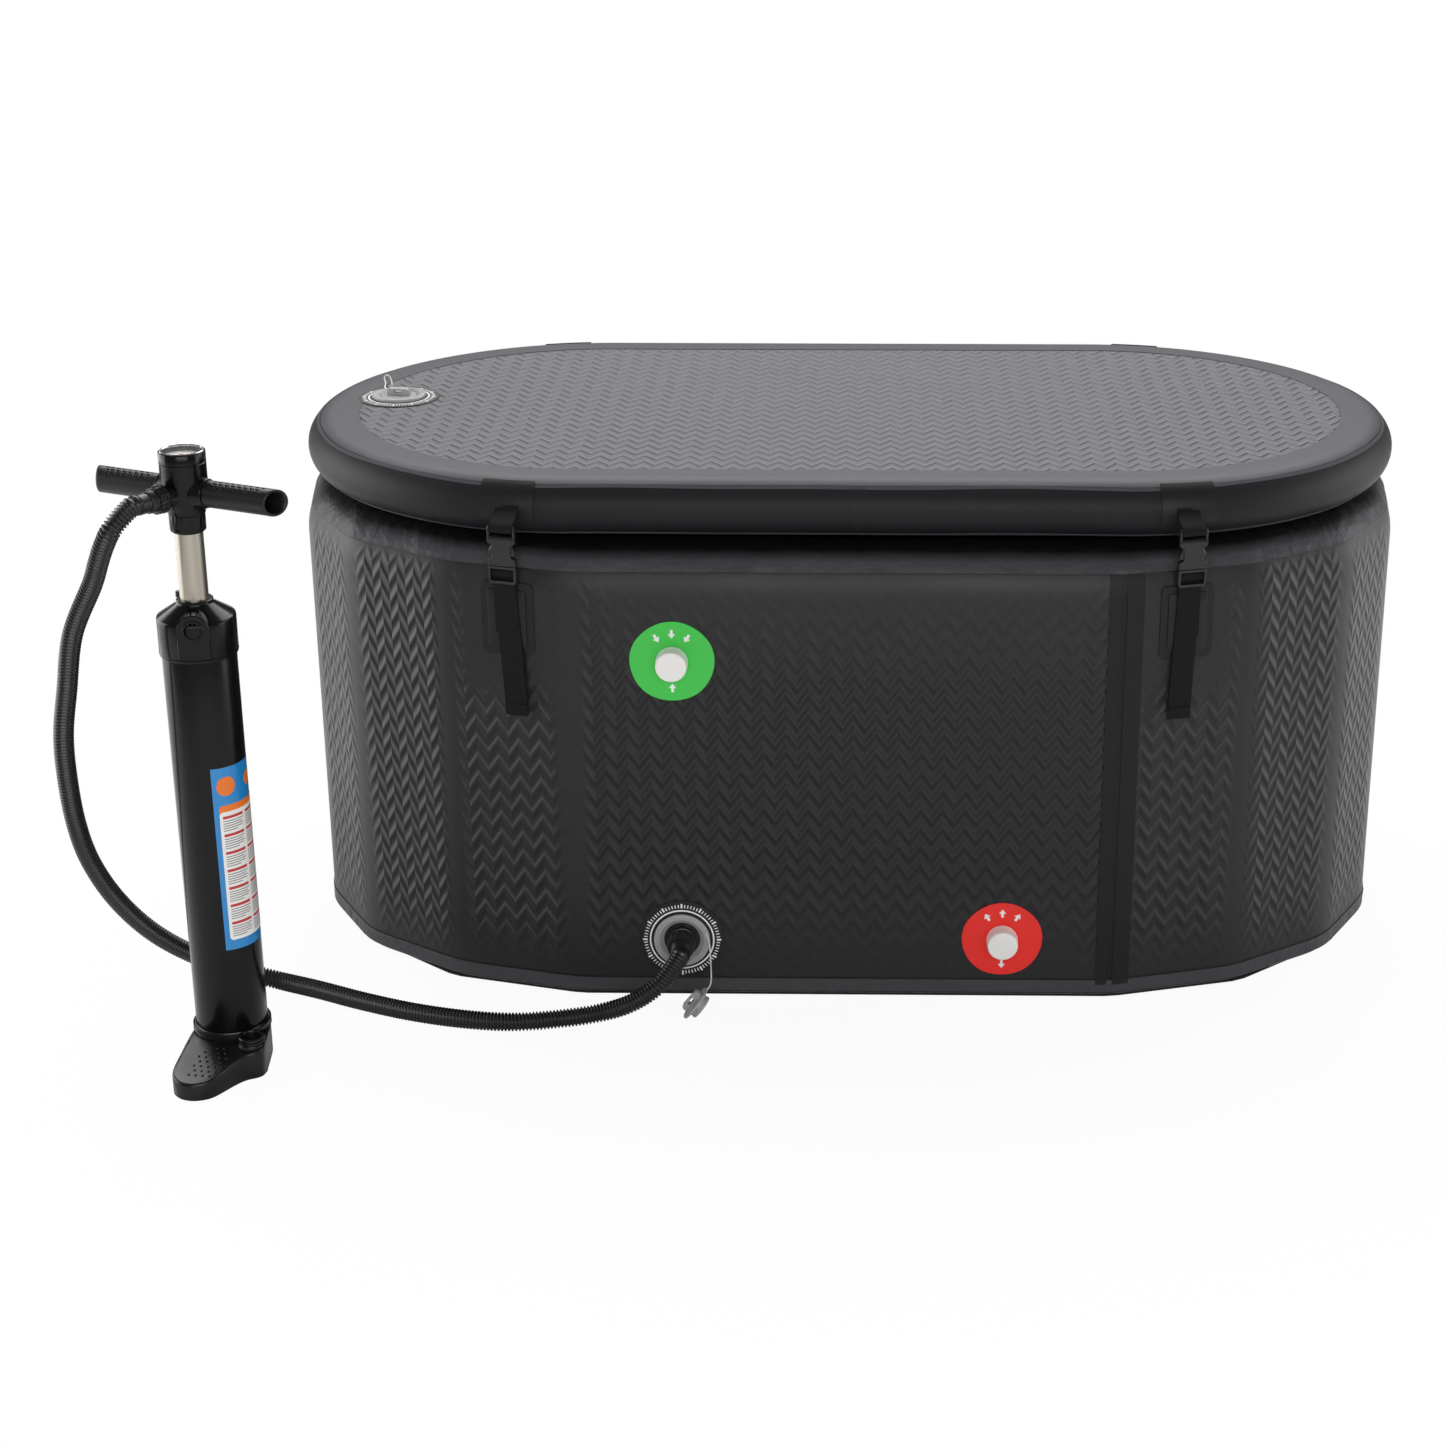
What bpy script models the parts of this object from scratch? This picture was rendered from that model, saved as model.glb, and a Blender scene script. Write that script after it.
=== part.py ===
"""An inflatable oval bathtub with its lid, straps, valves, water fittings and hand pump.

Lengths are metres and +Z is up. The origin is the middle of the tub's underside, and the tub's
long way is X. Its front, with the valves and the water fittings, faces -Y. The air chambers are
solid here: the real ones hold air between two skins that thousands of threads tie together.
"""
from math import asin, ceil, cos, pi, radians, sin, sqrt

import bmesh
import bpy
from mathutils import Matrix, Vector

# Clearances between pieces that touch, and how far a cutter runs past the face that it cuts
GAP = 0.0003
OVERRUN = 0.004

# Tub wall
STRAIGHT_HALF = 0.308
WALL_RADIUS = 0.400
WALL_THICKNESS = 0.100
WALL_TOP = 0.5765
RIM_ROUND = 0.036
RIM_STEPS = 4
RIM_TAPE_STEP = 1
BASE_ROUND = 0.006
FIRST_FOLD = radians(3.0)
FOLDS_PER_END = 8
FOLD_HALF_ANGLE = radians(1.3)
SHEET_THICKNESS = 0.0015
SHEET_INSET = 0.004
FLOOR_THICKNESS = 0.050
FLOOR_ROUND = 0.008
FLOOR_CLEARANCE = 0.0005

# Tapes and glued patches
TAPE_THICKNESS = 0.001
BASE_TAPE_TOP = 0.024
SEAM_TAPE_INBOARD = 0.001
SEAM_TAPE_WIDTH = 0.045
SEAM_TAPE_LAP = 0.006

# Lid
LID_SETBACK = 0.036
LID_END_REACH = 0.0215
LID_THICKNESS = 0.068
LID_STEPS = 16
LID_EDGE_STEPS = 10
LID_BAND_LOW_STEP = -2
LID_BAND_HIGH_STEP = 4.5
LID_PATCH_LOW_STEP = -1
LID_PATCH_HIGH_STEP = 3.5
LID_REST_GAP = 0.0004

# Straps, in a frame whose -Y points out of the wall's facet
STRAP_PAST_END = 0.093
STRAP_PATCH_HALF_WIDTH = 0.0335
STRAP_PATCH_LOW = 0.441
STRAP_PATCH_HIGH = 0.5325
STRAP_PATCH_CORNER = 0.010
COVER_INSET = 0.009
COVER_HEIGHT = 0.0015
COVER_SLOPE = 0.002
SEWN_DEPTH = 0.0002
WEBBING_THICKNESS = 0.0014
WEBBING_HALF_WIDTH = 0.014
WEBBING_PLAY = 0.0005
ANCHOR_LOW = 0.470
TAIL_LOW = 0.367
LID_HOLD_RISE = 0.0138
LID_HOLD_DEPTH = 0.0004
LID_HOLD_SPREAD = 0.0045

# Side-release buckle
BUCKLE_LOW = 0.5329
BUCKLE_HALF_WIDTH = 0.0172
BUCKLE_DEPTH = 0.0072
BUCKLE_CORNER = 0.003
BAR_DEPTH = 0.003
LOWER_BAR_HEIGHT = 0.0036
LOWER_SLOT_HEIGHT = 0.0075
MIDDLE_BAR_HEIGHT = 0.0035
UPPER_SLOT_HEIGHT = 0.0037
PLUG_SHOULDER_HEIGHT = 0.0033
SOCKET_HEIGHT = 0.0486
SOCKET_WALL = 0.0014
CAVITY_HALF_WIDTH = 0.0140
CAVITY_HEIGHT = 0.0335
WAIST_HALF_WIDTH = 0.0115
WINDOW_BOTTOM = 0.0085
WINDOW_TOP = 0.0280
WINDOW_SLOPE = 0.003
TOP_BAR_HEIGHT = 0.0069
TOP_SLOT_HEIGHT = 0.0060
TOP_BAR_INSET = 0.0020
TOP_BAR_DEPTH = 0.0032
PRONG_X = 0.0098
PRONG_HALF_WIDTH = 0.0022
PRONG_HEIGHT = 0.029
PRONG_BARB_REACH = 0.0064
PRONG_BARB_CLEARANCE = 0.0012
TONGUE_HALF_WIDTH = 0.003
TONGUE_HEIGHT = 0.025

# Air valves, in a frame whose +Z points out of the skin
AIR_VALVE_X = -0.201
AIR_VALVE_Z = 0.077
LID_VALVE_INBOARD = 0.121
LID_VALVE_Y = 0.033
VALVE_PATCH_RADIUS = 0.0525
VALVE_FLANGE_RADIUS = 0.0345
VALVE_FLANGE_HEIGHT = 0.004
VALVE_BARREL_RADIUS = 0.0240
VALVE_DEPTH = 0.040
VALVE_POCKET_DEPTH = 0.045
VALVE_DISH_RADIUS = 0.0275
VALVE_THROAT_RADIUS = 0.0190
VALVE_THROAT_TOP = -0.003
VALVE_SEAT_DEPTH = 0.021
VALVE_SEAT_THICKNESS = 0.003
VALVE_AIR_HOLE_RADIUS = 0.0028
VALVE_AIR_HOLE_RING = 0.0085
VALVE_AIR_HOLES = 4
STEM_RADIUS = 0.0030
STEM_CLEARANCE = 0.0003
STEM_BUTTON_RADIUS = 0.0060
STEM_BUTTON_HEIGHT = 0.0020
STEM_TOP_DEPTH = 0.0085
POPPET_RADIUS = 0.0125
POPPET_THICKNESS = 0.0020
SPRING_RADIUS = 0.0046
SPRING_WIRE = 0.0009
SPRING_TURNS = 4
SPRING_POINTS_PER_TURN = 7

# Valve caps
CAP_DISC_RADIUS = 0.0225
CAP_DISC_THICKNESS = 0.003
CAP_PLUG_RADIUS = 0.0150
CAP_PLUG_HEIGHT = 0.0085
CAP_TAB_HALF_LENGTH = 0.0150
CAP_TAB_HALF_WIDTH = 0.0045
CAP_TAB_HEIGHT = 0.0090
CAP_SLOT_HALF_LENGTH = 0.0050
CAP_SLOT_LOW = 0.0030
CAP_SLOT_HIGH = 0.0065
CAP_TAB_TURN = radians(-10)
LOOSE_CAP_X = -0.181
LOOSE_CAP_DISTANCE = 0.058
LOOSE_CAP_TILT = radians(-52)
LOOSE_CAP_TURN = radians(-6)
TETHER_DIAMETER = 0.0016

# Water fittings, in a frame whose +Z points out of the wall
WATER_IN_X = -0.206
WATER_IN_Z = 0.441
WATER_OUT_X = 0.192
WATER_OUT_Z = 0.080
WATER_IN_PATCH_RADIUS = 0.050
WATER_OUT_PATCH_RADIUS = 0.049
FITTING_NECK_RADIUS = 0.0135
FITTING_BORE_RADIUS = 0.0090
FITTING_FLANGE_RADIUS = 0.0190
FITTING_FLANGE_HEIGHT = 0.0025
FITTING_SPIGOT = 0.0130
FITTING_INNER_END = 0.014
WATER_CAP_RADIUS = 0.01925
WATER_CAP_HEIGHT = 0.0185
WATER_CAP_ROUND = 0.0030
WATER_CAP_TOP = 0.0035
NUT_RADIUS = 0.0250
NUT_HEIGHT = 0.008

# Hand pump, in a frame on its axis at the floor
PUMP_X = -0.725
PUMP_Y = -0.555
BARREL_RADIUS = 0.0415
BARREL_WALL = 0.0032
BARREL_TOP = 0.5385
FOOT_RADIUS = 0.0445
FOOT_TOP = 0.044
FOOT_FLOOR = 0.012
TOE_ANGLE = radians(-99.7)
TOE_REACH = 0.118
TOE_HALF_WIDTH = 0.038
TOE_FLARE = 0.060
TOE_ROOT_HALF_WIDTH = 0.041
TOE_HIGH = 0.036
TOE_LOW = 0.024
TOE_SLOPE_START = 0.052
TOE_SLOPE_END = 0.100
BOSS_RADIUS = 0.015
BOSS_REACH = 0.056
BOSS_ANGLE = radians(46)
BOSS_TOP = 0.046
PIN_HEAD_RADIUS = 0.0095
PIN_HEAD_HEIGHT = 0.003
CAP_RADIUS = 0.0440
CAP_SKIRT = 0.0315
CAP_SHOULDER_RISE = 0.0135
CAP_CONE_RISE = 0.015
GLAND_RISE = 0.004
CAP_LIP = 0.003
GLAND_RADIUS = 0.0205
INTAKE_ANGLE = radians(-82)
INTAKE_HALF_WIDTH = 0.018
INTAKE_DROP = 0.001
INTAKE_FOOT_DROP = 0.0032
INTAKE_INNER = 0.030
INTAKE_REACH = 0.0475
INTAKE_HOLE_RADIUS = 0.0098
INTAKE_HOLE_DEPTH = 0.006
MODE_PLUG_ANGLE = radians(140)
MODE_PLUG_DISTANCE = 0.0290
MODE_PLUG_RADIUS = 0.0045
MODE_PLUG_STEM_RADIUS = 0.0025
MODE_PLUG_SUNK = 0.001
MODE_PLUG_STEM = 0.016
MODE_PLUG_HEAD = 0.010
ROD_RADIUS = 0.01375
ROD_WALL = 0.003
ROD_CLEARANCE = 0.0003
PISTON_LOW = 0.125
PISTON_HEIGHT = 0.026
PISTON_CLEARANCE = 0.0005
SEAL_GROOVE_LOW = 0.009
SEAL_GROOVE_HEIGHT = 0.007
SEAL_GROOVE_DEPTH = 0.0035
ROD_SHOWING = 0.078
COLLAR_RADIUS = 0.020
COLLAR_HEIGHT = 0.021
HEAD_RADIUS = 0.02565
HEAD_HEIGHT = 0.0707
HEAD_SOCKET_DEPTH = 0.008
HANDLE_RISE = 0.0247
HANDLE_ANGLE = radians(-23)
GRIP_SOCKET_RADIUS = 0.0165
GRIP_SOCKET_REACH = 0.031
GRIP_RADIUS = 0.0150
GRIP_WALL = 0.0032
GRIP_REACH = 0.119
GAUGE_RECESS_DEPTH = 0.008
GAUGE_RADIUS = 0.0213
DIAL_THICKNESS = 0.0012
NEEDLE_HUB_RADIUS = 0.0020
NEEDLE_LENGTH = 0.0150
NEEDLE_TAIL = 0.0045
NEEDLE_HALF_WIDTH = 0.0007
NEEDLE_THICKNESS = 0.0008
LENS_THICKNESS = 0.0025
LENS_DROP = 0.0003
PORT_ANGLE = radians(-152)
PORT_RISE = 0.0197
PORT_RADIUS = 0.0120
PORT_REACH = 0.0395
NUT_START = 0.0335
NUT_END = 0.0450
HOSE_NUT_RADIUS = 0.0163
SLEEVE_END = 0.0550
SLEEVE_RADIUS = 0.0125
NOZZLE_RADIUS = 0.0170
NOZZLE_PLUG_DEPTH = 0.0120
NOZZLE_LIP = 0.0185
NOZZLE_SLEEVE_END = 0.0300

# Ribbed hose
HOSE_CREST_RADIUS = 0.01125
HOSE_VALLEY_RADIUS = 0.00985
HOSE_BORE_RADIUS = 0.0078
HOSE_RIBS = 90
HOSE_LEAD = 0.0225

# Route points between the pump head and the bath's valve, chosen by hand
HOSE_ROUTE = (
    (-0.812, -0.599, 0.662),
    (-0.831, -0.604, 0.610),
    (-0.848, -0.602, 0.545),
    (-0.867, -0.593, 0.475),
    (-0.880, -0.582, 0.415),
    (-0.886, -0.566, 0.354),
    (-0.888, -0.545, 0.289),
    (-0.884, -0.519, 0.230),
    (-0.868, -0.488, 0.168),
    (-0.840, -0.457, 0.112),
    (-0.803, -0.425, 0.066),
    (-0.757, -0.399, 0.032),
    (-0.706, -0.395, 0.0145),
    (-0.650, -0.416, 0.0120),
    (-0.590, -0.446, 0.0120),
    (-0.525, -0.473, 0.0120),
    (-0.459, -0.491, 0.0120),
    (-0.400, -0.497, 0.0120),
    (-0.345, -0.489, 0.0125),
    (-0.298, -0.480, 0.0160),
    (-0.258, -0.480, 0.0300),
    (-0.224, -0.475, 0.0530),
)
AIR_TETHER_ROUTE = (
    (-0.1710, -0.4067, 0.0875),
    (-0.1672, -0.4125, 0.0790),
    (-0.1655, -0.4205, 0.0670),
    (-0.1645, -0.4300, 0.0560),
    (-0.1635, -0.4400, 0.0470),
    (-0.1640, -0.4510, 0.0410),
)
# Measured from the lid valve's middle on the lid's top face
LID_TETHER_ROUTE = (
    (-0.0160, 0.0040, 0.0100),
    (-0.0200, 0.0130, 0.0098),
    (-0.0212, 0.0220, 0.0098),
    (-0.0218, 0.0290, 0.0120),
    (-0.0240, 0.0350, 0.0170),
    (-0.0222, 0.0374, 0.0200),
    (-0.0180, 0.0374, 0.0190),
    (-0.0150, 0.0350, 0.0140),
    (-0.0135, 0.0305, 0.0082),
)

# Numbers of sides of round pieces
FINE_SIDES = 28
ROUND_SIDES = 20
SMALL_SIDES = 12

# Sizes that follow from the ones above
WALL_LOW = SHEET_THICKNESS + GAP
FOLD_STEP = (pi - 2 * FIRST_FOLD) / (FOLDS_PER_END - 1)
FACET_DISTANCE = WALL_RADIUS / cos(FIRST_FOLD) * cos(FOLD_STEP / 2)
FACET_ANGLE = FIRST_FOLD + FOLD_STEP / 2
STRAP_X = STRAIGHT_HALF + STRAP_PAST_END
STRAP_Y = -(FACET_DISTANCE - (STRAP_X - STRAIGHT_HALF) * sin(FACET_ANGLE)) / cos(FACET_ANGLE)
SEAM_TAPE_LEFT = STRAIGHT_HALF - SEAM_TAPE_INBOARD
SEAM_TAPE_RIGHT = SEAM_TAPE_LEFT + SEAM_TAPE_WIDTH
LID_VALVE_X = LID_VALVE_INBOARD - STRAIGHT_HALF - WALL_RADIUS
LOOSE_CAP_Y = -WALL_RADIUS - LOOSE_CAP_DISTANCE
LID_RADIUS = WALL_RADIUS - LID_SETBACK
LID_STRAIGHT_HALF = STRAIGHT_HALF + LID_END_REACH
LID_LOW = WALL_TOP + GAP + TAPE_THICKNESS + LID_REST_GAP
LID_TOP = LID_LOW + LID_THICKNESS
LID_MIDDLE = LID_LOW + LID_THICKNESS / 2
LID_HOLD_HEIGHT = LID_MIDDLE + LID_HOLD_RISE
LID_ROUND = LID_THICKNESS / 2
PATCH_TOP = GAP + TAPE_THICKNESS
FLANGE_LOW = PATCH_TOP + GAP
FLANGE_TOP = FLANGE_LOW + VALVE_FLANGE_HEIGHT
ANCHOR_BACK = PATCH_TOP + COVER_HEIGHT - SEWN_DEPTH
ANCHOR_FRONT = ANCHOR_BACK + WEBBING_THICKNESS
TAIL_BACK = ANCHOR_FRONT + GAP
TAIL_FRONT = TAIL_BACK + WEBBING_THICKNESS
BUCKLE_BACK = TAIL_BACK
BUCKLE_FRONT = BUCKLE_BACK + BUCKLE_DEPTH
BAR_FRONT = BUCKLE_BACK + BAR_DEPTH
WRAP_FRONT = BAR_FRONT + GAP + WEBBING_THICKNESS
LOWER_BAR_TOP = BUCKLE_LOW + LOWER_BAR_HEIGHT
MIDDLE_BAR_LOW = LOWER_BAR_TOP + LOWER_SLOT_HEIGHT
MIDDLE_BAR_TOP = MIDDLE_BAR_LOW + MIDDLE_BAR_HEIGHT
UPPER_SLOT_TOP = MIDDLE_BAR_TOP + UPPER_SLOT_HEIGHT
PLUG_TOP = UPPER_SLOT_TOP + PLUG_SHOULDER_HEIGHT
SOCKET_LOW = PLUG_TOP + GAP
SOCKET_TOP = SOCKET_LOW + SOCKET_HEIGHT
TOP_BAR_LOW = SOCKET_TOP - TOP_BAR_HEIGHT
SLOT_HALF_WIDTH = WEBBING_HALF_WIDTH + WEBBING_PLAY
CAVITY_BACK = BUCKLE_BACK + SOCKET_WALL
CAVITY_FRONT = BUCKLE_FRONT - SOCKET_WALL
CAP_LOW = BARREL_TOP - CAP_SKIRT
CAP_SHOULDER = BARREL_TOP + CAP_SHOULDER_RISE
CAP_CONE_TOP = CAP_SHOULDER + CAP_CONE_RISE
CAP_TOP = CAP_CONE_TOP + GLAND_RISE
INTAKE_HEIGHT = BARREL_TOP - INTAKE_DROP
MODE_PLUG_LOW = CAP_SHOULDER + MODE_PLUG_SUNK
MODE_PLUG_HEAD_LOW = MODE_PLUG_LOW + MODE_PLUG_STEM
MODE_PLUG_TOP = MODE_PLUG_HEAD_LOW + MODE_PLUG_HEAD
COLLAR_LOW = CAP_TOP + ROD_SHOWING
HEAD_LOW = COLLAR_LOW + COLLAR_HEIGHT + GAP
HEAD_TOP = HEAD_LOW + HEAD_HEIGHT
HANDLE_HEIGHT = HEAD_LOW + HANDLE_RISE
PORT_HEIGHT = HEAD_LOW + PORT_RISE
ROD_TOP = HEAD_LOW + HEAD_SOCKET_DEPTH
BARREL_BORE = BARREL_RADIUS - BARREL_WALL
PISTON_RADIUS = BARREL_BORE - PISTON_CLEARANCE
PISTON_TOP = PISTON_LOW + PISTON_HEIGHT
GAUGE_FLOOR = HEAD_TOP - GAUGE_RECESS_DEPTH
PORT_DIRECTION = Vector((cos(PORT_ANGLE), sin(PORT_ANGLE), 0))


def outline_circle(radius, sides, turn=0.0):
    """Corners of a regular polygon, anticlockwise."""
    return [(radius * cos(turn + 2 * pi * k / sides), radius * sin(turn + 2 * pi * k / sides))
            for k in range(sides)]


def outline_oval(radius, straight_half, angles, distance=None):
    """Corners of an oval: each end goes round its own centre, at the angles given from -Y."""
    points = []
    for side in (1, -1):
        for angle in angles:
            reach = radius if distance is None else distance(radius, angle)
            points.append((side * (straight_half + reach * sin(angle)), -side * reach * cos(angle)))
    return points


def fold_angles():
    """Angles of the wall's vertical folds round one end, from the front to the back."""
    return [FIRST_FOLD + FOLD_STEP * k for k in range(FOLDS_PER_END)]


def facet_reach(radius, angle):
    """Distance from an end's centre to the flat facet that lies at this angle."""
    facet = int((angle - FIRST_FOLD) // FOLD_STEP)
    if angle < FIRST_FOLD or facet >= FOLDS_PER_END - 1:
        return radius / abs(cos(angle))
    middle = FIRST_FOLD + FOLD_STEP * (facet + 0.5)
    return radius / cos(FIRST_FOLD) * cos(FOLD_STEP / 2) / cos(angle - middle)


def folded_oval(radius):
    """Outline of the tub at a distance from its middle line: flat facets with narrow folds."""
    angles = [fold + shift for fold in fold_angles() for shift in (-FOLD_HALF_ANGLE, FOLD_HALF_ANGLE)]
    return outline_oval(radius, STRAIGHT_HALF, angles, facet_reach)


def lid_oval(radius):
    """Outline of the lid at a distance from its middle line."""
    return outline_oval(radius, LID_STRAIGHT_HALF, [pi * k / LID_STEPS for k in range(LID_STEPS + 1)])


def arc(centre, radius, start, end, steps):
    """Points on an arc, start and end angles included."""
    return [(centre[0] + radius * cos(start + (end - start) * k / steps),
             centre[1] + radius * sin(start + (end - start) * k / steps)) for k in range(steps + 1)]


def loft(rows, ring=False):
    """A closed skin through rows of points; a ring joins its last row to its first."""
    bm = bmesh.new()
    made = [[bm.verts.new(point) for point in row] for row in rows]
    pairs = list(zip(made, made[1:])) + ([(made[-1], made[0])] if ring else [])
    for low, high in pairs:
        for k in range(len(low)):
            after = (k + 1) % len(low)
            bm.faces.new((low[k], low[after], high[after], high[k]))
    if not ring:
        bm.faces.new(list(reversed(made[0])))
        bm.faces.new(made[-1])
    bmesh.ops.recalc_face_normals(bm, faces=bm.faces)
    return bm


def carried(profile, outline, ring=False):
    """A profile of (distance, height) points carried round an outline."""
    return loft([[(x, y, z) for x, y in outline(distance)] for distance, z in profile], ring)


def turned(profile, sides=ROUND_SIDES, ring=False):
    """A profile of (radius, height) points turned about Z."""
    return carried(profile, lambda radius: outline_circle(radius, sides), ring)


def tube(outer, inner, low, high, sides=ROUND_SIDES):
    """A plain tube, standing on Z."""
    return turned([(outer, low), (outer, high), (inner, high), (inner, low)], sides, ring=True)


def rod(radius, low, high, sides=ROUND_SIDES):
    """A plain cylinder, standing on Z."""
    return turned([(radius, low), (radius, high)], sides)


def prism(outline, low, high, place):
    """An outline pushed from low to high, where place turns (a, b, push) into a point."""
    return loft([[place(a, b, low) for a, b in outline], [place(a, b, high) for a, b in outline]])


def lying(a, b, push):
    """Outline in XY, pushed up Z."""
    return (a, b, push)


def facing(a, b, push):
    """Outline in XZ, pushed out of the wall, which is -Y."""
    return (a, -push, b)


def edgewise(out, height, push):
    """Outline of distance out of the wall and height, pushed along X."""
    return (push, -out, height)


def rectangle(left, right, low, high, corner=0.0):
    """A rectangle, its corners cut off when a corner size is given."""
    if corner == 0.0:
        return [(left, low), (right, low), (right, high), (left, high)]
    return [(left + corner, low), (right - corner, low), (right, low + corner), (right, high - corner),
            (right - corner, high), (left + corner, high), (left, high - corner), (left, low + corner)]


def ribbon(path, thickness):
    """Outline of a strip with this thickness along a path of points in a plane."""
    left, right = [], []
    for k, (a, b) in enumerate(path):
        before = Vector(path[k]) - Vector(path[k - 1]) if k else None
        after = Vector(path[k + 1]) - Vector(path[k]) if k < len(path) - 1 else None
        first = (before or after).normalized()
        second = (after or before).normalized()
        along = (first + second).normalized()
        reach = thickness / 2 / max(along.dot(first), 0.5)
        left.append((a - along.y * reach, b + along.x * reach))
        right.append((a + along.y * reach, b - along.x * reach))
    return left + right[::-1]


def merged(pieces):
    """Several solids in one mesh, each moved by its own matrix."""
    bm = bmesh.new()
    for piece, matrix in pieces:
        holder = bpy.data.meshes.new("holder")
        piece.to_mesh(holder)
        holder.transform(matrix)
        bm.from_mesh(holder)
        bpy.data.meshes.remove(holder)
    return bm


def material(name, colour, roughness, metallic=0.0, alpha=1.0):
    """A Principled material; the colour is given in sRGB from 0 to 1."""
    made = bpy.data.materials.new(name)
    made.use_nodes = True
    shader = made.node_tree.nodes["Principled BSDF"]
    linear = [c / 12.92 if c <= 0.04045 else ((c + 0.055) / 1.055) ** 2.4 for c in colour]
    shader.inputs["Base Color"].default_value = (*linear, 1.0)
    shader.inputs["Roughness"].default_value = roughness
    shader.inputs["Metallic"].default_value = metallic
    shader.inputs["Alpha"].default_value = alpha
    return made


def add(name, bm, finish=None, frame=None, location=(0, 0, 0)):
    """A new object from a mesh in work, at a place in its frame."""
    mesh = bpy.data.meshes.new(name)
    bm.to_mesh(mesh)
    bm.free()
    mesh.shade_smooth()
    mesh.set_sharp_from_angle(angle=radians(35))
    made = bpy.data.objects.new(name, mesh)
    bpy.context.scene.collection.objects.link(made)
    made.parent = frame
    made.location = location
    if finish:
        mesh.materials.append(finish)
    return made


def combine(target, name, bm, operation="DIFFERENCE"):
    """Cut a shape out of an object, or join it on, with a Boolean that stays live."""
    tool = add(name, bm, frame=target.parent, location=target.location)
    tool.hide_render = True
    tool.display_type = "WIRE"
    step = target.modifiers.new(name, "BOOLEAN")
    step.operation = operation
    step.solver = "EXACT"
    step.object = tool
    return target


def empty(name, matrix):
    """A frame that pieces are placed in."""
    made = bpy.data.objects.new(name, None)
    bpy.context.scene.collection.objects.link(made)
    made.matrix_world = matrix
    return made


def smooth_route(points, spacing):
    """Points at even spacing on a smooth curve through the route's own points."""
    ends = [2 * points[0] - points[1]] + list(points) + [2 * points[-1] - points[-2]]
    dense = []
    steps = 24
    for p0, p1, p2, p3 in zip(ends, ends[1:], ends[2:], ends[3:]):
        for k in range(steps):
            t = k / steps
            dense.append(0.5 * (2 * p1 + (p2 - p0) * t + (2 * p0 - 5 * p1 + 4 * p2 - p3) * t * t
                                + (3 * p1 - p0 - 3 * p2 + p3) * t * t * t))
    dense.append(points[-1])
    total = sum((b - a).length for a, b in zip(dense, dense[1:]))
    count = max(2, round(total / spacing))
    even, walked, target = [dense[0]], 0.0, total / count
    for a, b in zip(dense, dense[1:]):
        length = (b - a).length
        while walked + length >= target * len(even) - total * 1e-9 and len(even) < count:
            even.append(a.lerp(b, (target * len(even) - walked) / length))
        walked += length
    return even + [dense[-1]]


def curve_object(name, points, radii, resolution):
    """A tube along points, as a curve with a bevel and filled ends."""
    curve = bpy.data.curves.new(name, "CURVE")
    curve.dimensions = "3D"
    curve.bevel_depth = 1.0
    curve.bevel_resolution = resolution
    curve.use_fill_caps = True
    line = curve.splines.new("POLY")
    line.points.add(len(points) - 1)
    for place, point, radius in zip(line.points, points, radii):
        place.co = (*point, 1.0)
        place.radius = radius
    made = bpy.data.objects.new(name, curve)
    bpy.context.scene.collection.objects.link(made)
    return made


def curve_mesh(name, points, radii, resolution):
    """The same tube as a mesh in work, for a Boolean."""
    source = curve_object(name, points, radii, resolution)
    bpy.context.view_layer.update()
    mesh = bpy.data.meshes.new_from_object(source.evaluated_get(bpy.context.evaluated_depsgraph_get()))
    bm = bmesh.new()
    bm.from_mesh(mesh)
    bmesh.ops.remove_doubles(bm, verts=bm.verts, dist=GAP / 100)
    bmesh.ops.recalc_face_normals(bm, faces=bm.faces)
    bpy.data.objects.remove(source)
    bpy.data.meshes.remove(mesh)
    return bm


for old in list(bpy.data.objects):
    bpy.data.objects.remove(old)

# Finishes
WALL_PVC = material("charcoal_coated_fabric", (0.150, 0.153, 0.162), 0.55)
LID_PVC = material("grey_coated_fabric", (0.330, 0.330, 0.345), 0.60)
SMOOTH_PVC = material("smooth_pvc_tape", (0.165, 0.168, 0.178), 0.42)
SHEET_PVC = material("base_pvc_sheet", (0.120, 0.120, 0.125), 0.70)
WEBBING = material("black_webbing", (0.060, 0.060, 0.065), 0.85)
BUCKLE_PLASTIC = material("black_acetal", (0.080, 0.080, 0.085), 0.35)
PATCH_BLACK = material("black_valve_patch", (0.070, 0.070, 0.075), 0.50)
GREEN_PATCH = material("green_patch", (0.235, 0.706, 0.294), 0.50)
RED_PATCH = material("red_patch", (0.898, 0.176, 0.153), 0.50)
WHITE_PLASTIC = material("white_nylon", (0.940, 0.940, 0.940), 0.35)
GREY_PLASTIC = material("grey_valve_plastic", (0.560, 0.560, 0.560), 0.40)
SPRING_STEEL = material("spring_steel", (0.700, 0.700, 0.720), 0.30, 1.0)
RUBBER = material("black_rubber", (0.070, 0.070, 0.070), 0.80)
GLOSSY_BLACK = material("glossy_black_abs", (0.035, 0.035, 0.040), 0.15)
SATIN_BLACK = material("satin_black_nylon", (0.075, 0.075, 0.078), 0.42)
SILVER = material("anodised_aluminium", (0.800, 0.795, 0.780), 0.28, 1.0)
DIAL_WHITE = material("dial_paper", (0.930, 0.930, 0.920), 0.60)
NEEDLE_RED = material("needle_red", (0.800, 0.060, 0.090), 0.40)
CLEAR = material("clear_lens", (0.950, 0.950, 0.950), 0.05, 0.0, 0.30)
HOSE_BLACK = material("black_hose_polyethylene", (0.060, 0.060, 0.062), 0.32)
TETHER_WHITE = material("white_tether", (0.880, 0.880, 0.870), 0.50)

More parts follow.
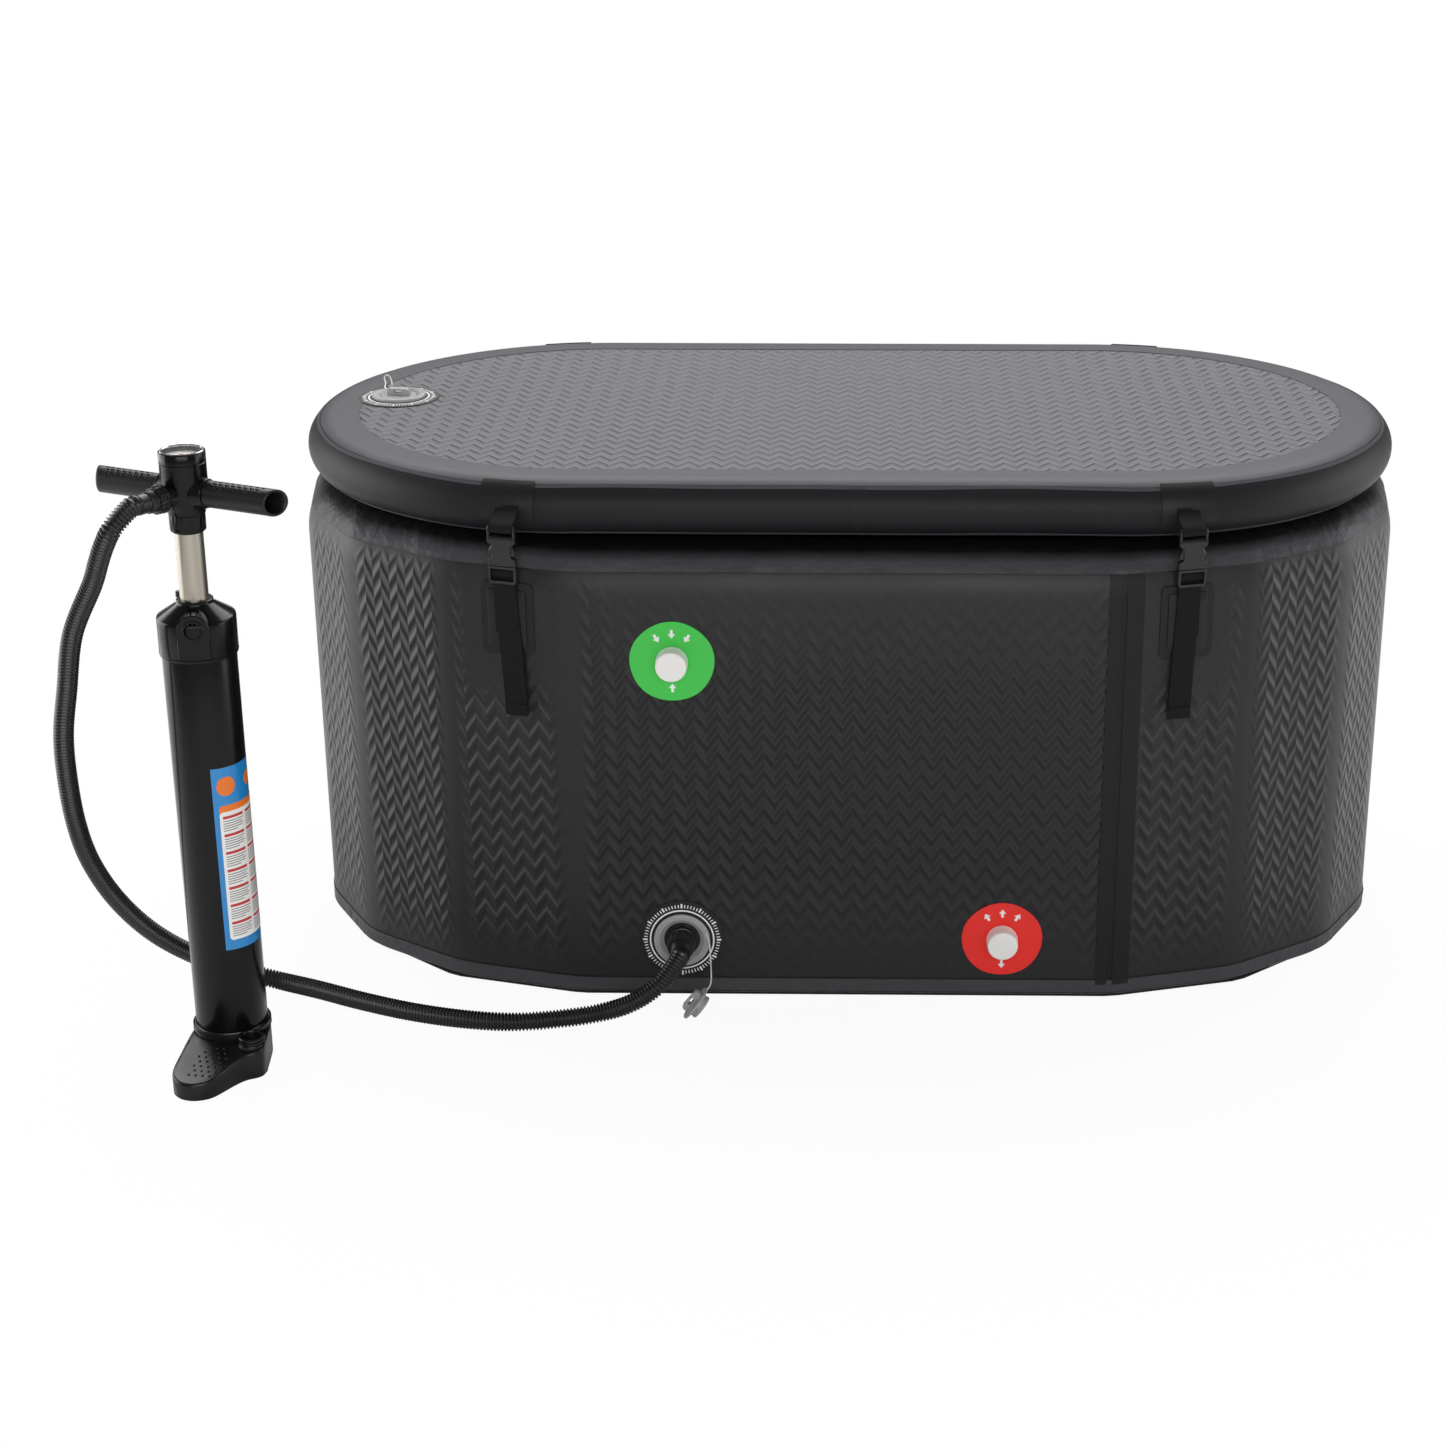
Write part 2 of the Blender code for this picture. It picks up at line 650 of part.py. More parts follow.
# Frames
FRONT = Matrix.Rotation(radians(90), 4, "X")
VALVE_FRAME = empty("air_valve_frame", Matrix.Translation((AIR_VALVE_X, -WALL_RADIUS, AIR_VALVE_Z)) @ FRONT)
LID_VALVE_FRAME = empty("lid_valve_frame", Matrix.Translation((LID_VALVE_X, LID_VALVE_Y, LID_TOP)))
WATER_IN = Matrix.Translation((WATER_IN_X, -WALL_RADIUS, WATER_IN_Z)) @ FRONT
WATER_OUT = Matrix.Translation((WATER_OUT_X, -WALL_RADIUS, WATER_OUT_Z)) @ FRONT
WATER_IN_FRAME = empty("water_in_frame", WATER_IN)
WATER_OUT_FRAME = empty("water_out_frame", WATER_OUT)
PUMP_FRAME = empty("pump_frame", Matrix.Translation((PUMP_X, PUMP_Y, 0)))
HANDLE_FRAME = empty("handle_frame", Matrix.Translation((PUMP_X, PUMP_Y, 0))
                     @ Matrix.Rotation(HANDLE_ANGLE, 4, "Z"))


def strap_matrices():
    """Places of the four straps by name: on a facet near each end of the front and of the back."""
    places = {}
    for name, x, y, turn in (("front_right", STRAP_X, STRAP_Y, FACET_ANGLE),
                             ("front_left", -STRAP_X, STRAP_Y, -FACET_ANGLE),
                             ("back_right", STRAP_X, -STRAP_Y, pi - FACET_ANGLE),
                             ("back_left", -STRAP_X, -STRAP_Y, pi + FACET_ANGLE)):
        places[name] = Matrix.Translation((x, y, 0)) @ Matrix.Rotation(turn, 4, "Z")
    return places


STRAPS = strap_matrices()
MIRRORED_STRAPS = ("front_left", "back_right")


def rim(lift, first):
    """Section of the rim, raised by a lift, from one of its steps outside to the same one inside."""
    steps = range(first, RIM_STEPS + 1)
    radius = RIM_ROUND + lift
    outside = [(radius * cos(pi / 2 * k / RIM_STEPS), radius * sin(pi / 2 * k / RIM_STEPS)) for k in steps]
    return ([(WALL_RADIUS - RIM_ROUND + x, WALL_TOP - RIM_ROUND + z) for x, z in outside]
            + [(WALL_RADIUS - WALL_THICKNESS + RIM_ROUND - x, WALL_TOP - RIM_ROUND + z)
               for x, z in reversed(outside)])


def wall_profile():
    """Section of the wall ring, from the outer foot over the rim to the inner foot."""
    return ([(WALL_RADIUS - BASE_ROUND, WALL_LOW), (WALL_RADIUS, WALL_LOW + BASE_ROUND)] + rim(0, 0)
            + [(WALL_RADIUS - WALL_THICKNESS, WALL_LOW)])


def make_tub():
    """Wall ring with its bores, floor, base sheet and tapes."""
    wall = add("wall_ring", carried(wall_profile(), folded_oval, ring=True), WALL_PVC)
    pocket = (rod(VALVE_BARREL_RADIUS + GAP, -VALVE_POCKET_DEPTH, OVERRUN),
              Matrix.Translation((AIR_VALVE_X, -WALL_RADIUS, AIR_VALVE_Z)) @ FRONT)
    bores = [(rod(FITTING_NECK_RADIUS + GAP, -WALL_THICKNESS - OVERRUN, OVERRUN), matrix)
             for matrix in (WATER_IN, WATER_OUT)]
    combine(wall, "wall_bores", merged([pocket] + bores))

    floor_radius = WALL_RADIUS - WALL_THICKNESS - FLOOR_CLEARANCE
    floor_low = SHEET_THICKNESS + GAP
    floor_top = floor_low + FLOOR_THICKNESS
    section = [(floor_radius - FLOOR_ROUND, floor_low), (floor_radius, floor_low + FLOOR_ROUND),
               (floor_radius, floor_top - FLOOR_ROUND), (floor_radius - FLOOR_ROUND, floor_top)]
    add("floor_panel", carried(section, folded_oval), WALL_PVC)
    sheet_radius = WALL_RADIUS - SHEET_INSET
    add("base_sheet", carried([(sheet_radius, 0), (sheet_radius, SHEET_THICKNESS)], folded_oval), SHEET_PVC)

    under = WALL_RADIUS + GAP
    over = under + TAPE_THICKNESS
    tape_low = WALL_LOW + BASE_ROUND
    tape = add("base_tape", carried([(under, tape_low), (over, tape_low), (over, BASE_TAPE_TOP),
                                     (under, BASE_TAPE_TOP)], folded_oval, ring=True), SMOOTH_PVC)
    combine(tape, "wall_seam_strip", prism(seam_tape_outline(), BASE_TAPE_TOP - SEAM_TAPE_LAP,
                                           WALL_TOP - RIM_ROUND, lying), "UNION")
    rim_tape = rim(GAP, RIM_TAPE_STEP) + rim(GAP + TAPE_THICKNESS, RIM_TAPE_STEP)[::-1]
    add("rim_tape", carried(rim_tape, folded_oval, ring=True), SMOOTH_PVC)


def seam_tape_outline():
    """Plan of the vertical tape over the wall's joint, which runs across the first fold."""
    strip = []
    for lift, forward in ((GAP, True), (GAP + TAPE_THICKNESS, False)):
        corners = folded_oval(WALL_RADIUS + lift)
        fold = [corners[0], corners[1]]
        after = corners[2]
        share = (SEAM_TAPE_RIGHT - fold[1][0]) / (after[0] - fold[1][0])
        end = (SEAM_TAPE_RIGHT, fold[1][1] + (after[1] - fold[1][1]) * share)
        side = [(SEAM_TAPE_LEFT, fold[0][1])] + fold + [end]
        strip += side if forward else side[::-1]
    return strip


def lid_edge(lift, first, last):
    """Section of the lid's rounded side, raised by a lift, from one of its steps up to another."""
    radius = LID_ROUND + lift
    turn = pi / LID_EDGE_STEPS
    points = [Vector((LID_RADIUS - LID_ROUND + radius * cos(turn * k), LID_MIDDLE + radius * sin(turn * k)))
              for k in range(first, ceil(last) + 1)]
    points[-1] = points[-2].lerp(points[-1], last - ceil(last) + 1)
    return [tuple(point) for point in points]


def make_lid():
    """Lid panel with its valve pocket, and the smooth band round its edge."""
    half = LID_EDGE_STEPS // 2
    lid = add("lid_panel", carried(lid_edge(0, -half, half), lid_oval), LID_PVC)
    combine(lid, "lid_valve_pocket",
            merged([(rod(VALVE_BARREL_RADIUS + GAP, -VALVE_POCKET_DEPTH, OVERRUN),
                     Matrix.Translation((LID_VALVE_X, LID_VALVE_Y, LID_TOP)))]))
    steps = (LID_BAND_LOW_STEP, LID_BAND_HIGH_STEP)
    band = lid_edge(GAP, *steps) + lid_edge(GAP + TAPE_THICKNESS, *steps)[::-1]
    add("lid_side_band", carried(band, lid_oval, ring=True), SMOOTH_PVC)


def lid_point(radius, angle):
    """A point on the lid's many-sided outline, at an angle from -Y round the right end."""
    step = pi / LID_STEPS
    k = int(angle // step)
    first = Vector((sin(k * step), -cos(k * step)))
    second = Vector((sin((k + 1) * step), -cos((k + 1) * step)))
    place = first.lerp(second, (angle - k * step) / step) * radius
    return (LID_STRAIGHT_HALF + place.x, place.y)


def lid_strap_patch(side):
    """Patch that holds a strap on the lid's rounded side, in the strap's frame."""
    middle = asin((STRAP_X - LID_STRAIGHT_HALF) / LID_RADIUS)
    half = STRAP_PATCH_HALF_WIDTH / LID_RADIUS
    step = pi / LID_STEPS
    corners = [k * step for k in range(LID_STEPS) if middle - half < k * step < middle + half]
    angles = [middle - half] + corners + [middle + half]
    steps = (LID_PATCH_LOW_STEP, LID_PATCH_HIGH_STEP)
    under = 2 * GAP + TAPE_THICKNESS
    profile = lid_edge(under, *steps) + lid_edge(under + TAPE_THICKNESS, *steps)[::-1]
    into_frame = Matrix.Scale(side, 4, (1, 0, 0)) @ STRAPS["front_right"].inverted()
    return loft([[into_frame @ Vector((*lid_point(radius, angle), z)) for radius, z in profile]
                 for angle in angles])


def strap_patch():
    """Patch on the wall with a raised middle, on which the webbing's end is sewn."""
    half = STRAP_PATCH_HALF_WIDTH
    inset = COVER_INSET
    wide = rectangle(-half, half, STRAP_PATCH_LOW, STRAP_PATCH_HIGH, STRAP_PATCH_CORNER)
    foot = rectangle(-half + inset, half - inset, STRAP_PATCH_LOW + inset, STRAP_PATCH_HIGH - inset,
                     STRAP_PATCH_CORNER / 2)
    inset += COVER_SLOPE
    crown = rectangle(-half + inset, half - inset, STRAP_PATCH_LOW + inset, STRAP_PATCH_HIGH - inset,
                      STRAP_PATCH_CORNER / 2)
    rows = ((wide, GAP), (wide, PATCH_TOP), (foot, PATCH_TOP), (crown, PATCH_TOP + COVER_HEIGHT))
    return loft([[facing(a, b, push) for a, b in outline] for outline, push in rows])


def tail_webbing():
    """Webbing from the wall patch, round the ladder lock's middle bar and down again as the tail."""
    wrap_top = MIDDLE_BAR_TOP + GAP
    outline = [
        (ANCHOR_BACK, ANCHOR_LOW), (ANCHOR_BACK, wrap_top + WEBBING_THICKNESS),
        (WRAP_FRONT, wrap_top + WEBBING_THICKNESS), (WRAP_FRONT, MIDDLE_BAR_LOW - WEBBING_THICKNESS),
        (TAIL_FRONT, LOWER_BAR_TOP + WEBBING_THICKNESS), (TAIL_FRONT, TAIL_LOW), (TAIL_BACK, TAIL_LOW),
        (TAIL_BACK, MIDDLE_BAR_LOW - 3 * WEBBING_THICKNESS), (BAR_FRONT + GAP, MIDDLE_BAR_LOW - GAP),
        (BAR_FRONT + GAP, wrap_top), (ANCHOR_FRONT, wrap_top), (ANCHOR_FRONT, ANCHOR_LOW),
    ]
    return prism(outline, -WEBBING_HALF_WIDTH, WEBBING_HALF_WIDTH, edgewise)


def lid_webbing():
    """Webbing from the lid's patch, out and down to the socket's top bar and back."""
    rise = LID_HOLD_HEIGHT - LID_MIDDLE
    side = LID_RADIUS - LID_ROUND + sqrt(LID_ROUND ** 2 - rise ** 2)
    lid_y = -sqrt(side ** 2 - (STRAP_X - LID_STRAIGHT_HALF) ** 2)
    hold = (STRAP_Y - lid_y) * cos(FACET_ANGLE) + 2 * GAP + TAPE_THICKNESS + LID_HOLD_DEPTH
    half = WEBBING_THICKNESS / 2
    bar_back = BUCKLE_BACK + TOP_BAR_INSET
    front = bar_back + TOP_BAR_DEPTH + GAP + half
    back = bar_back - GAP - half
    under = TOP_BAR_LOW - GAP - half
    path = [(hold, LID_HOLD_HEIGHT + LID_HOLD_SPREAD), (front, SOCKET_TOP + 2 * half + GAP), (front, under),
            (back, under), (back, SOCKET_TOP + half), (hold, LID_HOLD_HEIGHT)]
    return prism(ribbon(path, WEBBING_THICKNESS), -WEBBING_HALF_WIDTH, WEBBING_HALF_WIDTH, edgewise)


def plug_slots():
    """Cutter for the ladder lock: both slots, the recess before the middle bar and the way below."""
    outline = [
        (BUCKLE_BACK - OVERRUN, UPPER_SLOT_TOP), (BUCKLE_BACK - OVERRUN, MIDDLE_BAR_TOP),
        (BAR_FRONT, MIDDLE_BAR_TOP), (BAR_FRONT, MIDDLE_BAR_LOW), (BUCKLE_BACK - OVERRUN, MIDDLE_BAR_LOW),
        (BUCKLE_BACK - OVERRUN, BUCKLE_LOW - OVERRUN), (TAIL_FRONT + GAP, BUCKLE_LOW - OVERRUN),
        (TAIL_FRONT + GAP, LOWER_BAR_TOP), (BUCKLE_FRONT + OVERRUN, LOWER_BAR_TOP),
        (BUCKLE_FRONT + OVERRUN, UPPER_SLOT_TOP),
    ]
    return prism(outline, -SLOT_HALF_WIDTH, SLOT_HALF_WIDTH, edgewise)


def socket_slot():
    """Cutter for the socket's top: a slot, and room for the webbing on both faces of the bar."""
    bar_back = BUCKLE_BACK + TOP_BAR_INSET
    bar_front = bar_back + TOP_BAR_DEPTH
    outline = [
        (BUCKLE_BACK - OVERRUN, TOP_BAR_LOW - TOP_SLOT_HEIGHT),
        (BUCKLE_FRONT + OVERRUN, TOP_BAR_LOW - TOP_SLOT_HEIGHT),
        (BUCKLE_FRONT + OVERRUN, SOCKET_TOP + OVERRUN),
        (bar_front, SOCKET_TOP + OVERRUN), (bar_front, TOP_BAR_LOW), (bar_back, TOP_BAR_LOW),
        (bar_back, SOCKET_TOP + OVERRUN), (BUCKLE_BACK - OVERRUN, SOCKET_TOP + OVERRUN),
    ]
    return prism(outline, -SLOT_HALF_WIDTH, SLOT_HALF_WIDTH, edgewise)


def socket_body():
    """Buckle socket with a waist at each side, where the prongs' barbs show."""
    low = SOCKET_LOW + WINDOW_BOTTOM
    high = SOCKET_LOW + WINDOW_TOP
    half = BUCKLE_HALF_WIDTH
    right = [(half, SOCKET_LOW), (half, low), (WAIST_HALF_WIDTH, low + WINDOW_SLOPE),
             (WAIST_HALF_WIDTH, high - WINDOW_SLOPE), (half, high), (half, SOCKET_TOP - BUCKLE_CORNER),
             (half - BUCKLE_CORNER / 2, SOCKET_TOP)]
    left = [(-a, b) for a, b in reversed(right)]
    return prism(right + left, BUCKLE_BACK, BUCKLE_FRONT, facing)


def socket_cavity():
    """Cutter for the hollow that takes the prongs, open below."""
    opening = rectangle(-CAVITY_HALF_WIDTH, CAVITY_HALF_WIDTH, SOCKET_LOW - OVERRUN, SOCKET_LOW + CAVITY_HEIGHT)
    return prism(opening, CAVITY_BACK, CAVITY_FRONT, facing)


def plug_body():
    """Buckle plug's plate with cut corners below."""
    half = BUCKLE_HALF_WIDTH
    outline = [(-half + BUCKLE_CORNER / 2, BUCKLE_LOW), (half - BUCKLE_CORNER / 2, BUCKLE_LOW),
               (half, BUCKLE_LOW + BUCKLE_CORNER), (half, PLUG_TOP), (-half, PLUG_TOP),
               (-half, BUCKLE_LOW + BUCKLE_CORNER)]
    return prism(outline, BUCKLE_BACK, BUCKLE_FRONT, facing)


def plug_tongue():
    """Guide tongue in the middle of the plug."""
    return prism(rectangle(-TONGUE_HALF_WIDTH, TONGUE_HALF_WIDTH, PLUG_TOP - GAP, PLUG_TOP + TONGUE_HEIGHT),
                 CAVITY_BACK + GAP, CAVITY_FRONT - GAP, facing)


def prong(side):
    """Spring prong of the plug, with a barb that fills the socket's side window."""
    barb_low = SOCKET_LOW + WINDOW_BOTTOM + WINDOW_SLOPE + PRONG_BARB_CLEARANCE
    barb_high = SOCKET_LOW + WINDOW_TOP - WINDOW_SLOPE - PRONG_BARB_CLEARANCE
    inner = PRONG_X - PRONG_HALF_WIDTH
    outer = PRONG_X + PRONG_HALF_WIDTH
    reach = PRONG_X + PRONG_BARB_REACH
    tip = PLUG_TOP + PRONG_HEIGHT
    outline = [(inner, PLUG_TOP - GAP), (outer, PLUG_TOP - GAP), (outer, barb_low - PRONG_BARB_CLEARANCE),
               (reach, barb_low), (reach, (barb_low + barb_high) / 2), (outer + PRONG_HALF_WIDTH / 2, barb_high),
               (outer, tip), (inner, tip)]
    return prism([(side * a, b) for a, b in outline], CAVITY_BACK + GAP, CAVITY_FRONT - GAP, facing)


def make_straps():
    """Patch with webbing on the lid and on the wall, socket and plug, at each of the four straps."""
    identity = Matrix.Identity(4)
    for place, matrix in STRAPS.items():
        frame = empty(place + "_strap_frame", matrix)
        side = -1 if place in MIRRORED_STRAPS else 1
        lid_strap = add(place + "_lid_strap", lid_strap_patch(side), WEBBING, frame)
        combine(lid_strap, place + "_lid_webbing", lid_webbing(), "UNION")
        wall_strap = add(place + "_wall_strap", strap_patch(), WEBBING, frame)
        combine(wall_strap, place + "_wall_webbing", tail_webbing(), "UNION")
        socket = add(place + "_buckle_socket", socket_body(), BUCKLE_PLASTIC, frame)
        combine(socket, place + "_socket_cavity", socket_cavity())
        combine(socket, place + "_socket_slot", socket_slot())
        plug = add(place + "_buckle_plug", plug_body(), BUCKLE_PLASTIC, frame)
        fingers = merged([(piece, identity) for piece in (prong(-1), plug_tongue(), prong(1))])
        combine(plug, place + "_plug_fingers", fingers, "UNION")
        combine(plug, place + "_plug_slots", plug_slots())


def valve_body_profile():
    """Section of a valve body: flange, dished mouth, throat, seat plate and open foot."""
    seat_top = -VALVE_SEAT_DEPTH
    seat_low = seat_top - VALVE_SEAT_THICKNESS
    guide = STEM_RADIUS + STEM_CLEARANCE
    edge = VALVE_FLANGE_HEIGHT / 3
    return [
        (VALVE_BARREL_RADIUS, -VALVE_DEPTH), (VALVE_BARREL_RADIUS, FLANGE_LOW), (VALVE_FLANGE_RADIUS, FLANGE_LOW),
        (VALVE_FLANGE_RADIUS, FLANGE_TOP - edge), (VALVE_FLANGE_RADIUS - edge, FLANGE_TOP),
        (VALVE_DISH_RADIUS, FLANGE_TOP), (VALVE_THROAT_RADIUS, VALVE_THROAT_TOP), (VALVE_THROAT_RADIUS, seat_top),
        (guide, seat_top), (guide, seat_low), (VALVE_THROAT_RADIUS, seat_low), (VALVE_THROAT_RADIUS, -VALVE_DEPTH),
    ]


def stem_profile():
    """Section of a valve stem: poppet under the seat plate, thin rod and button."""
    top = -STEM_TOP_DEPTH
    poppet_top = -VALVE_SEAT_DEPTH - VALVE_SEAT_THICKNESS - GAP
    return [
        (POPPET_RADIUS, poppet_top - POPPET_THICKNESS), (POPPET_RADIUS, poppet_top), (STEM_RADIUS, poppet_top),
        (STEM_RADIUS, top - STEM_BUTTON_HEIGHT), (STEM_BUTTON_RADIUS, top - STEM_BUTTON_HEIGHT),
        (STEM_BUTTON_RADIUS, top),
    ]


def spring_points():
    """Points of the stem's spring between the seat plate and the button, with even pitch."""
    low = -VALVE_SEAT_DEPTH + GAP + SPRING_WIRE / 2
    high = -STEM_TOP_DEPTH - STEM_BUTTON_HEIGHT - GAP - SPRING_WIRE / 2
    count = SPRING_TURNS * SPRING_POINTS_PER_TURN
    return [Vector((SPRING_RADIUS * cos(2 * pi * k / SPRING_POINTS_PER_TURN),
                    SPRING_RADIUS * sin(2 * pi * k / SPRING_POINTS_PER_TURN),
                    low + (high - low) * k / count)) for k in range(count + 1)]


def least_gap(points, diameter, skip):
    """Smallest gap between stretches of a wound tube that are more than skip points apart."""
    return min((a - b).length for k, a in enumerate(points) for b in points[k + skip:]) - diameter


def make_valve(prefix, frame):
    """Patch, body, stem and spring of an air valve, in its frame."""
    add(prefix + "_patch", tube(VALVE_PATCH_RADIUS, VALVE_BARREL_RADIUS + GAP, GAP, PATCH_TOP),
        PATCH_BLACK, frame)
    body = add(prefix + "_body", turned(valve_body_profile(), ring=True), GREY_PLASTIC, frame)
    holes = [(rod(VALVE_AIR_HOLE_RADIUS, -VALVE_SEAT_DEPTH - VALVE_SEAT_THICKNESS - OVERRUN,
                  -VALVE_SEAT_DEPTH + OVERRUN, SMALL_SIDES // 2),
              Matrix.Rotation(2 * pi * k / VALVE_AIR_HOLES, 4, "Z") @ Matrix.Translation((VALVE_AIR_HOLE_RING, 0, 0)))
             for k in range(VALVE_AIR_HOLES)]
    combine(body, prefix + "_air_holes", merged(holes))
    add(prefix + "_stem", turned(stem_profile(), SMALL_SIDES), GREY_PLASTIC, frame)
    points = spring_points()
    spring = curve_object(prefix + "_spring", points, [SPRING_WIRE / 2] * len(points), 0)
    spring.parent = frame
    spring.data.materials.append(SPRING_STEEL)
    print(prefix, "spring gap", round(least_gap(points, SPRING_WIRE, SPRING_POINTS_PER_TURN - 1), 5))


def cap_frame_shape(cap):
    """Join the finger tab on a valve cap and cut the slot for its tether."""
    tab = prism(rectangle(-CAP_TAB_HALF_LENGTH, CAP_TAB_HALF_LENGTH, 0, CAP_DISC_THICKNESS + CAP_TAB_HEIGHT,
                          CAP_TAB_HALF_WIDTH / 2), -CAP_TAB_HALF_WIDTH, CAP_TAB_HALF_WIDTH, facing)
    slot = prism(rectangle(-CAP_SLOT_HALF_LENGTH, CAP_SLOT_HALF_LENGTH, CAP_DISC_THICKNESS + CAP_SLOT_LOW,
                           CAP_DISC_THICKNESS + CAP_SLOT_HIGH),
                 -CAP_TAB_HALF_WIDTH - OVERRUN, CAP_TAB_HALF_WIDTH + OVERRUN, facing)
    combine(cap, cap.name + "_tab", tab, "UNION")
    combine(cap, cap.name + "_slot", slot)


def valve_cap_disc():
    """Cap with its disc from zero up and its plug below."""
    edge = CAP_DISC_THICKNESS / 3
    return turned([(CAP_PLUG_RADIUS - edge, -CAP_PLUG_HEIGHT), (CAP_PLUG_RADIUS, edge - CAP_PLUG_HEIGHT),
                   (CAP_PLUG_RADIUS, 0), (CAP_DISC_RADIUS, 0), (CAP_DISC_RADIUS, CAP_DISC_THICKNESS - edge),
                   (CAP_DISC_RADIUS - edge, CAP_DISC_THICKNESS)])


def seated_cap_height():
    """Height at which a cap's disc rests in the valve's dish."""
    share = (CAP_DISC_RADIUS + GAP - VALVE_THROAT_RADIUS) / (VALVE_DISH_RADIUS - VALVE_THROAT_RADIUS)
    return VALVE_THROAT_TOP + share * (FLANGE_TOP - VALVE_THROAT_TOP)


def make_valves():
    """Both air valves with their caps and tethers."""
    make_valve("air_valve", VALVE_FRAME)
    make_valve("lid_valve", LID_VALVE_FRAME)
    seated = empty("lid_valve_cap_axis", Matrix.Translation((LID_VALVE_X, LID_VALVE_Y, LID_TOP + seated_cap_height()))
                   @ Matrix.Rotation(CAP_TAB_TURN, 4, "Z"))
    cap_frame_shape(add("lid_valve_cap", valve_cap_disc(), GREY_PLASTIC, seated))

    turn = Matrix.Rotation(LOOSE_CAP_TURN, 4, "Z") @ Matrix.Rotation(LOOSE_CAP_TILT, 4, "Y")
    edges = [turn @ Vector((radius * cos(a), radius * sin(a), z))
             for radius, z in ((CAP_DISC_RADIUS, 0), (CAP_PLUG_RADIUS, -CAP_PLUG_HEIGHT))
             for a in (2 * pi * k / ROUND_SIDES for k in range(ROUND_SIDES))]
    height = GAP - min(edge.z for edge in edges)
    loose = empty("loose_cap_frame", Matrix.Translation((LOOSE_CAP_X, LOOSE_CAP_Y, height)) @ turn)
    cap_frame_shape(add("air_valve_cap", valve_cap_disc(), GREY_PLASTIC, loose))

    rim_reach = CAP_DISC_RADIUS + GAP + TETHER_DIAMETER / 2
    rim_point = loose.matrix_world @ Vector((rim_reach, 0, CAP_DISC_THICKNESS / 2))
    for name, route, frame in (("air_valve_tether", AIR_TETHER_ROUTE + (tuple(rim_point),), None),
                               ("lid_valve_tether", LID_TETHER_ROUTE, LID_VALVE_FRAME)):
        points = smooth_route([Vector(point) for point in route], 2.5 * TETHER_DIAMETER)
        tether = curve_object(name, points, [TETHER_DIAMETER / 2] * len(points), 1)
        tether.parent = frame
        tether.data.materials.append(TETHER_WHITE)


def make_water_fittings():
    """Coloured patches, through-wall fittings, screw caps and clamp nuts."""
    neck = FITTING_NECK_RADIUS
    flange_top = FLANGE_LOW + FITTING_FLANGE_HEIGHT
    inner_end = -WALL_THICKNESS - FITTING_INNER_END
    fitting = [(neck, inner_end), (neck, FLANGE_LOW), (FITTING_FLANGE_RADIUS, FLANGE_LOW),
               (FITTING_FLANGE_RADIUS, flange_top), (neck, flange_top), (neck, flange_top + FITTING_SPIGOT),
               (FITTING_BORE_RADIUS, flange_top + FITTING_SPIGOT), (FITTING_BORE_RADIUS, inner_end)]
    cap_low = flange_top + GAP
    cap_high = cap_low + WATER_CAP_HEIGHT
    inside = neck + GAP
    inside_top = cap_high - WATER_CAP_TOP
    cap_round = arc((WATER_CAP_RADIUS - WATER_CAP_ROUND, cap_high - WATER_CAP_ROUND), WATER_CAP_ROUND, 0, pi / 2, 3)
    small = FITTING_BORE_RADIUS / 4
    cap = ([(small, inside_top), (inside, inside_top), (inside, cap_low), (WATER_CAP_RADIUS, cap_low)]
           + cap_round + [(small, cap_high)])
    nut_top = -WALL_THICKNESS - GAP
    nut_low = nut_top - NUT_HEIGHT
    round_bore = outline_circle(neck + GAP, ROUND_SIDES)
    nut = [[(x, y, z) for x, y in outline] for outline, z in (
        (round_bore, nut_low), (nut_outline(), nut_low), (nut_outline(), nut_top), (round_bore, nut_top))]
    for name, frame, radius, colour in (("water_in", WATER_IN_FRAME, WATER_IN_PATCH_RADIUS, GREEN_PATCH),
                                        ("water_out", WATER_OUT_FRAME, WATER_OUT_PATCH_RADIUS, RED_PATCH)):
        add(name + "_patch", tube(radius, neck + GAP, GAP, PATCH_TOP), colour, frame)
        add(name + "_fitting", turned(fitting, ring=True), WHITE_PLASTIC, frame)
        add(name + "_cap", turned(cap), WHITE_PLASTIC, frame)
        add(name + "_nut", loft(nut, ring=True), WHITE_PLASTIC, frame)


def nut_outline():
    """A hexagon with as many points as a round piece, for the clamp nuts."""
    points = []
    for k in range(ROUND_SIDES):
        angle = 2 * pi * k / ROUND_SIDES
        off_flat = (angle + pi / 6) % (pi / 3) - pi / 6
        reach = NUT_RADIUS * cos(pi / 6) / cos(off_flat)
        points.append((reach * cos(angle), reach * sin(angle)))
    return points


def toe_shape():
    """One toe of the pump's foot, along +X, with a sloped tread and a flare at its right side."""
    round_reach = TOE_REACH - TOE_HALF_WIDTH
    front = [(round_reach + TOE_HALF_WIDTH * cos(a), TOE_HALF_WIDTH * sin(a))
             for a in (radians(-60 + 30 * k) for k in range(6))]
    flare = [(0, -TOE_ROOT_HALF_WIDTH), (TOE_SLOPE_START * 0.8, -TOE_FLARE),
             (TOE_SLOPE_START * 1.1, -TOE_FLARE), (TOE_SLOPE_END * 0.75, -TOE_HALF_WIDTH * 1.15)]
    outline = flare + front + [(0, TOE_ROOT_HALF_WIDTH)]
    shape = prism(outline, 0, TOE_HIGH, lying)
    slope = Vector((TOE_HIGH - TOE_LOW, 0, TOE_SLOPE_END - TOE_SLOPE_START)).normalized()
    cut = bmesh.ops.bisect_plane(shape, geom=shape.verts[:] + shape.edges[:] + shape.faces[:],
                                 plane_co=(TOE_SLOPE_START, 0, TOE_HIGH), plane_no=slope, clear_outer=True)
    bmesh.ops.edgenet_fill(shape, edges=[e for e in cut["geom_cut"] if isinstance(e, bmesh.types.BMEdge)])
    bmesh.ops.recalc_face_normals(shape, faces=shape.faces)
    return shape


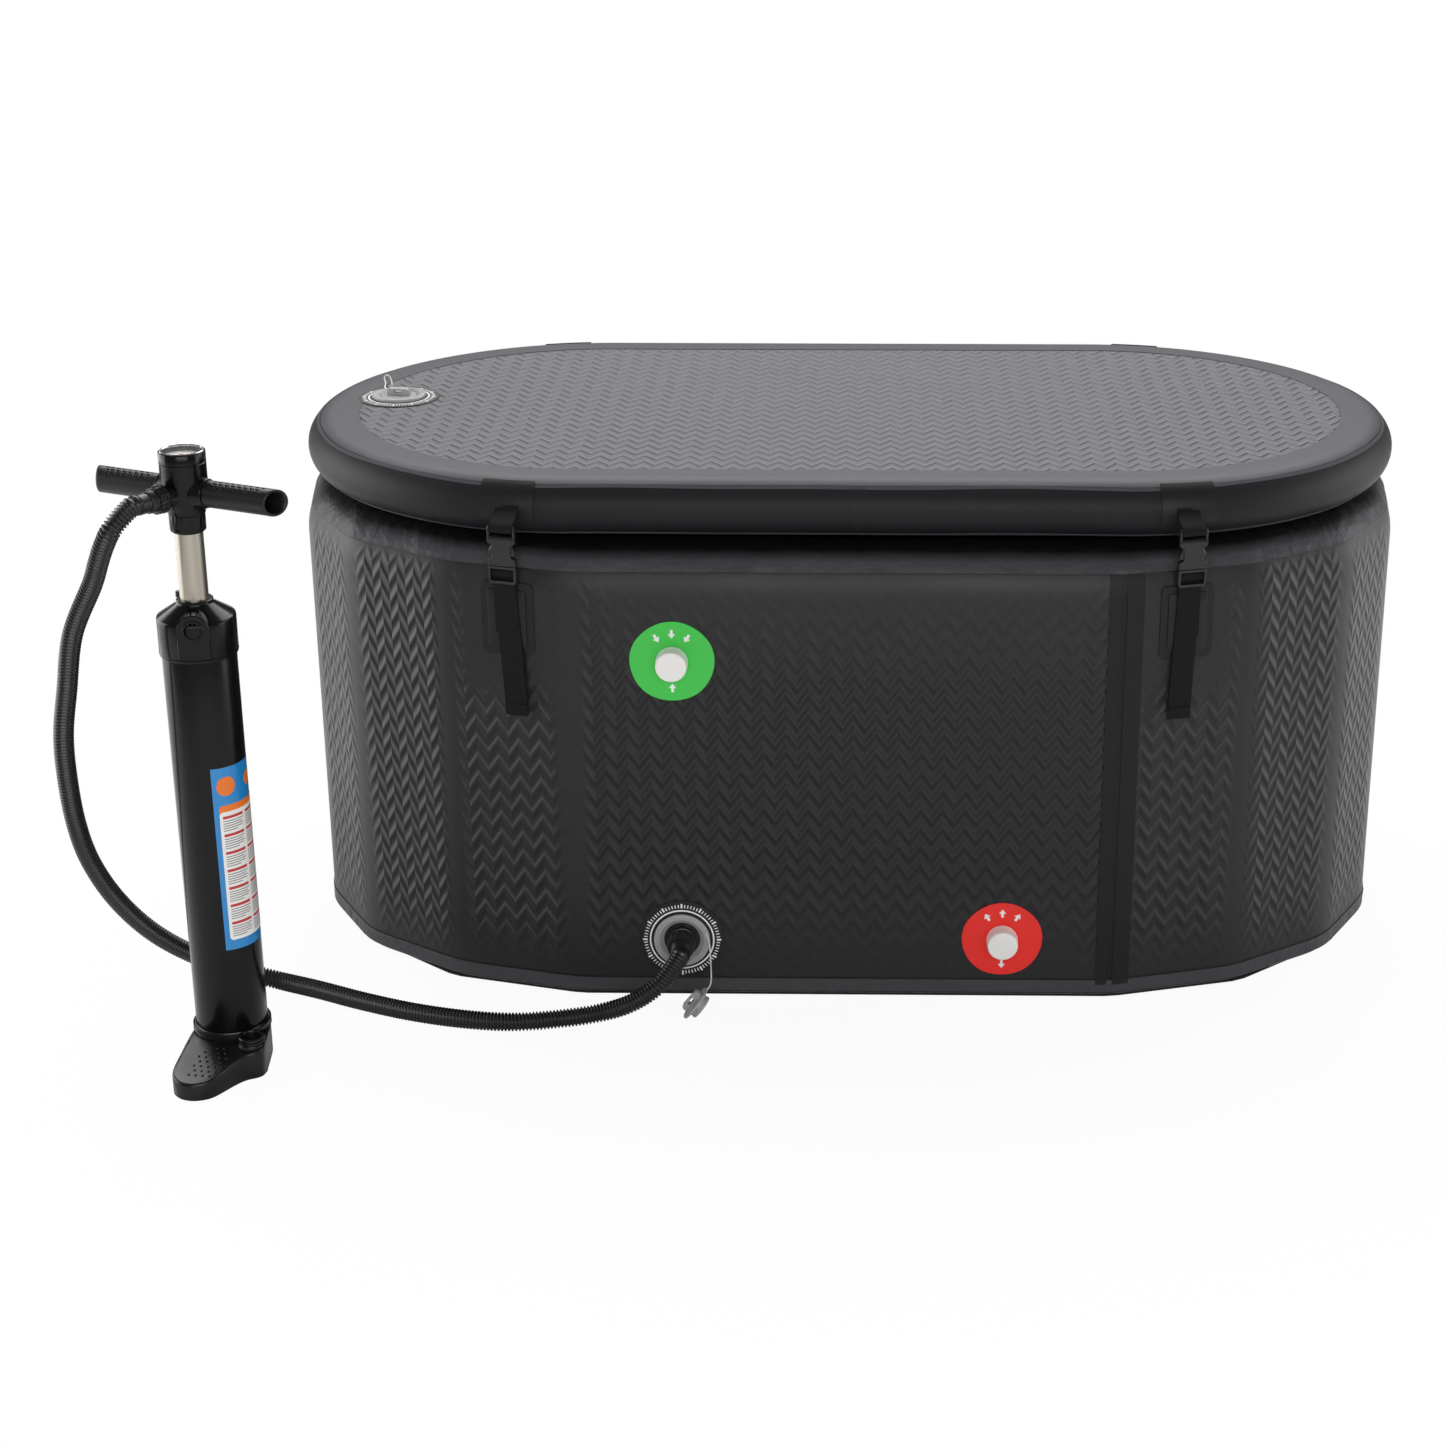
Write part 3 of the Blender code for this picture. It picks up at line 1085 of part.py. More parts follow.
def boss_matrices():
    """Places of the two pin bosses, to the right of each toe."""
    places = []
    for half_turn in (0, pi):
        angle = TOE_ANGLE + BOSS_ANGLE + half_turn
        places.append(Matrix.Translation((BOSS_REACH * cos(angle), BOSS_REACH * sin(angle), 0)))
    return places


def make_pump_base():
    """Foot with two toes and pin heads, barrel, barrel cap with its intake, and the mode plug."""
    socket = BARREL_RADIUS + GAP
    foot = add("pump_foot", rod(FOOT_RADIUS, 0, FOOT_TOP, FINE_SIDES), GLOSSY_BLACK, PUMP_FRAME)
    toes = [(toe_shape(), Matrix.Rotation(TOE_ANGLE + turn, 4, "Z")) for turn in (0, pi)]
    combine(foot, "foot_front_toe", merged(toes[:1]), "UNION")
    combine(foot, "foot_rear_toe", merged(toes[1:]), "UNION")
    combine(foot, "foot_bosses", merged([(rod(BOSS_RADIUS, GAP, BOSS_TOP), m) for m in boss_matrices()]), "UNION")
    combine(foot, "foot_socket", rod(socket, FOOT_FLOOR, FOOT_TOP + OVERRUN, FINE_SIDES))
    pins = [(rod(PIN_HEAD_RADIUS, BOSS_TOP - PIN_HEAD_HEIGHT, BOSS_TOP + PIN_HEAD_HEIGHT, SMALL_SIDES), m)
            for m in boss_matrices()]
    combine(foot, "foot_pin_heads", merged(pins), "UNION")
    add("pump_barrel", tube(BARREL_RADIUS, BARREL_BORE, FOOT_FLOOR + GAP, BARREL_TOP, FINE_SIDES), GLOSSY_BLACK,
        PUMP_FRAME)

    bore_radius = ROD_RADIUS + ROD_CLEARANCE
    section = [(socket, CAP_LOW), (CAP_RADIUS - CAP_LIP / 2, CAP_LOW), (CAP_RADIUS, CAP_LOW + CAP_LIP),
               (CAP_RADIUS, CAP_SHOULDER), (GLAND_RADIUS, CAP_CONE_TOP), (GLAND_RADIUS, CAP_TOP),
               (bore_radius, CAP_TOP), (bore_radius, BARREL_TOP + GAP), (socket, BARREL_TOP + GAP)]
    cap = add("pump_cap", turned(section, FINE_SIDES, ring=True), GLOSSY_BLACK, PUMP_FRAME)
    arch = (arc((0, INTAKE_HEIGHT), INTAKE_HALF_WIDTH, 0, pi, 8)
            + [(-INTAKE_HALF_WIDTH, INTAKE_HEIGHT - INTAKE_FOOT_DROP),
               (INTAKE_HALF_WIDTH, INTAKE_HEIGHT - INTAKE_FOOT_DROP)])
    outward = Matrix.Rotation(INTAKE_ANGLE + pi / 2, 4, "Z")
    inner = max(INTAKE_INNER, BARREL_RADIUS + GAP)
    combine(cap, "intake_boss", merged([(prism(arch, inner, INTAKE_REACH, facing), outward)]), "UNION")
    hole = prism(outline_circle(INTAKE_HOLE_RADIUS, SMALL_SIDES), INTAKE_REACH - INTAKE_HOLE_DEPTH,
                 INTAKE_REACH + OVERRUN, lambda a, b, push: facing(a, b + INTAKE_HEIGHT, push))
    combine(cap, "intake_hole", merged([(hole, outward)]))
    plug_place = (MODE_PLUG_DISTANCE * cos(MODE_PLUG_ANGLE), MODE_PLUG_DISTANCE * sin(MODE_PLUG_ANGLE), 0)
    plug_bore = rod(MODE_PLUG_STEM_RADIUS + GAP, MODE_PLUG_LOW - GAP, MODE_PLUG_TOP, SMALL_SIDES)
    combine(cap, "mode_plug_bore", merged([(plug_bore, Matrix.Translation(plug_place))]))
    stem = [(MODE_PLUG_STEM_RADIUS, MODE_PLUG_LOW), (MODE_PLUG_STEM_RADIUS, MODE_PLUG_HEAD_LOW),
            (MODE_PLUG_RADIUS, MODE_PLUG_HEAD_LOW), (MODE_PLUG_RADIUS, MODE_PLUG_TOP)]
    add("mode_plug", turned(stem, SMALL_SIDES), SATIN_BLACK, PUMP_FRAME, plug_place)


def make_pump_handle():
    """Rod, piston and its seal, collar, head with the gauge, grips and hose nut."""
    add("pump_rod", tube(ROD_RADIUS, ROD_RADIUS - ROD_WALL, PISTON_TOP + GAP, ROD_TOP), SILVER, PUMP_FRAME)
    groove_low = PISTON_LOW + SEAL_GROOVE_LOW
    groove_high = groove_low + SEAL_GROOVE_HEIGHT
    groove = PISTON_RADIUS - SEAL_GROOVE_DEPTH
    add("pump_piston", turned([(PISTON_RADIUS, PISTON_LOW), (PISTON_RADIUS, groove_low), (groove, groove_low),
                               (groove, groove_high), (PISTON_RADIUS, groove_high), (PISTON_RADIUS, PISTON_TOP)],
                              FINE_SIDES), SATIN_BLACK, PUMP_FRAME)
    add("piston_seal", tube(BARREL_BORE - GAP, groove + GAP, groove_low + GAP, groove_high - GAP, FINE_SIDES),
        RUBBER, PUMP_FRAME)
    add("rod_collar", tube(COLLAR_RADIUS, ROD_RADIUS + ROD_CLEARANCE, COLLAR_LOW, COLLAR_LOW + COLLAR_HEIGHT),
        GLOSSY_BLACK, PUMP_FRAME)

    head = add("pump_head", rod(HEAD_RADIUS, HEAD_LOW, HEAD_TOP, FINE_SIDES), GLOSSY_BLACK, HANDLE_FRAME)
    along = Matrix.Translation((0, 0, HANDLE_HEIGHT)) @ Matrix.Rotation(pi / 2, 4, "Y")
    to_port = (Matrix.Rotation(PORT_ANGLE - HANDLE_ANGLE, 4, "Z") @ Matrix.Translation((0, 0, PORT_HEIGHT))
               @ Matrix.Rotation(pi / 2, 4, "Y"))
    cross = rod(GRIP_SOCKET_RADIUS, -GRIP_SOCKET_REACH, GRIP_SOCKET_REACH)
    combine(head, "grip_sockets", merged([(cross, along)]), "UNION")
    combine(head, "hose_port", merged([(rod(PORT_RADIUS, 0, PORT_REACH), to_port)]), "UNION")
    combine(head, "gauge_recess", rod(GAUGE_RADIUS + GAP, GAUGE_FLOOR, HEAD_TOP + OVERRUN, FINE_SIDES))
    combine(head, "rod_socket", rod(ROD_RADIUS + ROD_CLEARANCE, HEAD_LOW - OVERRUN, ROD_TOP + GAP))
    for name, turn in (("right_grip", 0), ("left_grip", pi)):
        grip = tube(GRIP_RADIUS, GRIP_RADIUS - GRIP_WALL, GRIP_SOCKET_REACH + GAP, GRIP_REACH)
        add(name, merged([(grip, Matrix.Rotation(turn, 4, "Z") @ along)]), SATIN_BLACK, HANDLE_FRAME)

    dial_low = GAUGE_FLOOR + GAP
    dial_top = dial_low + DIAL_THICKNESS
    add("gauge_dial", rod(GAUGE_RADIUS, dial_low, dial_top, FINE_SIDES), DIAL_WHITE, PUMP_FRAME)
    needle_low = dial_top + GAP
    hub = NEEDLE_HUB_RADIUS
    pointer = [(-NEEDLE_TAIL, -NEEDLE_HALF_WIDTH), (-hub, -hub), (0, -hub), (hub, -NEEDLE_HALF_WIDTH),
               (NEEDLE_LENGTH, 0), (hub, NEEDLE_HALF_WIDTH), (0, hub), (-hub, hub), (-NEEDLE_TAIL, NEEDLE_HALF_WIDTH)]
    add("gauge_needle", prism(pointer, needle_low, needle_low + NEEDLE_THICKNESS, lying), NEEDLE_RED, PUMP_FRAME)
    lens_high = HEAD_TOP - LENS_DROP
    add("gauge_lens", rod(GAUGE_RADIUS, lens_high - LENS_THICKNESS, lens_high, FINE_SIDES), CLEAR, PUMP_FRAME)

    start = NUT_START
    counterbore = PORT_REACH + GAP
    bore = HOSE_BORE_RADIUS
    nut = [(PORT_RADIUS + GAP, start), (HOSE_NUT_RADIUS, start), (HOSE_NUT_RADIUS, NUT_END), (SLEEVE_RADIUS, NUT_END),
           (SLEEVE_RADIUS, SLEEVE_END), (bore, SLEEVE_END), (bore, counterbore), (PORT_RADIUS + GAP, counterbore)]
    add("hose_nut", merged([(turned(nut, ring=True), to_port)]), SATIN_BLACK, HANDLE_FRAME)


def make_hose():
    """Ribbed hose from the pump's head to the bath's valve, with its nozzle."""
    plug_top = FLANGE_TOP + NOZZLE_LIP
    bore = HOSE_BORE_RADIUS
    snug = VALVE_THROAT_RADIUS - GAP
    nozzle = [(bore, -NOZZLE_PLUG_DEPTH), (snug, -NOZZLE_PLUG_DEPTH), (snug, VALVE_THROAT_TOP),
              (NOZZLE_RADIUS, VALVE_THROAT_TOP), (NOZZLE_RADIUS, plug_top),
              (SLEEVE_RADIUS, plug_top), (SLEEVE_RADIUS, NOZZLE_SLEEVE_END), (bore, NOZZLE_SLEEVE_END)]
    add("hose_nozzle", turned(nozzle, ring=True), SATIN_BLACK, VALVE_FRAME)

    head = Vector((PUMP_X, PUMP_Y, PORT_HEIGHT)) + PORT_DIRECTION * (SLEEVE_END + GAP)
    valve = Vector((AIR_VALVE_X, -WALL_RADIUS - NOZZLE_SLEEVE_END - GAP, AIR_VALVE_Z))
    out = Vector((0, -1, 0))
    leads = (0, HOSE_LEAD / 2, HOSE_LEAD)
    points = ([head + PORT_DIRECTION * lead for lead in leads] + [Vector(point) for point in HOSE_ROUTE]
              + [valve + out * lead for lead in reversed(leads)])
    route = smooth_route(points, sum((b - a).length for a, b in zip(points, points[1:])) / (2 * HOSE_RIBS))
    radii = [HOSE_CREST_RADIUS if k % 2 else HOSE_VALLEY_RADIUS for k in range(len(route))]
    hose = add("pump_hose", curve_mesh("hose_skin", route, radii, 1), HOSE_BLACK)
    core = route[::2] if (len(route) - 1) % 2 == 0 else route[::2] + [route[-1]]
    core = ([core[0] - PORT_DIRECTION * OVERRUN] + core + [core[-1] - out * OVERRUN])
    combine(hose, "hose_bore", curve_mesh("hose_core", core, [bore] * len(core), 1))


make_tub()
make_lid()
make_straps()
make_valves()
make_water_fittings()
make_pump_base()
make_pump_handle()
make_hose()
bpy.context.view_layer.update()
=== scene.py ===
# %% [markdown]
# # Inflatable bath with a lid and a hand pump
# The measured model is loaded first and never moved. Every piece below is built around it, in metres, with
# +Z up and the front of the bath towards -Y.

# %% Load the measured model
from math import cos, pi, radians, sin

import bmesh
import bpy
import numpy as np
from mathutils import Matrix, Vector


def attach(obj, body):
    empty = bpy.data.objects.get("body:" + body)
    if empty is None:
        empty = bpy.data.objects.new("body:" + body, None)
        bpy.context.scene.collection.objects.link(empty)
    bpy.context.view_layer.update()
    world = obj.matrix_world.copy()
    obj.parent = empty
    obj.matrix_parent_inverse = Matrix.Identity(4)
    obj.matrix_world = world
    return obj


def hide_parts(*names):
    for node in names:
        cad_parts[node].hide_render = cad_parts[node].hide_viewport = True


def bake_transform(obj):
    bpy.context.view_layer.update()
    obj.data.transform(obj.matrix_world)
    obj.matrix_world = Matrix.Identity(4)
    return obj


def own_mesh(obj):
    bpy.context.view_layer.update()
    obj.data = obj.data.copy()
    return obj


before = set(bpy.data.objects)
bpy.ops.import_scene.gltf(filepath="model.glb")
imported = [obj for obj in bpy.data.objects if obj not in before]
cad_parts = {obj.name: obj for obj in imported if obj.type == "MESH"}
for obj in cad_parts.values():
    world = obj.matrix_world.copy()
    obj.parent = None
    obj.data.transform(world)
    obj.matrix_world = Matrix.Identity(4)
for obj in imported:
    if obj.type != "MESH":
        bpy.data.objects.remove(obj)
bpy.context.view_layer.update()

# %% [markdown]
# ## Camera
# A camera is a place, two turns and a lens. The bath was seen from a little above and far in front, so the
# lens is a long one and the frame is shifted sideways, which keeps upright edges upright.

# %% Camera
camera = bpy.data.objects.new("camera", bpy.data.cameras.new("camera"))
bpy.context.scene.collection.objects.link(camera)
bpy.context.scene.camera = camera
camera.location = (0.0204, -3.4159, 1.5523)
camera.rotation_euler = (radians(68.502), 0, radians(0.819))
camera.data.lens = 67.815
camera.data.sensor_width = 36
camera.data.shift_x = -0.0724
print("camera lens", camera.data.lens, "mm")

# %% [markdown]
# ## Colours and nodes
# Colours are picked as sRGB hex values, as in a paint program, but a renderer adds light in linear values.
# One function turns the first into the second. A second one adds a shader node, so that a material reads as
# a short list.

# %% Colour and node helpers


def linear(code):
    """An sRGB hex colour as linear red, green, blue and alpha: each channel's power curve is undone."""
    value = np.array([int(code[k:k + 2], 16) for k in (1, 3, 5)]) / 255
    value = np.where(value <= 0.04045, value / 12.92, ((value + 0.055) / 1.055) ** 2.4)
    return (*value.tolist(), 1.0)


def add_node(tree, kind, inputs=None, **settings):
    """One shader node: settings are its properties, and inputs are its sockets, as values or as links."""
    node = tree.nodes.new("ShaderNode" + kind)
    for name, value in settings.items():
        setattr(node, name, value)
    for name, value in (inputs or {}).items():
        if isinstance(value, bpy.types.NodeSocket):
            tree.links.new(value, node.inputs[name])
        else:
            node.inputs[name].default_value = value
    return node


def new_finish(name, colour, roughness, **sockets):
    """A material with its shader: the colour is a hex value, and the other sockets are given by name."""
    finish = bpy.data.materials.new(name)
    finish.use_nodes = True
    tree = finish.node_tree
    shader = tree.nodes["Principled BSDF"]
    shader.inputs["Base Color"].default_value = linear(colour)
    shader.inputs["Roughness"].default_value = roughness
    for socket, value in sockets.items():
        shader.inputs[socket.replace("_", " ")].default_value = value
    return finish, tree, shader


def grained(name, colour, roughness, scale, depth, **sockets):
    """A material of one colour with a grain: noise with a scale per metre, as a bump with a depth in
    metres."""
    finish, tree, shader = new_finish(name, colour, roughness, **sockets)
    place = add_node(tree, "TexCoord")
    noise = add_node(tree, "TexNoise", {"Vector": place.outputs["Object"], "Scale": scale, "Detail": 3.0})
    bump = add_node(tree, "Bump", {"Height": noise.outputs["Fac"], "Distance": depth})
    tree.links.new(bump.outputs["Normal"], shader.inputs["Normal"])
    return finish


print("mid grey in linear light:", round(linear("#808080")[0], 4))

# %% [markdown]
# ## Surfaces from two parameters
# Nearly every piece here is a grid of points: one parameter goes round or across, the other one along.
# numpy works out the whole grid at once. The faces then join each point to its neighbours, and the face
# corners get UVs in metres, so that a pattern on them keeps its real size.

# %% Mesh helpers


def skin(points, uv=None, close_rows=False, close_columns=True):
    """A grid of points as points, faces and UVs. The UVs are the lengths walked along the grid, in metres."""
    rows, columns = points.shape[:2]
    full = np.concatenate([points, points[:1]]) if close_rows else points
    full = np.concatenate([full, full[:, :1]], axis=1) if close_columns else full
    if uv is None:
        across = np.linalg.norm(np.diff(full, axis=1), axis=2).max(axis=0)
        along = np.linalg.norm(np.diff(full, axis=0), axis=2).mean(axis=1)
        uv = np.stack(np.meshgrid(np.append(0, np.cumsum(across)), np.append(0, np.cumsum(along))), -1)
    r, c = np.meshgrid(np.arange(full.shape[0] - 1), np.arange(full.shape[1] - 1), indexing="ij")
    corners = ((r, c), (r, c + 1), (r + 1, c + 1), (r + 1, c))
    faces = np.stack([(a % rows) * columns + b % columns for a, b in corners], -1).reshape(-1, 4)
    corner_uv = np.stack([uv[a, b] for a, b in corners], -2).reshape(-1, 2)
    return points.reshape(-1, 3), faces, corner_uv


def placed(shape, matrix):
    """A shape moved by a matrix: each point is turned and then shifted."""
    turn = np.array(matrix.to_3x3())
    return shape[0] @ turn.T + np.array(matrix.translation), shape[1], shape[2]


def mirrored(shape):
    """A shape mirrored from left to right, with its faces turned round so that they still face outwards."""
    uv = shape[2].reshape(-1, 4, 2)[:, ::-1].reshape(-1, 2)
    return shape[0] * (-1, 1, 1), shape[1][:, ::-1], uv


def at_height(flat, height):
    """Points of a plan, all at one height."""
    return np.column_stack([flat, np.full(len(flat), height)])


def slab(top, under):
    """A thin sheet as a closed shape: the ring goes over the top and back underneath, and both ends shrink
    to the line half way between the two."""
    half = (top + under) / 2
    ends = [np.concatenate([half[k], half[k][::-1]])[None] for k in (0, -1)]
    return skin(np.concatenate([ends[0], np.concatenate([top, under[:, ::-1]], axis=1), ends[1]]))


def make_piece(name, shapes, finish, body, slot, replaces=(), place=None, sharp=35, attributes=None):
    """One object from shapes: moved to their place, joined, doubles merged at seams and poles, and shaded
    smooth up to an angle."""
    shapes = shapes if isinstance(shapes, list) else [shapes]
    if place is not None:
        shapes = [placed(shape, place) for shape in shapes]
    starts = np.cumsum([0] + [len(shape[0]) for shape in shapes[:-1]])
    points = np.concatenate([shape[0] for shape in shapes])
    faces = np.concatenate([shape[1] + start for shape, start in zip(shapes, starts)])
    mesh = bpy.data.meshes.new(name)
    mesh.from_pydata(points, [], faces)
    layer = mesh.uv_layers.new(name="metres")
    layer.data.foreach_set("uv", np.concatenate([shape[2] for shape in shapes]).ravel().astype(np.float32))
    for key, values in (attributes or {}).items():
        mesh.attributes.new(key, "FLOAT", "POINT").data.foreach_set("value",
                                                                    values.ravel().astype(np.float32))
    work = bmesh.new()
    work.from_mesh(mesh)
    bmesh.ops.remove_doubles(work, verts=work.verts, dist=1e-6)
    work.to_mesh(mesh)
    work.free()
    mesh.shade_smooth()
    mesh.set_sharp_from_angle(angle=radians(sharp))
    made = bpy.data.objects.new(name, mesh)
    bpy.context.scene.collection.objects.link(made)
    mesh.materials.append(finish)
    if replaces:
        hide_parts(*replaces)
    if body:
        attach(made, body)
    print(name, len(mesh.vertices), "points")
    return made


def rounded(corners, radius, steps=4, closed=True):
    """A section with eased corners: each corner becomes a curve that mixes the point before it, itself and
    the point after it by the weights (1-t)^2, 2t(1-t) and t^2."""
    p = np.array(corners, float)
    before, after = np.roll(p, 1, axis=0) - p, np.roll(p, -1, axis=0) - p
    reach = np.broadcast_to(np.array(radius, float), len(p))
    near = [side * (np.minimum(reach / np.maximum(size, 1e-9), 0.49))[:, None]
            for side, size in ((before, np.linalg.norm(before, axis=1)),
                               (after, np.linalg.norm(after, axis=1)))]
    t = np.linspace(0, 1, steps + 1)[None, :, None]
    curve = (p + near[0])[:, None] * (1 - t) ** 2 + p[:, None] * 2 * t * (1 - t) + (p + near[1])[:, None] * t ** 2
    if not closed:
        return np.concatenate([p[:1], curve[1:-1].reshape(-1, 2), p[-1:]])
    return curve.reshape(-1, 2)


def turned(profile, sides=64, closed=True, turn=0.0):
    """A section of radius and height turned about Z: x = r cos a, y = r sin a. Its U is the share of a full
    turn, and its V the length along the section in metres."""
    profile = np.asarray(profile, float)
    angle = turn + np.linspace(0, 2 * pi, sides, endpoint=False)
    ring = np.stack([np.cos(angle), np.sin(angle)], -1)
    points = np.concatenate([profile[:, None, :1] * ring,
                             np.broadcast_to(profile[:, None, 1:], (len(profile), sides, 1))], -1)
    full = np.vstack([profile, profile[:1]]) if closed else profile
    along = np.append(0, np.cumsum(np.linalg.norm(np.diff(full, axis=0), axis=1)))
    return skin(points, np.stack(np.meshgrid(np.linspace(0, 1, sides + 1), along), -1), close_rows=closed)


def plate(outline, levels):
    """A plate with an outline, as rows of the outline drawn in by an inset at a height. The first and last
    rows shrink to the middle, which closes the plate."""
    outline = np.asarray(outline, float)
    edge = np.roll(outline, -1, axis=0) - np.roll(outline, 1, axis=0)
    inward = np.stack([-edge[:, 1], edge[:, 0]], -1) / np.maximum(np.linalg.norm(edge, axis=1), 1e-9)[:, None]
    middle = np.broadcast_to(outline.mean(axis=0), outline.shape)
    rows = [outline + inward * inset for inset, _ in levels]
    heights = [height for _, height in levels]
    rows, heights = [middle] + rows + [middle], [heights[0]] + heights + [heights[-1]]
    return skin(np.stack([at_height(row, height) for row, height in zip(rows, heights)]))


def box_outline(half_width, low, high, radius, steps=5):
    """A rectangle with eased corners, anticlockwise."""
    return rounded([(-half_width, low), (half_width, low), (half_width, high), (-half_width, high)], radius, steps)


def smooth_route(points, spacing):
    """Even points on a smooth curve: each span mixes its four nearest points by cubic weights of t, and the
    curve is then cut into equal lengths."""
    p = np.array(points, float)
    p = np.vstack([2 * p[0] - p[1], p, 2 * p[-1] - p[-2]])
    t = np.linspace(0, 1, 24, endpoint=False)[None, :, None]
    p0, p1, p2, p3 = (p[k:len(p) - 3 + k, None] for k in range(4))
    curve = 0.5 * (2 * p1 + (p2 - p0) * t + (2 * p0 - 5 * p1 + 4 * p2 - p3) * t ** 2
                   + (3 * p1 - p0 - 3 * p2 + p3) * t ** 3).reshape(-1, p.shape[1])
    curve = np.vstack([curve, p[-2]])
    walked = np.append(0, np.cumsum(np.linalg.norm(np.diff(curve, axis=0), axis=1)))
    even = np.linspace(0, walked[-1], max(2, round(walked[-1] / spacing)) + 1)
    return np.stack([np.interp(even, walked, curve[:, k]) for k in range(p.shape[1])], -1)


def sweep(route, radii, sides, side_hint):
    """A round tube along a route: each ring lies in the plane of two directions square to the route."""
    ahead = np.gradient(route, axis=0)
    ahead /= np.linalg.norm(ahead, axis=1)[:, None]
    side = np.cross(ahead, np.broadcast_to(np.array(side_hint, float), ahead.shape))
    side /= np.linalg.norm(side, axis=1)[:, None]
    up = np.cross(ahead, side)
    angle = np.linspace(0, 2 * pi, sides, endpoint=False)[None, :, None]
    outward = np.cos(angle) * side[:, None] + np.sin(angle) * up[:, None]
    rings = route[:, None] + outward * np.asarray(radii)[:, None, None]
    ends = [np.broadcast_to(route[k], (1, sides, 3)) for k in (0, -1)]
    return skin(np.concatenate([ends[0], rings, ends[1]]))


print("helpers ready")

# %% [markdown]
# ## The hose
# The pump's hose is a blown polyethylene tube with narrow ribs, which lets it bend without a kink. It could
# be a curve with a bevel, but ribs need a radius that changes every millimetre. So it is a tube of rings,
# four to each rib: two on the crest and two in the valley.

# %% Hose finish
# Satin black polyethylene: dark, with a narrow line of light on every rib.
HOSE_BLACK, hose_tree, hose_shader = new_finish("satin_black_hose_polyethylene", "#19191b", 0.30)
hose_place = add_node(hose_tree, "TexCoord")
hose_dust = add_node(hose_tree, "TexNoise", {"Vector": hose_place.outputs["Object"], "Scale": 60.0,
                                             "Detail": 4.0})
hose_rough = add_node(hose_tree, "MapRange", {"Value": hose_dust.outputs["Fac"], "To Min": 0.26,
                                              "To Max": 0.44})
hose_tree.links.new(hose_rough.outputs["Result"], hose_shader.inputs["Roughness"])

# %% Hose
PUMP_X, PUMP_Y = -0.725, -0.555
PORT_ANGLE = radians(-125)
PORT_Z = 0.694
WALL_RADIUS = 0.400
AIR_VALVE = Vector((-0.201, -WALL_RADIUS, 0.077))
HOSE_CREST, HOSE_VALLEY, HOSE_CUFF = 0.0116, 0.0093, 0.0112
RIB_PITCH = 0.0042
port_way = np.array([cos(PORT_ANGLE), sin(PORT_ANGLE), 0])
hose_head = np.array([PUMP_X, PUMP_Y, PORT_Z]) + port_way * 0.0553
hose_foot = np.array(AIR_VALVE) + (0, -0.0303, 0)
leads = np.array([0, 0.01125, 0.0225])[:, None]
HOSE_ROUTE = (
    (-0.7862, -0.6350, 0.6760), (-0.7975, -0.6330, 0.6565), (-0.8075, -0.6275, 0.6340),
    (-0.8190, -0.6190, 0.6070), (-0.850, -0.606, 0.545), (-0.867, -0.593, 0.475), (-0.880, -0.582, 0.415),
    (-0.886, -0.566, 0.354), (-0.888, -0.545, 0.289), (-0.884, -0.519, 0.230), (-0.868, -0.488, 0.168),
    (-0.840, -0.457, 0.112), (-0.803, -0.425, 0.066), (-0.757, -0.399, 0.032), (-0.706, -0.395, 0.0145),
    (-0.650, -0.416, 0.0120), (-0.590, -0.446, 0.0120), (-0.525, -0.473, 0.0120), (-0.459, -0.491, 0.0120),
    (-0.400, -0.497, 0.0120), (-0.345, -0.489, 0.0125), (-0.298, -0.480, 0.0160), (-0.258, -0.480, 0.0300),
    (-0.224, -0.475, 0.0530),)
hose_line = smooth_route(np.vstack([hose_head + port_way * leads, HOSE_ROUTE,
                                    hose_foot + np.array([0, -1, 0]) * leads[::-1]]), RIB_PITCH / 4)
ring = np.arange(len(hose_line))
hose_radii = np.where(ring % 4 < 2, HOSE_CREST, HOSE_VALLEY)
hose_radii[ring * RIB_PITCH / 4 < 0.016] = HOSE_CUFF
hose = make_piece("ribbed_hose", sweep(hose_line, hose_radii, 12, (-0.3, 0.9, 0.3)), HOSE_BLACK, None, "hose",
                  ("pump_hose",), sharp=80)
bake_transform(hose)

# %% [markdown]
# ## The cap tethers
# Each valve cap hangs on a thin soft cord, a smooth tube less than two millimetres thick. Its points are listed one
# by one: one tether runs from the valve down to the loose cap, the other one curls up beside the closed cap.

# %% Tethers
# Soft vinyl cord: off-white and dull, with a skin that is not quite even.
TETHER_WHITE = grained("white_soft_vinyl_cord", "#e4e4e1", 0.5, 900.0, 0.0001)
TETHER_DIAMETER = 0.0016
LID_TOP = 0.6462
LID_VALVE = Vector((-0.587, 0.033, LID_TOP))
cap_turn = Matrix.Rotation(radians(-6), 4, "Z") @ Matrix.Rotation(radians(-52), 4, "Y")
CAP_RADIUS, CAP_PLUG_RADIUS, CAP_PLUG_HEIGHT, CAP_DISC = 0.0225, 0.0150, 0.0085, 0.003
cap_edge = np.linspace(0, 2 * pi, 20, endpoint=False)
cap_lows = [(cap_turn @ Vector((r * cos(a), r * sin(a), z))).z
            for r, z in ((CAP_RADIUS, 0), (CAP_PLUG_RADIUS, -CAP_PLUG_HEIGHT)) for a in cap_edge]
LOOSE_CAP = Matrix.Translation((-0.181, -0.458, 0.0003 - min(cap_lows))) @ cap_turn
air_route = np.array([(-0.1710, -0.4067, 0.0875), (-0.1672, -0.4125, 0.0790), (-0.1655, -0.4205, 0.0670),
                      (-0.1645, -0.4300, 0.0560), (-0.1635, -0.4400, 0.0470), (-0.1640, -0.4510, 0.0410),
                      LOOSE_CAP @ Vector((CAP_RADIUS + 0.0011, 0, CAP_DISC / 2))])
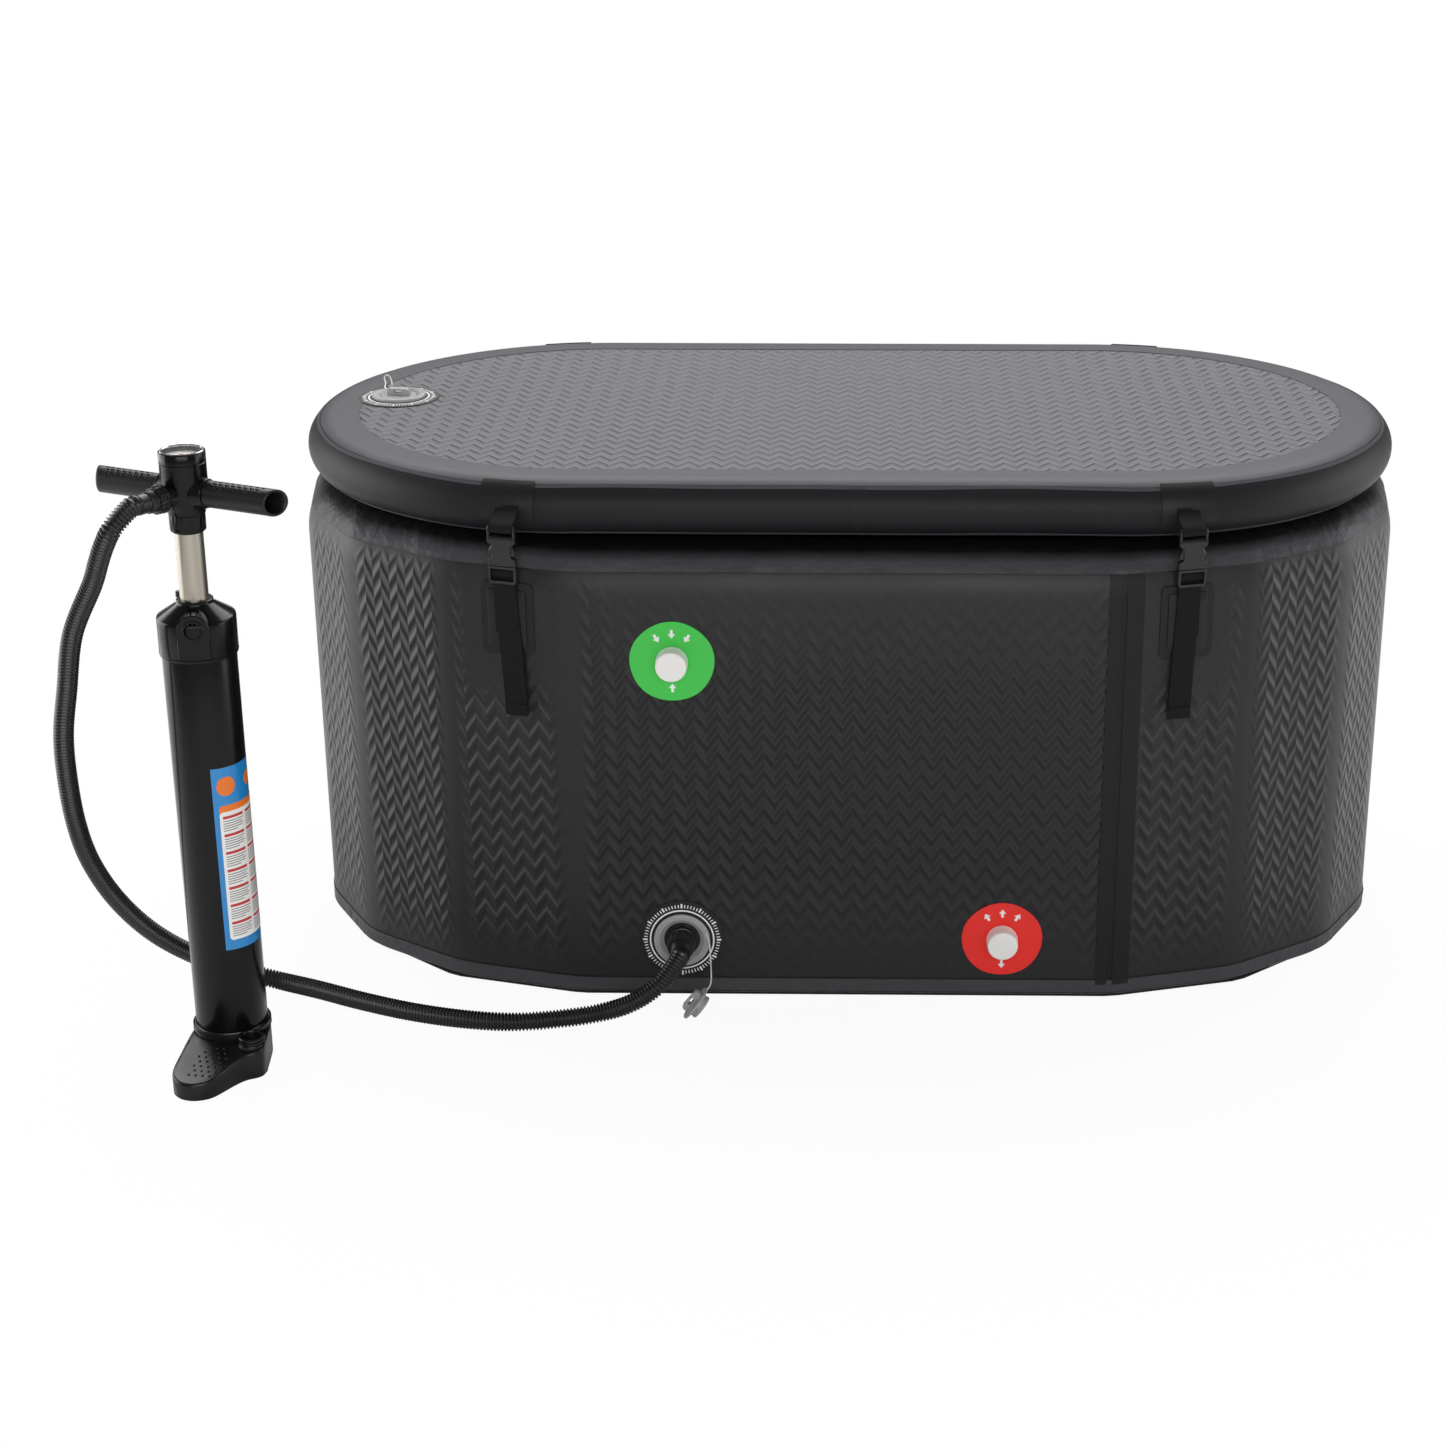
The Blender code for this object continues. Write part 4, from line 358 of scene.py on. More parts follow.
lid_route = np.array(LID_VALVE) + np.array([
    (-0.0160, 0.0040, 0.0100), (-0.0200, 0.0130, 0.0098), (-0.0212, 0.0220, 0.0098),
    (-0.0218, 0.0290, 0.0120), (-0.0240, 0.0350, 0.0170), (-0.0222, 0.0374, 0.0200),
    (-0.0180, 0.0374, 0.0190), (-0.0150, 0.0350, 0.0140), (-0.0135, 0.0305, 0.0082)])
for name, route, body in (("air_valve_cord", air_route, "tub"), ("lid_valve_cord", lid_route, None)):
    line = smooth_route(route, TETHER_DIAMETER)
    cord = make_piece(name, sweep(line, np.full(len(line), TETHER_DIAMETER / 2), 12, (0.9, 0.1, 0.4)),
                      TETHER_WHITE, body, "tether", (name.replace("cord", "tether"),))
    if body is None:
        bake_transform(cord)

# %% [markdown]
# ## Floor and light
# The bath stands on white paper under large soft lamps, so shadows are faint and gloss shows as broad pale
# bands. The floor is a plain white sheet that also glows a little for the camera alone. That makes it pure
# white far away without shining on the bath, and keeps the soft shadow next to it.

# %% Floor
floor_finish, floor_tree, floor_shader = new_finish("white_paper_floor", "#f4f4f4", 0.9)
floor_place = add_node(floor_tree, "TexCoord")
floor_far = add_node(floor_tree, "VectorMath", {0: floor_place.outputs["Object"]}, operation="LENGTH")
floor_share = add_node(floor_tree, "MapRange", {"Value": floor_far.outputs["Value"], "From Min": 0.5,
                                                "From Max": 1.3, "To Min": 0.93, "To Max": 1.0})
floor_ray = add_node(floor_tree, "LightPath")
floor_mix = add_node(floor_tree, "Math", {0: floor_share.outputs["Result"],
                                          1: floor_ray.outputs["Is Camera Ray"]}, operation="MULTIPLY")
floor_glow = add_node(floor_tree, "Emission", {"Color": (1, 1, 1, 1), "Strength": 1.0})
floor_sum = add_node(floor_tree, "MixShader", {0: floor_mix.outputs[0], 1: floor_shader.outputs[0],
                                               2: floor_glow.outputs[0]})
floor_tree.links.new(floor_sum.outputs[0], floor_tree.nodes["Material Output"].inputs["Surface"])
FLOOR_HALF = 40.0
floor_mesh = bpy.data.meshes.new("floor")
floor_mesh.from_pydata([(x * FLOOR_HALF, y * FLOOR_HALF, 0) for x, y in ((-1, -1), (1, -1), (1, 1), (-1, 1))],
                       [], [(0, 1, 2, 3)])
floor_mesh.materials.append(floor_finish)
floor = bpy.data.objects.new("floor", floor_mesh)
bpy.context.scene.collection.objects.link(floor)
print("floor", 2 * FLOOR_HALF, "m wide")

# %% World and lamps
world = bpy.data.worlds.new("studio")
bpy.context.scene.world = world
world.use_nodes = True
sky = world.node_tree
sky_ray = add_node(sky, "LightPath")
seen = add_node(sky, "Math", {0: sky_ray.outputs["Is Camera Ray"], 1: sky_ray.outputs["Is Transmission Ray"]},
                operation="MAXIMUM")
sky_strength = add_node(sky, "MapRange", {"Value": seen.outputs[0], "To Min": 0.17, "To Max": 1.0})
sky.nodes["Background"].inputs["Color"].default_value = (1, 1, 1, 1)
sky.links.new(sky_strength.outputs["Result"], sky.nodes["Background"].inputs["Strength"])


def add_lamp(name, place, aim, size, power):
    """A rectangular softbox at a place, turned so that it looks at a point."""
    data = bpy.data.lights.new(name, "AREA")
    data.shape = "RECTANGLE"
    data.size, data.size_y = size
    data.energy = power
    lamp = bpy.data.objects.new(name, data)
    bpy.context.scene.collection.objects.link(lamp)
    lamp.location = place
    lamp.rotation_euler = (Vector(aim) - Vector(place)).to_track_quat("-Z", "Y").to_euler()
    print(name, power, "W")


add_lamp("overhead_softbox", (0.0, 1.7, 2.7), (0.0, 0.1, 0.5), (4.0, 2.2), 122)
add_lamp("left_softbox", (-3.2, 0.3, 0.9), (-0.5, 0.0, 0.3), (3.0, 1.8), 58)
add_lamp("right_softbox", (3.2, 0.3, 0.9), (0.5, 0.0, 0.3), (3.0, 1.8), 42)
add_lamp("front_softbox", (0.3, -4.4, 1.9), (0.0, -0.2, 0.3), (4.0, 2.0), 85)
bpy.context.scene.view_settings.view_transform = "Standard"

# %% [markdown]
# ## Drop-stitch fabric
# The bath's wall is two PVC-coated sheets tied together by thousands of threads. Each row of threads pulls
# a zigzag line of dimples into the skin. Modelled in the mesh they would need millions of faces, so they
# are a bump: a wave across the rows, whose rows are shifted up and down by a triangle wave along them. Each
# zigzag is 27 mm long and 19 mm high, and the rows lie 24.5 mm apart.

# %% Fabric finishes


def zigzag(tree, u, v, period, row, rise):
    """Height of the skin: |sin(pi (v + s) / row)| to a power, where s is a triangle wave of u with that
    period and rise. The power makes the crest over each row of threads narrow and the hollow between two
    rows broad."""
    fold = add_node(tree, "Math", {0: u, 1: period / 2}, operation="PINGPONG")
    shift = add_node(tree, "Math", {0: fold.outputs[0], 1: 2 * rise / period, 2: v}, operation="MULTIPLY_ADD")
    turns = add_node(tree, "Math", {0: shift.outputs[0], 1: pi / row}, operation="MULTIPLY")
    wave = add_node(tree, "Math", {0: turns.outputs[0]}, operation="SINE")
    size = add_node(tree, "Math", {0: wave.outputs[0]}, operation="ABSOLUTE")
    return add_node(tree, "Math", {0: size.outputs[0], 1: 2.6}, operation="POWER").outputs[0]


def fabric(name, colour, roughness, source, height, sheen, depth):
    """Matt PVC-coated drop-stitch fabric: zigzag dimples, warped a little, over a fine coating grain. The grooves get
    less light than the crests, and that shade is painted into the colour: it is scaled by 1 + depth * (height - mean
    height)."""
    finish, tree, shader = new_finish(name, colour, roughness, Specular_IOR_Level=0.45, Sheen_Weight=sheen,
                                      Sheen_Roughness=0.35)
    place = add_node(tree, "TexCoord")
    warp = add_node(tree, "TexNoise", {"Vector": place.outputs["Object"], "Scale": 14.0, "Detail": 2.0})
    bent = add_node(tree, "VectorMath", {0: warp.outputs["Color"], 1: (0.003, 0.003, 0.0),
                                         2: place.outputs[source]}, operation="MULTIPLY_ADD")
    axes = add_node(tree, "SeparateXYZ", {0: bent.outputs[0]})
    dimples = zigzag(tree, axes.outputs["X"], axes.outputs["Y"], 0.027, 0.0245, 0.019)
    relief = add_node(tree, "Attribute", attribute_name="relief")
    shown = add_node(tree, "Math", {0: dimples, 1: relief.outputs["Fac"]}, operation="MULTIPLY")
    # Painted shade: the colour is darker in the grooves and paler on the crests.
    level = add_node(tree, "Math", {0: dimples, 1: -0.45}, operation="ADD")
    shade = add_node(tree, "Math", {0: level.outputs[0], 1: relief.outputs["Fac"]}, operation="MULTIPLY")
    shade = add_node(tree, "Math", {0: shade.outputs[0], 1: depth, 2: 1.0}, operation="MULTIPLY_ADD")
    coat = add_node(tree, "VectorMath", {0: linear(colour)[:3], "Scale": shade.outputs[0]}, operation="SCALE")
    tree.links.new(coat.outputs["Vector"], shader.inputs["Base Color"])
    grain = add_node(tree, "TexNoise", {"Vector": place.outputs["Object"], "Scale": 700.0, "Detail": 2.0})
    fine = add_node(tree, "Bump", {"Height": grain.outputs["Fac"], "Distance": 0.00008})
    bump = add_node(tree, "Bump", {"Height": shown.outputs[0], "Distance": height,
                                   "Normal": fine.outputs["Normal"]})
    tree.links.new(bump.outputs["Normal"], shader.inputs["Normal"])
    cloud = add_node(tree, "TexNoise", {"Vector": place.outputs["Object"], "Scale": 6.0, "Detail": 5.0})
    sheen = add_node(tree, "MapRange", {"Value": cloud.outputs["Fac"], "To Min": roughness - 0.08,
                                        "To Max": roughness + 0.08})
    tree.links.new(sheen.outputs["Result"], shader.inputs["Roughness"])
    return finish


WALL_FABRIC = fabric("charcoal_coated_fabric", "#19191a", 0.50, "UV", 0.0024, 0.14, 0.25)
# The lid's fabric is paler than the wall's: partly its own grey, partly painted light from the lamps above its flat
# top.
TOP_LIT_LID_FABRIC = fabric("grey_coated_fabric", "#606064", 0.52, "Object", 0.0046, 0.0, 0.50)

# Smooth satin PVC tape: darker and a little glossier than the fabric, with faint glue ripples.
TAPE_PVC = grained("smooth_pvc_tape", "#1d1d20", 0.52, 30.0, 0.0005, Specular_IOR_Level=0.22)
# The lid's border: the same tape, painted a paler grey for the light from above where it lies flat round the
# patterned top.
TOP_LIT_TAPE_PVC = grained("top_lit_border_tape", "#45454a", 0.50, 30.0, 0.0004, Specular_IOR_Level=0.25)
# The same tape over the rim and the foot, painted paler for the light that falls on them there, with wrinkles of a
# few centimetres. Where it turns over the rim under the lid it goes nearly black: painted shadow of the lid.
PALER_LIT_TAPE_PVC, rim_tree, rim_shader = new_finish("paler_lit_pvc_tape", "#454549", 0.42, Specular_IOR_Level=0.2)
rim_place = add_node(rim_tree, "TexCoord")
rim_axes = add_node(rim_tree, "SeparateXYZ", {0: rim_place.outputs["Object"]})
# Painted shadow of the lid: between heights of 0.5605 and 0.571 m the tape's colour fades to nearly black.
rim_lid_shadow = add_node(rim_tree, "MapRange", {"Value": rim_axes.outputs["Z"], "From Min": 0.5605,
                                           "From Max": 0.5710, "To Min": 1.0, "To Max": 0.05})
rim_shadowed_colour = add_node(rim_tree, "VectorMath", {0: linear("#454549")[:3], "Scale": rim_lid_shadow.outputs["Result"]},
                    operation="SCALE")
rim_tree.links.new(rim_shadowed_colour.outputs["Vector"], rim_shader.inputs["Base Color"])
rim_wrinkle = add_node(rim_tree, "TexNoise", {"Vector": rim_place.outputs["Object"], "Scale": 28.0,
                                              "Detail": 3.0})
rim_bump = add_node(rim_tree, "Bump", {"Height": rim_wrinkle.outputs["Fac"], "Distance": 0.006})
rim_tree.links.new(rim_bump.outputs["Normal"], rim_shader.inputs["Normal"])
# Painted shade: a narrow, nearly black line along the edge of a tape, where the step of the edge is in shade.
EDGE_SHADE_LINE = grained("painted_edge_shade_line", "#0c0c0d", 0.5, 200.0, 0.0002)

# %% [markdown]
# ## The wall
# Seen from above the wall is an oval whose ends are folded into flat facets. The plan's corners are worked
# out first, then sampled every few millimetres and averaged with their neighbours, which gives each fold
# the soft bend of inflated fabric. A section with a round rim is carried round that plan.

# %% Plan of the wall
STRAIGHT_HALF = 0.308
FOLDS = np.array([(0.0210, 0.4000), (0.1735, 0.3579), (0.3020, 0.2700), (0.3734, 0.1433),
                  (0.3925, 0.0)]) / WALL_RADIUS
PLAN_STEP = 0.007
FOLD_EASE = 0.021


def fold_corners(distance):
    """Corners of the plan at a distance from its middle line, one to each fold, anticlockwise from the
    front."""
    right = np.vstack([FOLDS * (1, -1), FOLDS[-2::-1]]) * distance + (STRAIGHT_HALF, 0)
    return np.vstack([right, -right])


base_corners = fold_corners(WALL_RADIUS)
side_lengths = np.linalg.norm(np.roll(base_corners, -1, axis=0) - base_corners, axis=1)
girth = float(side_lengths.sum())
plan_count = round(girth / PLAN_STEP)
walked = np.linspace(0, girth, plan_count, endpoint=False)
plan_place = np.interp(walked, np.append(0, np.cumsum(side_lengths)), np.arange(len(side_lengths) + 1))
ease_steps = np.arange(-6, 7)
ease_weights = np.clip(1 - np.abs(ease_steps * PLAN_STEP) / (2 * FOLD_EASE), 0, 1)
ease_weights /= ease_weights.sum()


def wall_plan(distance):
    """The plan as even points: read off the straight sides between corners, then averaged with their
    neighbours, whose weights fall off in a straight line. That rounds each fold over a few centimetres."""
    corners = fold_corners(distance)
    closed = np.vstack([corners, corners[:1]])
    plan = np.stack([np.interp(plan_place, np.arange(len(closed)), closed[:, k]) for k in (0, 1)], -1)
    return sum(weight * np.roll(plan, shift, axis=0) for shift, weight in zip(ease_steps, ease_weights))


def carried(section):
    """A section of distance and height carried round the wall: one ring of its plan for each of its
    points."""
    return np.stack([at_height(wall_plan(distance), height) for distance, height in section])


print("girth", round(girth, 3), "m in", plan_count, "steps")

# %% Wall
WALL_THICKNESS, WALL_TOP, WALL_LOW = 0.100, 0.5765, 0.0018
RIM_IN, RIM_DOWN = WALL_THICKNESS / 2, 0.058


def rim_section(lift, start, steps=12):
    """Section of the rim raised by a lift, from an angle on the outside over to the same angle inside: half
    an ellipse, as wide as the wall is thick."""
    turn = np.linspace(start, pi / 2, steps)
    outside = np.column_stack([(RIM_IN + lift) * np.cos(turn), (RIM_DOWN + lift) * np.sin(turn)])
    return np.vstack([outside, outside[-2::-1] * (-1, 1)]) + (WALL_RADIUS - RIM_IN, WALL_TOP - RIM_DOWN)


rise = np.linspace(0.0078, WALL_TOP - RIM_DOWN, 32)
outer = np.column_stack([np.full(32, WALL_RADIUS), rise])
inner = np.column_stack([np.full(28, WALL_RADIUS - WALL_THICKNESS),
                         np.linspace(WALL_TOP - RIM_DOWN, WALL_LOW, 28)])
section = np.vstack([[(WALL_RADIUS - 0.006, WALL_LOW)], outer, rim_section(0, 0, 14)[1:-1], inner])
wall_points = carried(section)

fold_places = np.append(0, np.cumsum(side_lengths))[:-1]
fold_far = np.abs((walked[:, None] - fold_places + girth / 2) % girth - girth / 2).min(axis=1)
height = section[:, 1]
front_share = np.clip((0.330 - np.abs(wall_points[:, :, 0])) / 0.05, 0, 1) * (wall_points[:, :, 1] < 0)
middle_share = np.clip((height - 0.055) / 0.12, 0.1, 1) * np.clip((0.535 - height) / 0.13, 0, 1)
side_share = np.clip((height - 0.020) / 0.08, 0, 1) * np.clip((0.548 - height) / 0.03, 0, 1)
relief = side_share[:, None] * (1 - front_share) + middle_share[:, None] * front_share
relief = relief * np.clip((fold_far - 0.011) / 0.012, 0, 1)[None]
strap_far = np.abs(np.abs(wall_points[:, :, 0]) - 0.401)
near_strap = np.clip(1 - (strap_far - 0.050) / 0.015, 0, 1) * np.clip((wall_points[:, :, 2] - 0.36) / 0.06, 0, 1)
relief = relief * (1 - 0.85 * near_strap)
wall = make_piece("inflated_wall", skin(wall_points, close_rows=True), WALL_FABRIC, "tub", "coated_fabric",
                  ("wall_ring",), sharp=60, attributes={"relief": relief})

# %% [markdown]
# ## Tapes on the wall
# Every glued joint is covered by a smooth PVC tape: one over the rim, one round the foot and one up the
# joint at the front right. Each is a thin skin a millimetre thick, carried round the same plan as the wall.

# %% Rim and foot tapes
TAPE, GAP = 0.001, 0.0003
RIM_TAPE_LOW, FOOT_TAPE_LOW, FOOT_TAPE_TOP = 0.549, 0.0078, 0.024
start = np.arcsin((RIM_TAPE_LOW - WALL_TOP + RIM_DOWN) / RIM_DOWN)
rim_loop = np.vstack([rim_section(GAP + TAPE, start), rim_section(GAP, start)[::-1]])
make_piece("rim_cover_tape", skin(carried(rim_loop), close_rows=True), PALER_LIT_TAPE_PVC, "tub", "smooth_pvc",
           ("rim_tape",))
over = WALL_RADIUS + GAP
foot_loop = np.array([(over, FOOT_TAPE_LOW), (over + TAPE, FOOT_TAPE_LOW),
                      (over + TAPE, FOOT_TAPE_TOP - 0.0005), (over + TAPE * 0.6, FOOT_TAPE_TOP),
                      (over, FOOT_TAPE_TOP)])
make_piece("foot_tape", skin(carried(foot_loop), close_rows=True), PALER_LIT_TAPE_PVC, "tub", "smooth_pvc",
           ("base_tape",))
rim_edge = rim_section(GAP + TAPE, start)[0]
# Painted shade: black lines along the rim tape's lower edge and the foot tape's top edge.
edge_shade_loops = [np.array([(reach, low), (reach + TAPE * 0.6, low), (reach + TAPE * 0.6, high), (reach, high)])
              for reach, low, high in ((rim_edge[0] - 0.0006, rim_edge[1] - 0.0018, rim_edge[1] - 0.0002),
                                       (over, 0.0242, 0.0254))]
make_piece("seam_lines", [skin(carried(loop), close_rows=True) for loop in edge_shade_loops], EDGE_SHADE_LINE, "tub",
           "smooth_pvc")

# %% Joint tape
seam_left, seam_right = STRAIGHT_HALF - 0.001, STRAIGHT_HALF + 0.044
seam_plan = wall_plan(over)
seam_columns = np.flatnonzero((seam_plan[:, 0] > seam_left) & (seam_plan[:, 0] < seam_right) & (seam_plan[:, 1] < 0))
seam_rows = np.vstack([np.column_stack([np.full(36, WALL_RADIUS),
                                        np.linspace(0.018, WALL_TOP - RIM_DOWN, 36)]),
                       rim_section(0, 0, 24)[1:12]])
seam_rows = seam_rows[seam_rows[:, 1] < RIM_TAPE_LOW]
seam_over, seam_under = [np.stack([at_height(wall_plan(reach + lift)[seam_columns], height)
                                   for reach, height in seam_rows]) for lift in (GAP + TAPE, GAP)]
make_piece("joint_tape", slab(seam_over, seam_under), TAPE_PVC, "tub", "smooth_pvc")

# %% [markdown]
# ## The floor panel
# The bath's floor is one more drop-stitch panel, cut to the same folded oval and glued into the wall's foot.

# %% Floor panel
FLOOR_IN, FLOOR_TOP, FLOOR_ROUND = 0.002, 0.0518, 0.012
floor_radius = WALL_RADIUS - WALL_THICKNESS - 0.0005
floor_section = rounded([(FLOOR_IN, WALL_LOW), (floor_radius, WALL_LOW), (floor_radius, FLOOR_TOP),
                         (FLOOR_IN, FLOOR_TOP)], (0.0, FLOOR_ROUND, FLOOR_ROUND, 0.0), 5, closed=False)
floor_flat = np.linspace(floor_radius - FLOOR_ROUND, FLOOR_IN, 8)[1:-1]
floor_section = np.vstack([floor_section[:-1], at_height(floor_flat, FLOOR_TOP), floor_section[-1:]])
floor_points = carried(floor_section)
floor_ends = [row[None] * (1, 0, 1) for row in (floor_points[0], floor_points[-1])]
floor_points = np.concatenate([floor_ends[0], floor_points, floor_ends[1]])
floor_uv = np.concatenate([floor_points[:, :, :2], floor_points[:, :1, :2]], axis=1)
floor_piece = make_piece("floor_cushion", skin(floor_points, uv=floor_uv), WALL_FABRIC, "tub", "coated_fabric",
                         ("floor_panel",), attributes={"relief": np.full(floor_points.shape[:2], 0.9)})

# %% [markdown]
# ## The lid
# The lid is a flat drop-stitch cushion with a round edge. Its plan is a plain oval: a middle line, and a distance
# square to it. A smooth band is glued round its edge between two seams, and a border lies round the top, painted
# paler for the light from above.

# %% Plan of the lid
LID_STRAIGHT, LID_RADIUS, LID_THICKNESS = 0.3295, 0.364, 0.068
LID_LOW = LID_TOP - LID_THICKNESS
LID_ROUND = LID_THICKNESS / 2
LID_MIDDLE = LID_LOW + LID_ROUND
END_STEPS, FRONT_STEPS = 142, 82
lid_end = np.linspace(0, pi, END_STEPS)
lid_front = np.linspace(-LID_STRAIGHT, LID_STRAIGHT, FRONT_STEPS + 2)[1:-1]
end_centre = np.full(END_STEPS, LID_STRAIGHT)
end_normal = np.stack([np.sin(lid_end), -np.cos(lid_end)], -1)
lid_centre = np.concatenate([lid_front, end_centre, lid_front[::-1], -end_centre])
lid_normal = np.concatenate([np.tile((0.0, -1.0), (FRONT_STEPS, 1)), end_normal,
                             np.tile((0.0, 1.0), (FRONT_STEPS, 1)), -end_normal])


def lid_ring(distance, height):
    """One ring of the lid: the middle line, plus the distance along the direction square to it."""
    across = np.column_stack([lid_centre + distance * lid_normal[:, 0], distance * lid_normal[:, 1]])
    return at_height(across, height)


def lid_arc(turn, lift):
    """Distance and height on the lid's round edge, at an angle above the level and raised by a lift."""
    return LID_RADIUS - LID_ROUND + (LID_ROUND + lift) * np.cos(turn), LID_MIDDLE + (LID_ROUND + lift) * np.sin(turn)


# %% Lid cushion
BORDER_IN = 0.299
edge_turn = np.linspace(-pi / 2, pi / 2, 21)
edge_out, edge_up = lid_arc(edge_turn, 0)
inboard = np.append(np.linspace(0, 0.288, 12), [0.296, 0.302, 0.318])
lid_section = np.vstack([at_height(inboard, LID_LOW), np.column_stack([edge_out, edge_up]),
                         at_height(inboard[::-1], LID_TOP)])
lid_points = np.stack([lid_ring(distance, height) for distance, height in lid_section])
lid_relief = np.where(lid_section[:, 0] < BORDER_IN, 1.0, 0.0)
lid = make_piece("lid_cushion", skin(lid_points), TOP_LIT_LID_FABRIC, "lid", "lid_fabric", ("lid_panel",), sharp=60,
                 attributes={"relief": np.repeat(lid_relief[:, None], lid_points.shape[1], axis=1)})

# %% Lid edge band
lid_walk = np.linspace(0, 2 * pi, len(lid_centre), endpoint=False)
wander = radians(1.3) * (np.sin(9 * lid_walk) + np.sin(14 * lid_walk + 1.0))


def lid_strip(turns, low, high):
    """A strip round the lid's edge between two lifts: rows of angles that wander a little, out and back
    inside."""
    lifts = [high if 0 < k < len(turns) - 1 else (low + high) / 2 for k in range(len(turns))]
    rows = list(zip(turns, lifts)) + [(turn, low) for turn in turns[::-1]]
    return skin(np.stack([lid_ring(*lid_arc(turn + wander, lift)) for turn, lift in rows]), close_rows=True)


BAND_LOW, BAND_HIGH, BORDER_LOW = radians(-49), radians(56), radians(59)
BORDER_LIFT = GAP + TAPE * 0.6
band_turns = np.concatenate([[BAND_LOW, BAND_LOW + 0.012], np.linspace(BAND_LOW + 0.08, BAND_HIGH - 0.08, 22),
                             [BAND_HIGH - 0.012, BAND_HIGH]])
make_piece("lid_band", lid_strip(band_turns, GAP, GAP + TAPE), TAPE_PVC, "lid", "smooth_pvc",
           ("lid_side_band",))
border_out, border_up = lid_arc(np.radians([60, 70, 80, 90]), BORDER_LIFT)
border_top = (np.append(border_out, [0.314, BORDER_IN + 0.0005, BORDER_IN]),
              np.append(border_up, LID_TOP + BORDER_LIFT - np.array([0, 0, TAPE * 0.4])))
border_rows = [lid_ring(*lid_arc(BORDER_LOW + wander, BORDER_LIFT))]
border_rows += [lid_ring(out, up) for out, up in zip(*border_top)] + [lid_ring(BORDER_IN, LID_TOP + GAP)]
border_rows += [lid_ring(out, up) for out, up in zip(*lid_arc(np.radians([90, 75, 66]), GAP))]
border_rows += [lid_ring(*lid_arc(BORDER_LOW + wander, GAP))]
# Painted highlight: strips of the paler border tape lap the band's edges and draw a light line beside each seam.
lower_highlight_lap, upper_highlight_lap = np.radians([-62, -61, -54, -52.4, -52]), np.radians([49.4, 49.8, 53.0, 55.6, 56])
make_piece("lid_border", [skin(np.stack(border_rows), close_rows=True), lid_strip(lower_highlight_lap, GAP, GAP + TAPE),
                          lid_strip(upper_highlight_lap, GAP + TAPE, GAP + TAPE * 1.5)],
           TOP_LIT_TAPE_PVC, "lid", "smooth_pvc")
# Painted shade: black lines along the band's two seams.
make_piece("lid_seams", [lid_strip(np.radians([a, a + 0.5, b - 0.5, b]), GAP, GAP + TAPE * 0.5)
                         for a, b in ((56.1, 59.0), (-52.0, -49.3))], EDGE_SHADE_LINE, "lid", "smooth_pvc")
JOINT_X = 0.0125
joint_turns = np.linspace(BAND_LOW + 0.03, BAND_HIGH - 0.03, 24)
joint_across = JOINT_X + np.array([-0.0100, -0.0094, 0.0, 0.0094, 0.0100])
joint_lift = TAPE * np.array([0.0, 0.5, 0.5, 0.5, 0.0])
joint_faces = []
for lift in (GAP + TAPE + joint_lift, np.full(5, GAP + TAPE * 0.5)):
    out, up = lid_arc(joint_turns[:, None], lift[None])
    joint_faces.append(np.stack([joint_across + 0 * out, -out, up], -1))
make_piece("band_joint", slab(*joint_faces), TAPE_PVC, "lid", "smooth_pvc")
print("band from", round(np.degrees(BAND_LOW)), "to", round(np.degrees(BAND_HIGH)), "degrees")

# %% [markdown]
# ## Straps and buckles
# Four webbing straps hold the lid down. Each has a glued patch on the lid and one on the wall, and a
# side-release buckle between them. The webbing is a flat ribbon: a line seen from the side, given a width
# and a thickness. A buckle is moulded in two halves: flat outlines with eased edges, which leave the
# windows at its waist open.

# %% Strap finishes
# Woven polyester: matt black with a fine rib across, drawn at 1.6 mm so that it shows.
WEBBING, web_tree, web_shader = new_finish("black_woven_webbing", "#0b0b0c", 0.85, Specular_IOR_Level=0.3)
web_place = add_node(web_tree, "TexCoord")
web_axes = add_node(web_tree, "SeparateXYZ", {0: web_place.outputs["UV"]})
web_rows = add_node(web_tree, "Math", {0: web_axes.outputs["Y"], 1: 2 * pi / 0.0016}, operation="MULTIPLY")
web_wave = add_node(web_tree, "Math", {0: web_rows.outputs[0]}, operation="SINE")
web_columns = add_node(web_tree, "Math", {0: web_axes.outputs["X"], 1: 2 * pi / 0.0021}, operation="MULTIPLY")
web_cross = add_node(web_tree, "Math", {0: web_columns.outputs[0]}, operation="SINE")
web_weave = add_node(web_tree, "Math", {0: web_wave.outputs[0], 1: web_cross.outputs[0]},
                     operation="MULTIPLY")
web_bump = add_node(web_tree, "Bump", {"Height": web_weave.outputs[0], "Distance": 0.00012})
web_tree.links.new(web_bump.outputs["Normal"], web_shader.inputs["Normal"])

# Glued PVC patch: the wall's own colour, smooth, with ripples of glue.
PATCH_PVC = grained("glued_pvc_patch", "#19191b", 0.46, 90.0, 0.0004, Specular_IOR_Level=0.3)

# Moulded acetal: black and satin, with a very fine spark-eroded grain.
ACETAL = grained("black_moulded_acetal", "#202022", 0.30, 1500.0, 0.00004)

# %% Places of the straps
STRAP_X, STRAP_Y, FACET_ANGLE = 0.401, -0.3801, radians(15.43)
FRONT = Matrix.Rotation(radians(90), 4, "X")
STRAPS = {name: Matrix.Translation((x, y, 0)) @ Matrix.Rotation(turn, 4, "Z") for name, x, y, turn in (
    ("front_right", STRAP_X, STRAP_Y, FACET_ANGLE), ("front_left", -STRAP_X, STRAP_Y, -FACET_ANGLE),
    ("back_right", STRAP_X, -STRAP_Y, pi - FACET_ANGLE), ("back_left", -STRAP_X, -STRAP_Y, pi + FACET_ANGLE))}
STRAP_SIDES = {"front_right": 1, "front_left": -1, "back_right": -1, "back_left": 1}
WEB_HALF, WEB_THICK, HEM_THICK, HEM_ROWS = 0.014, 0.0014, 0.0012, 8
PATCH_HALF = 0.0335


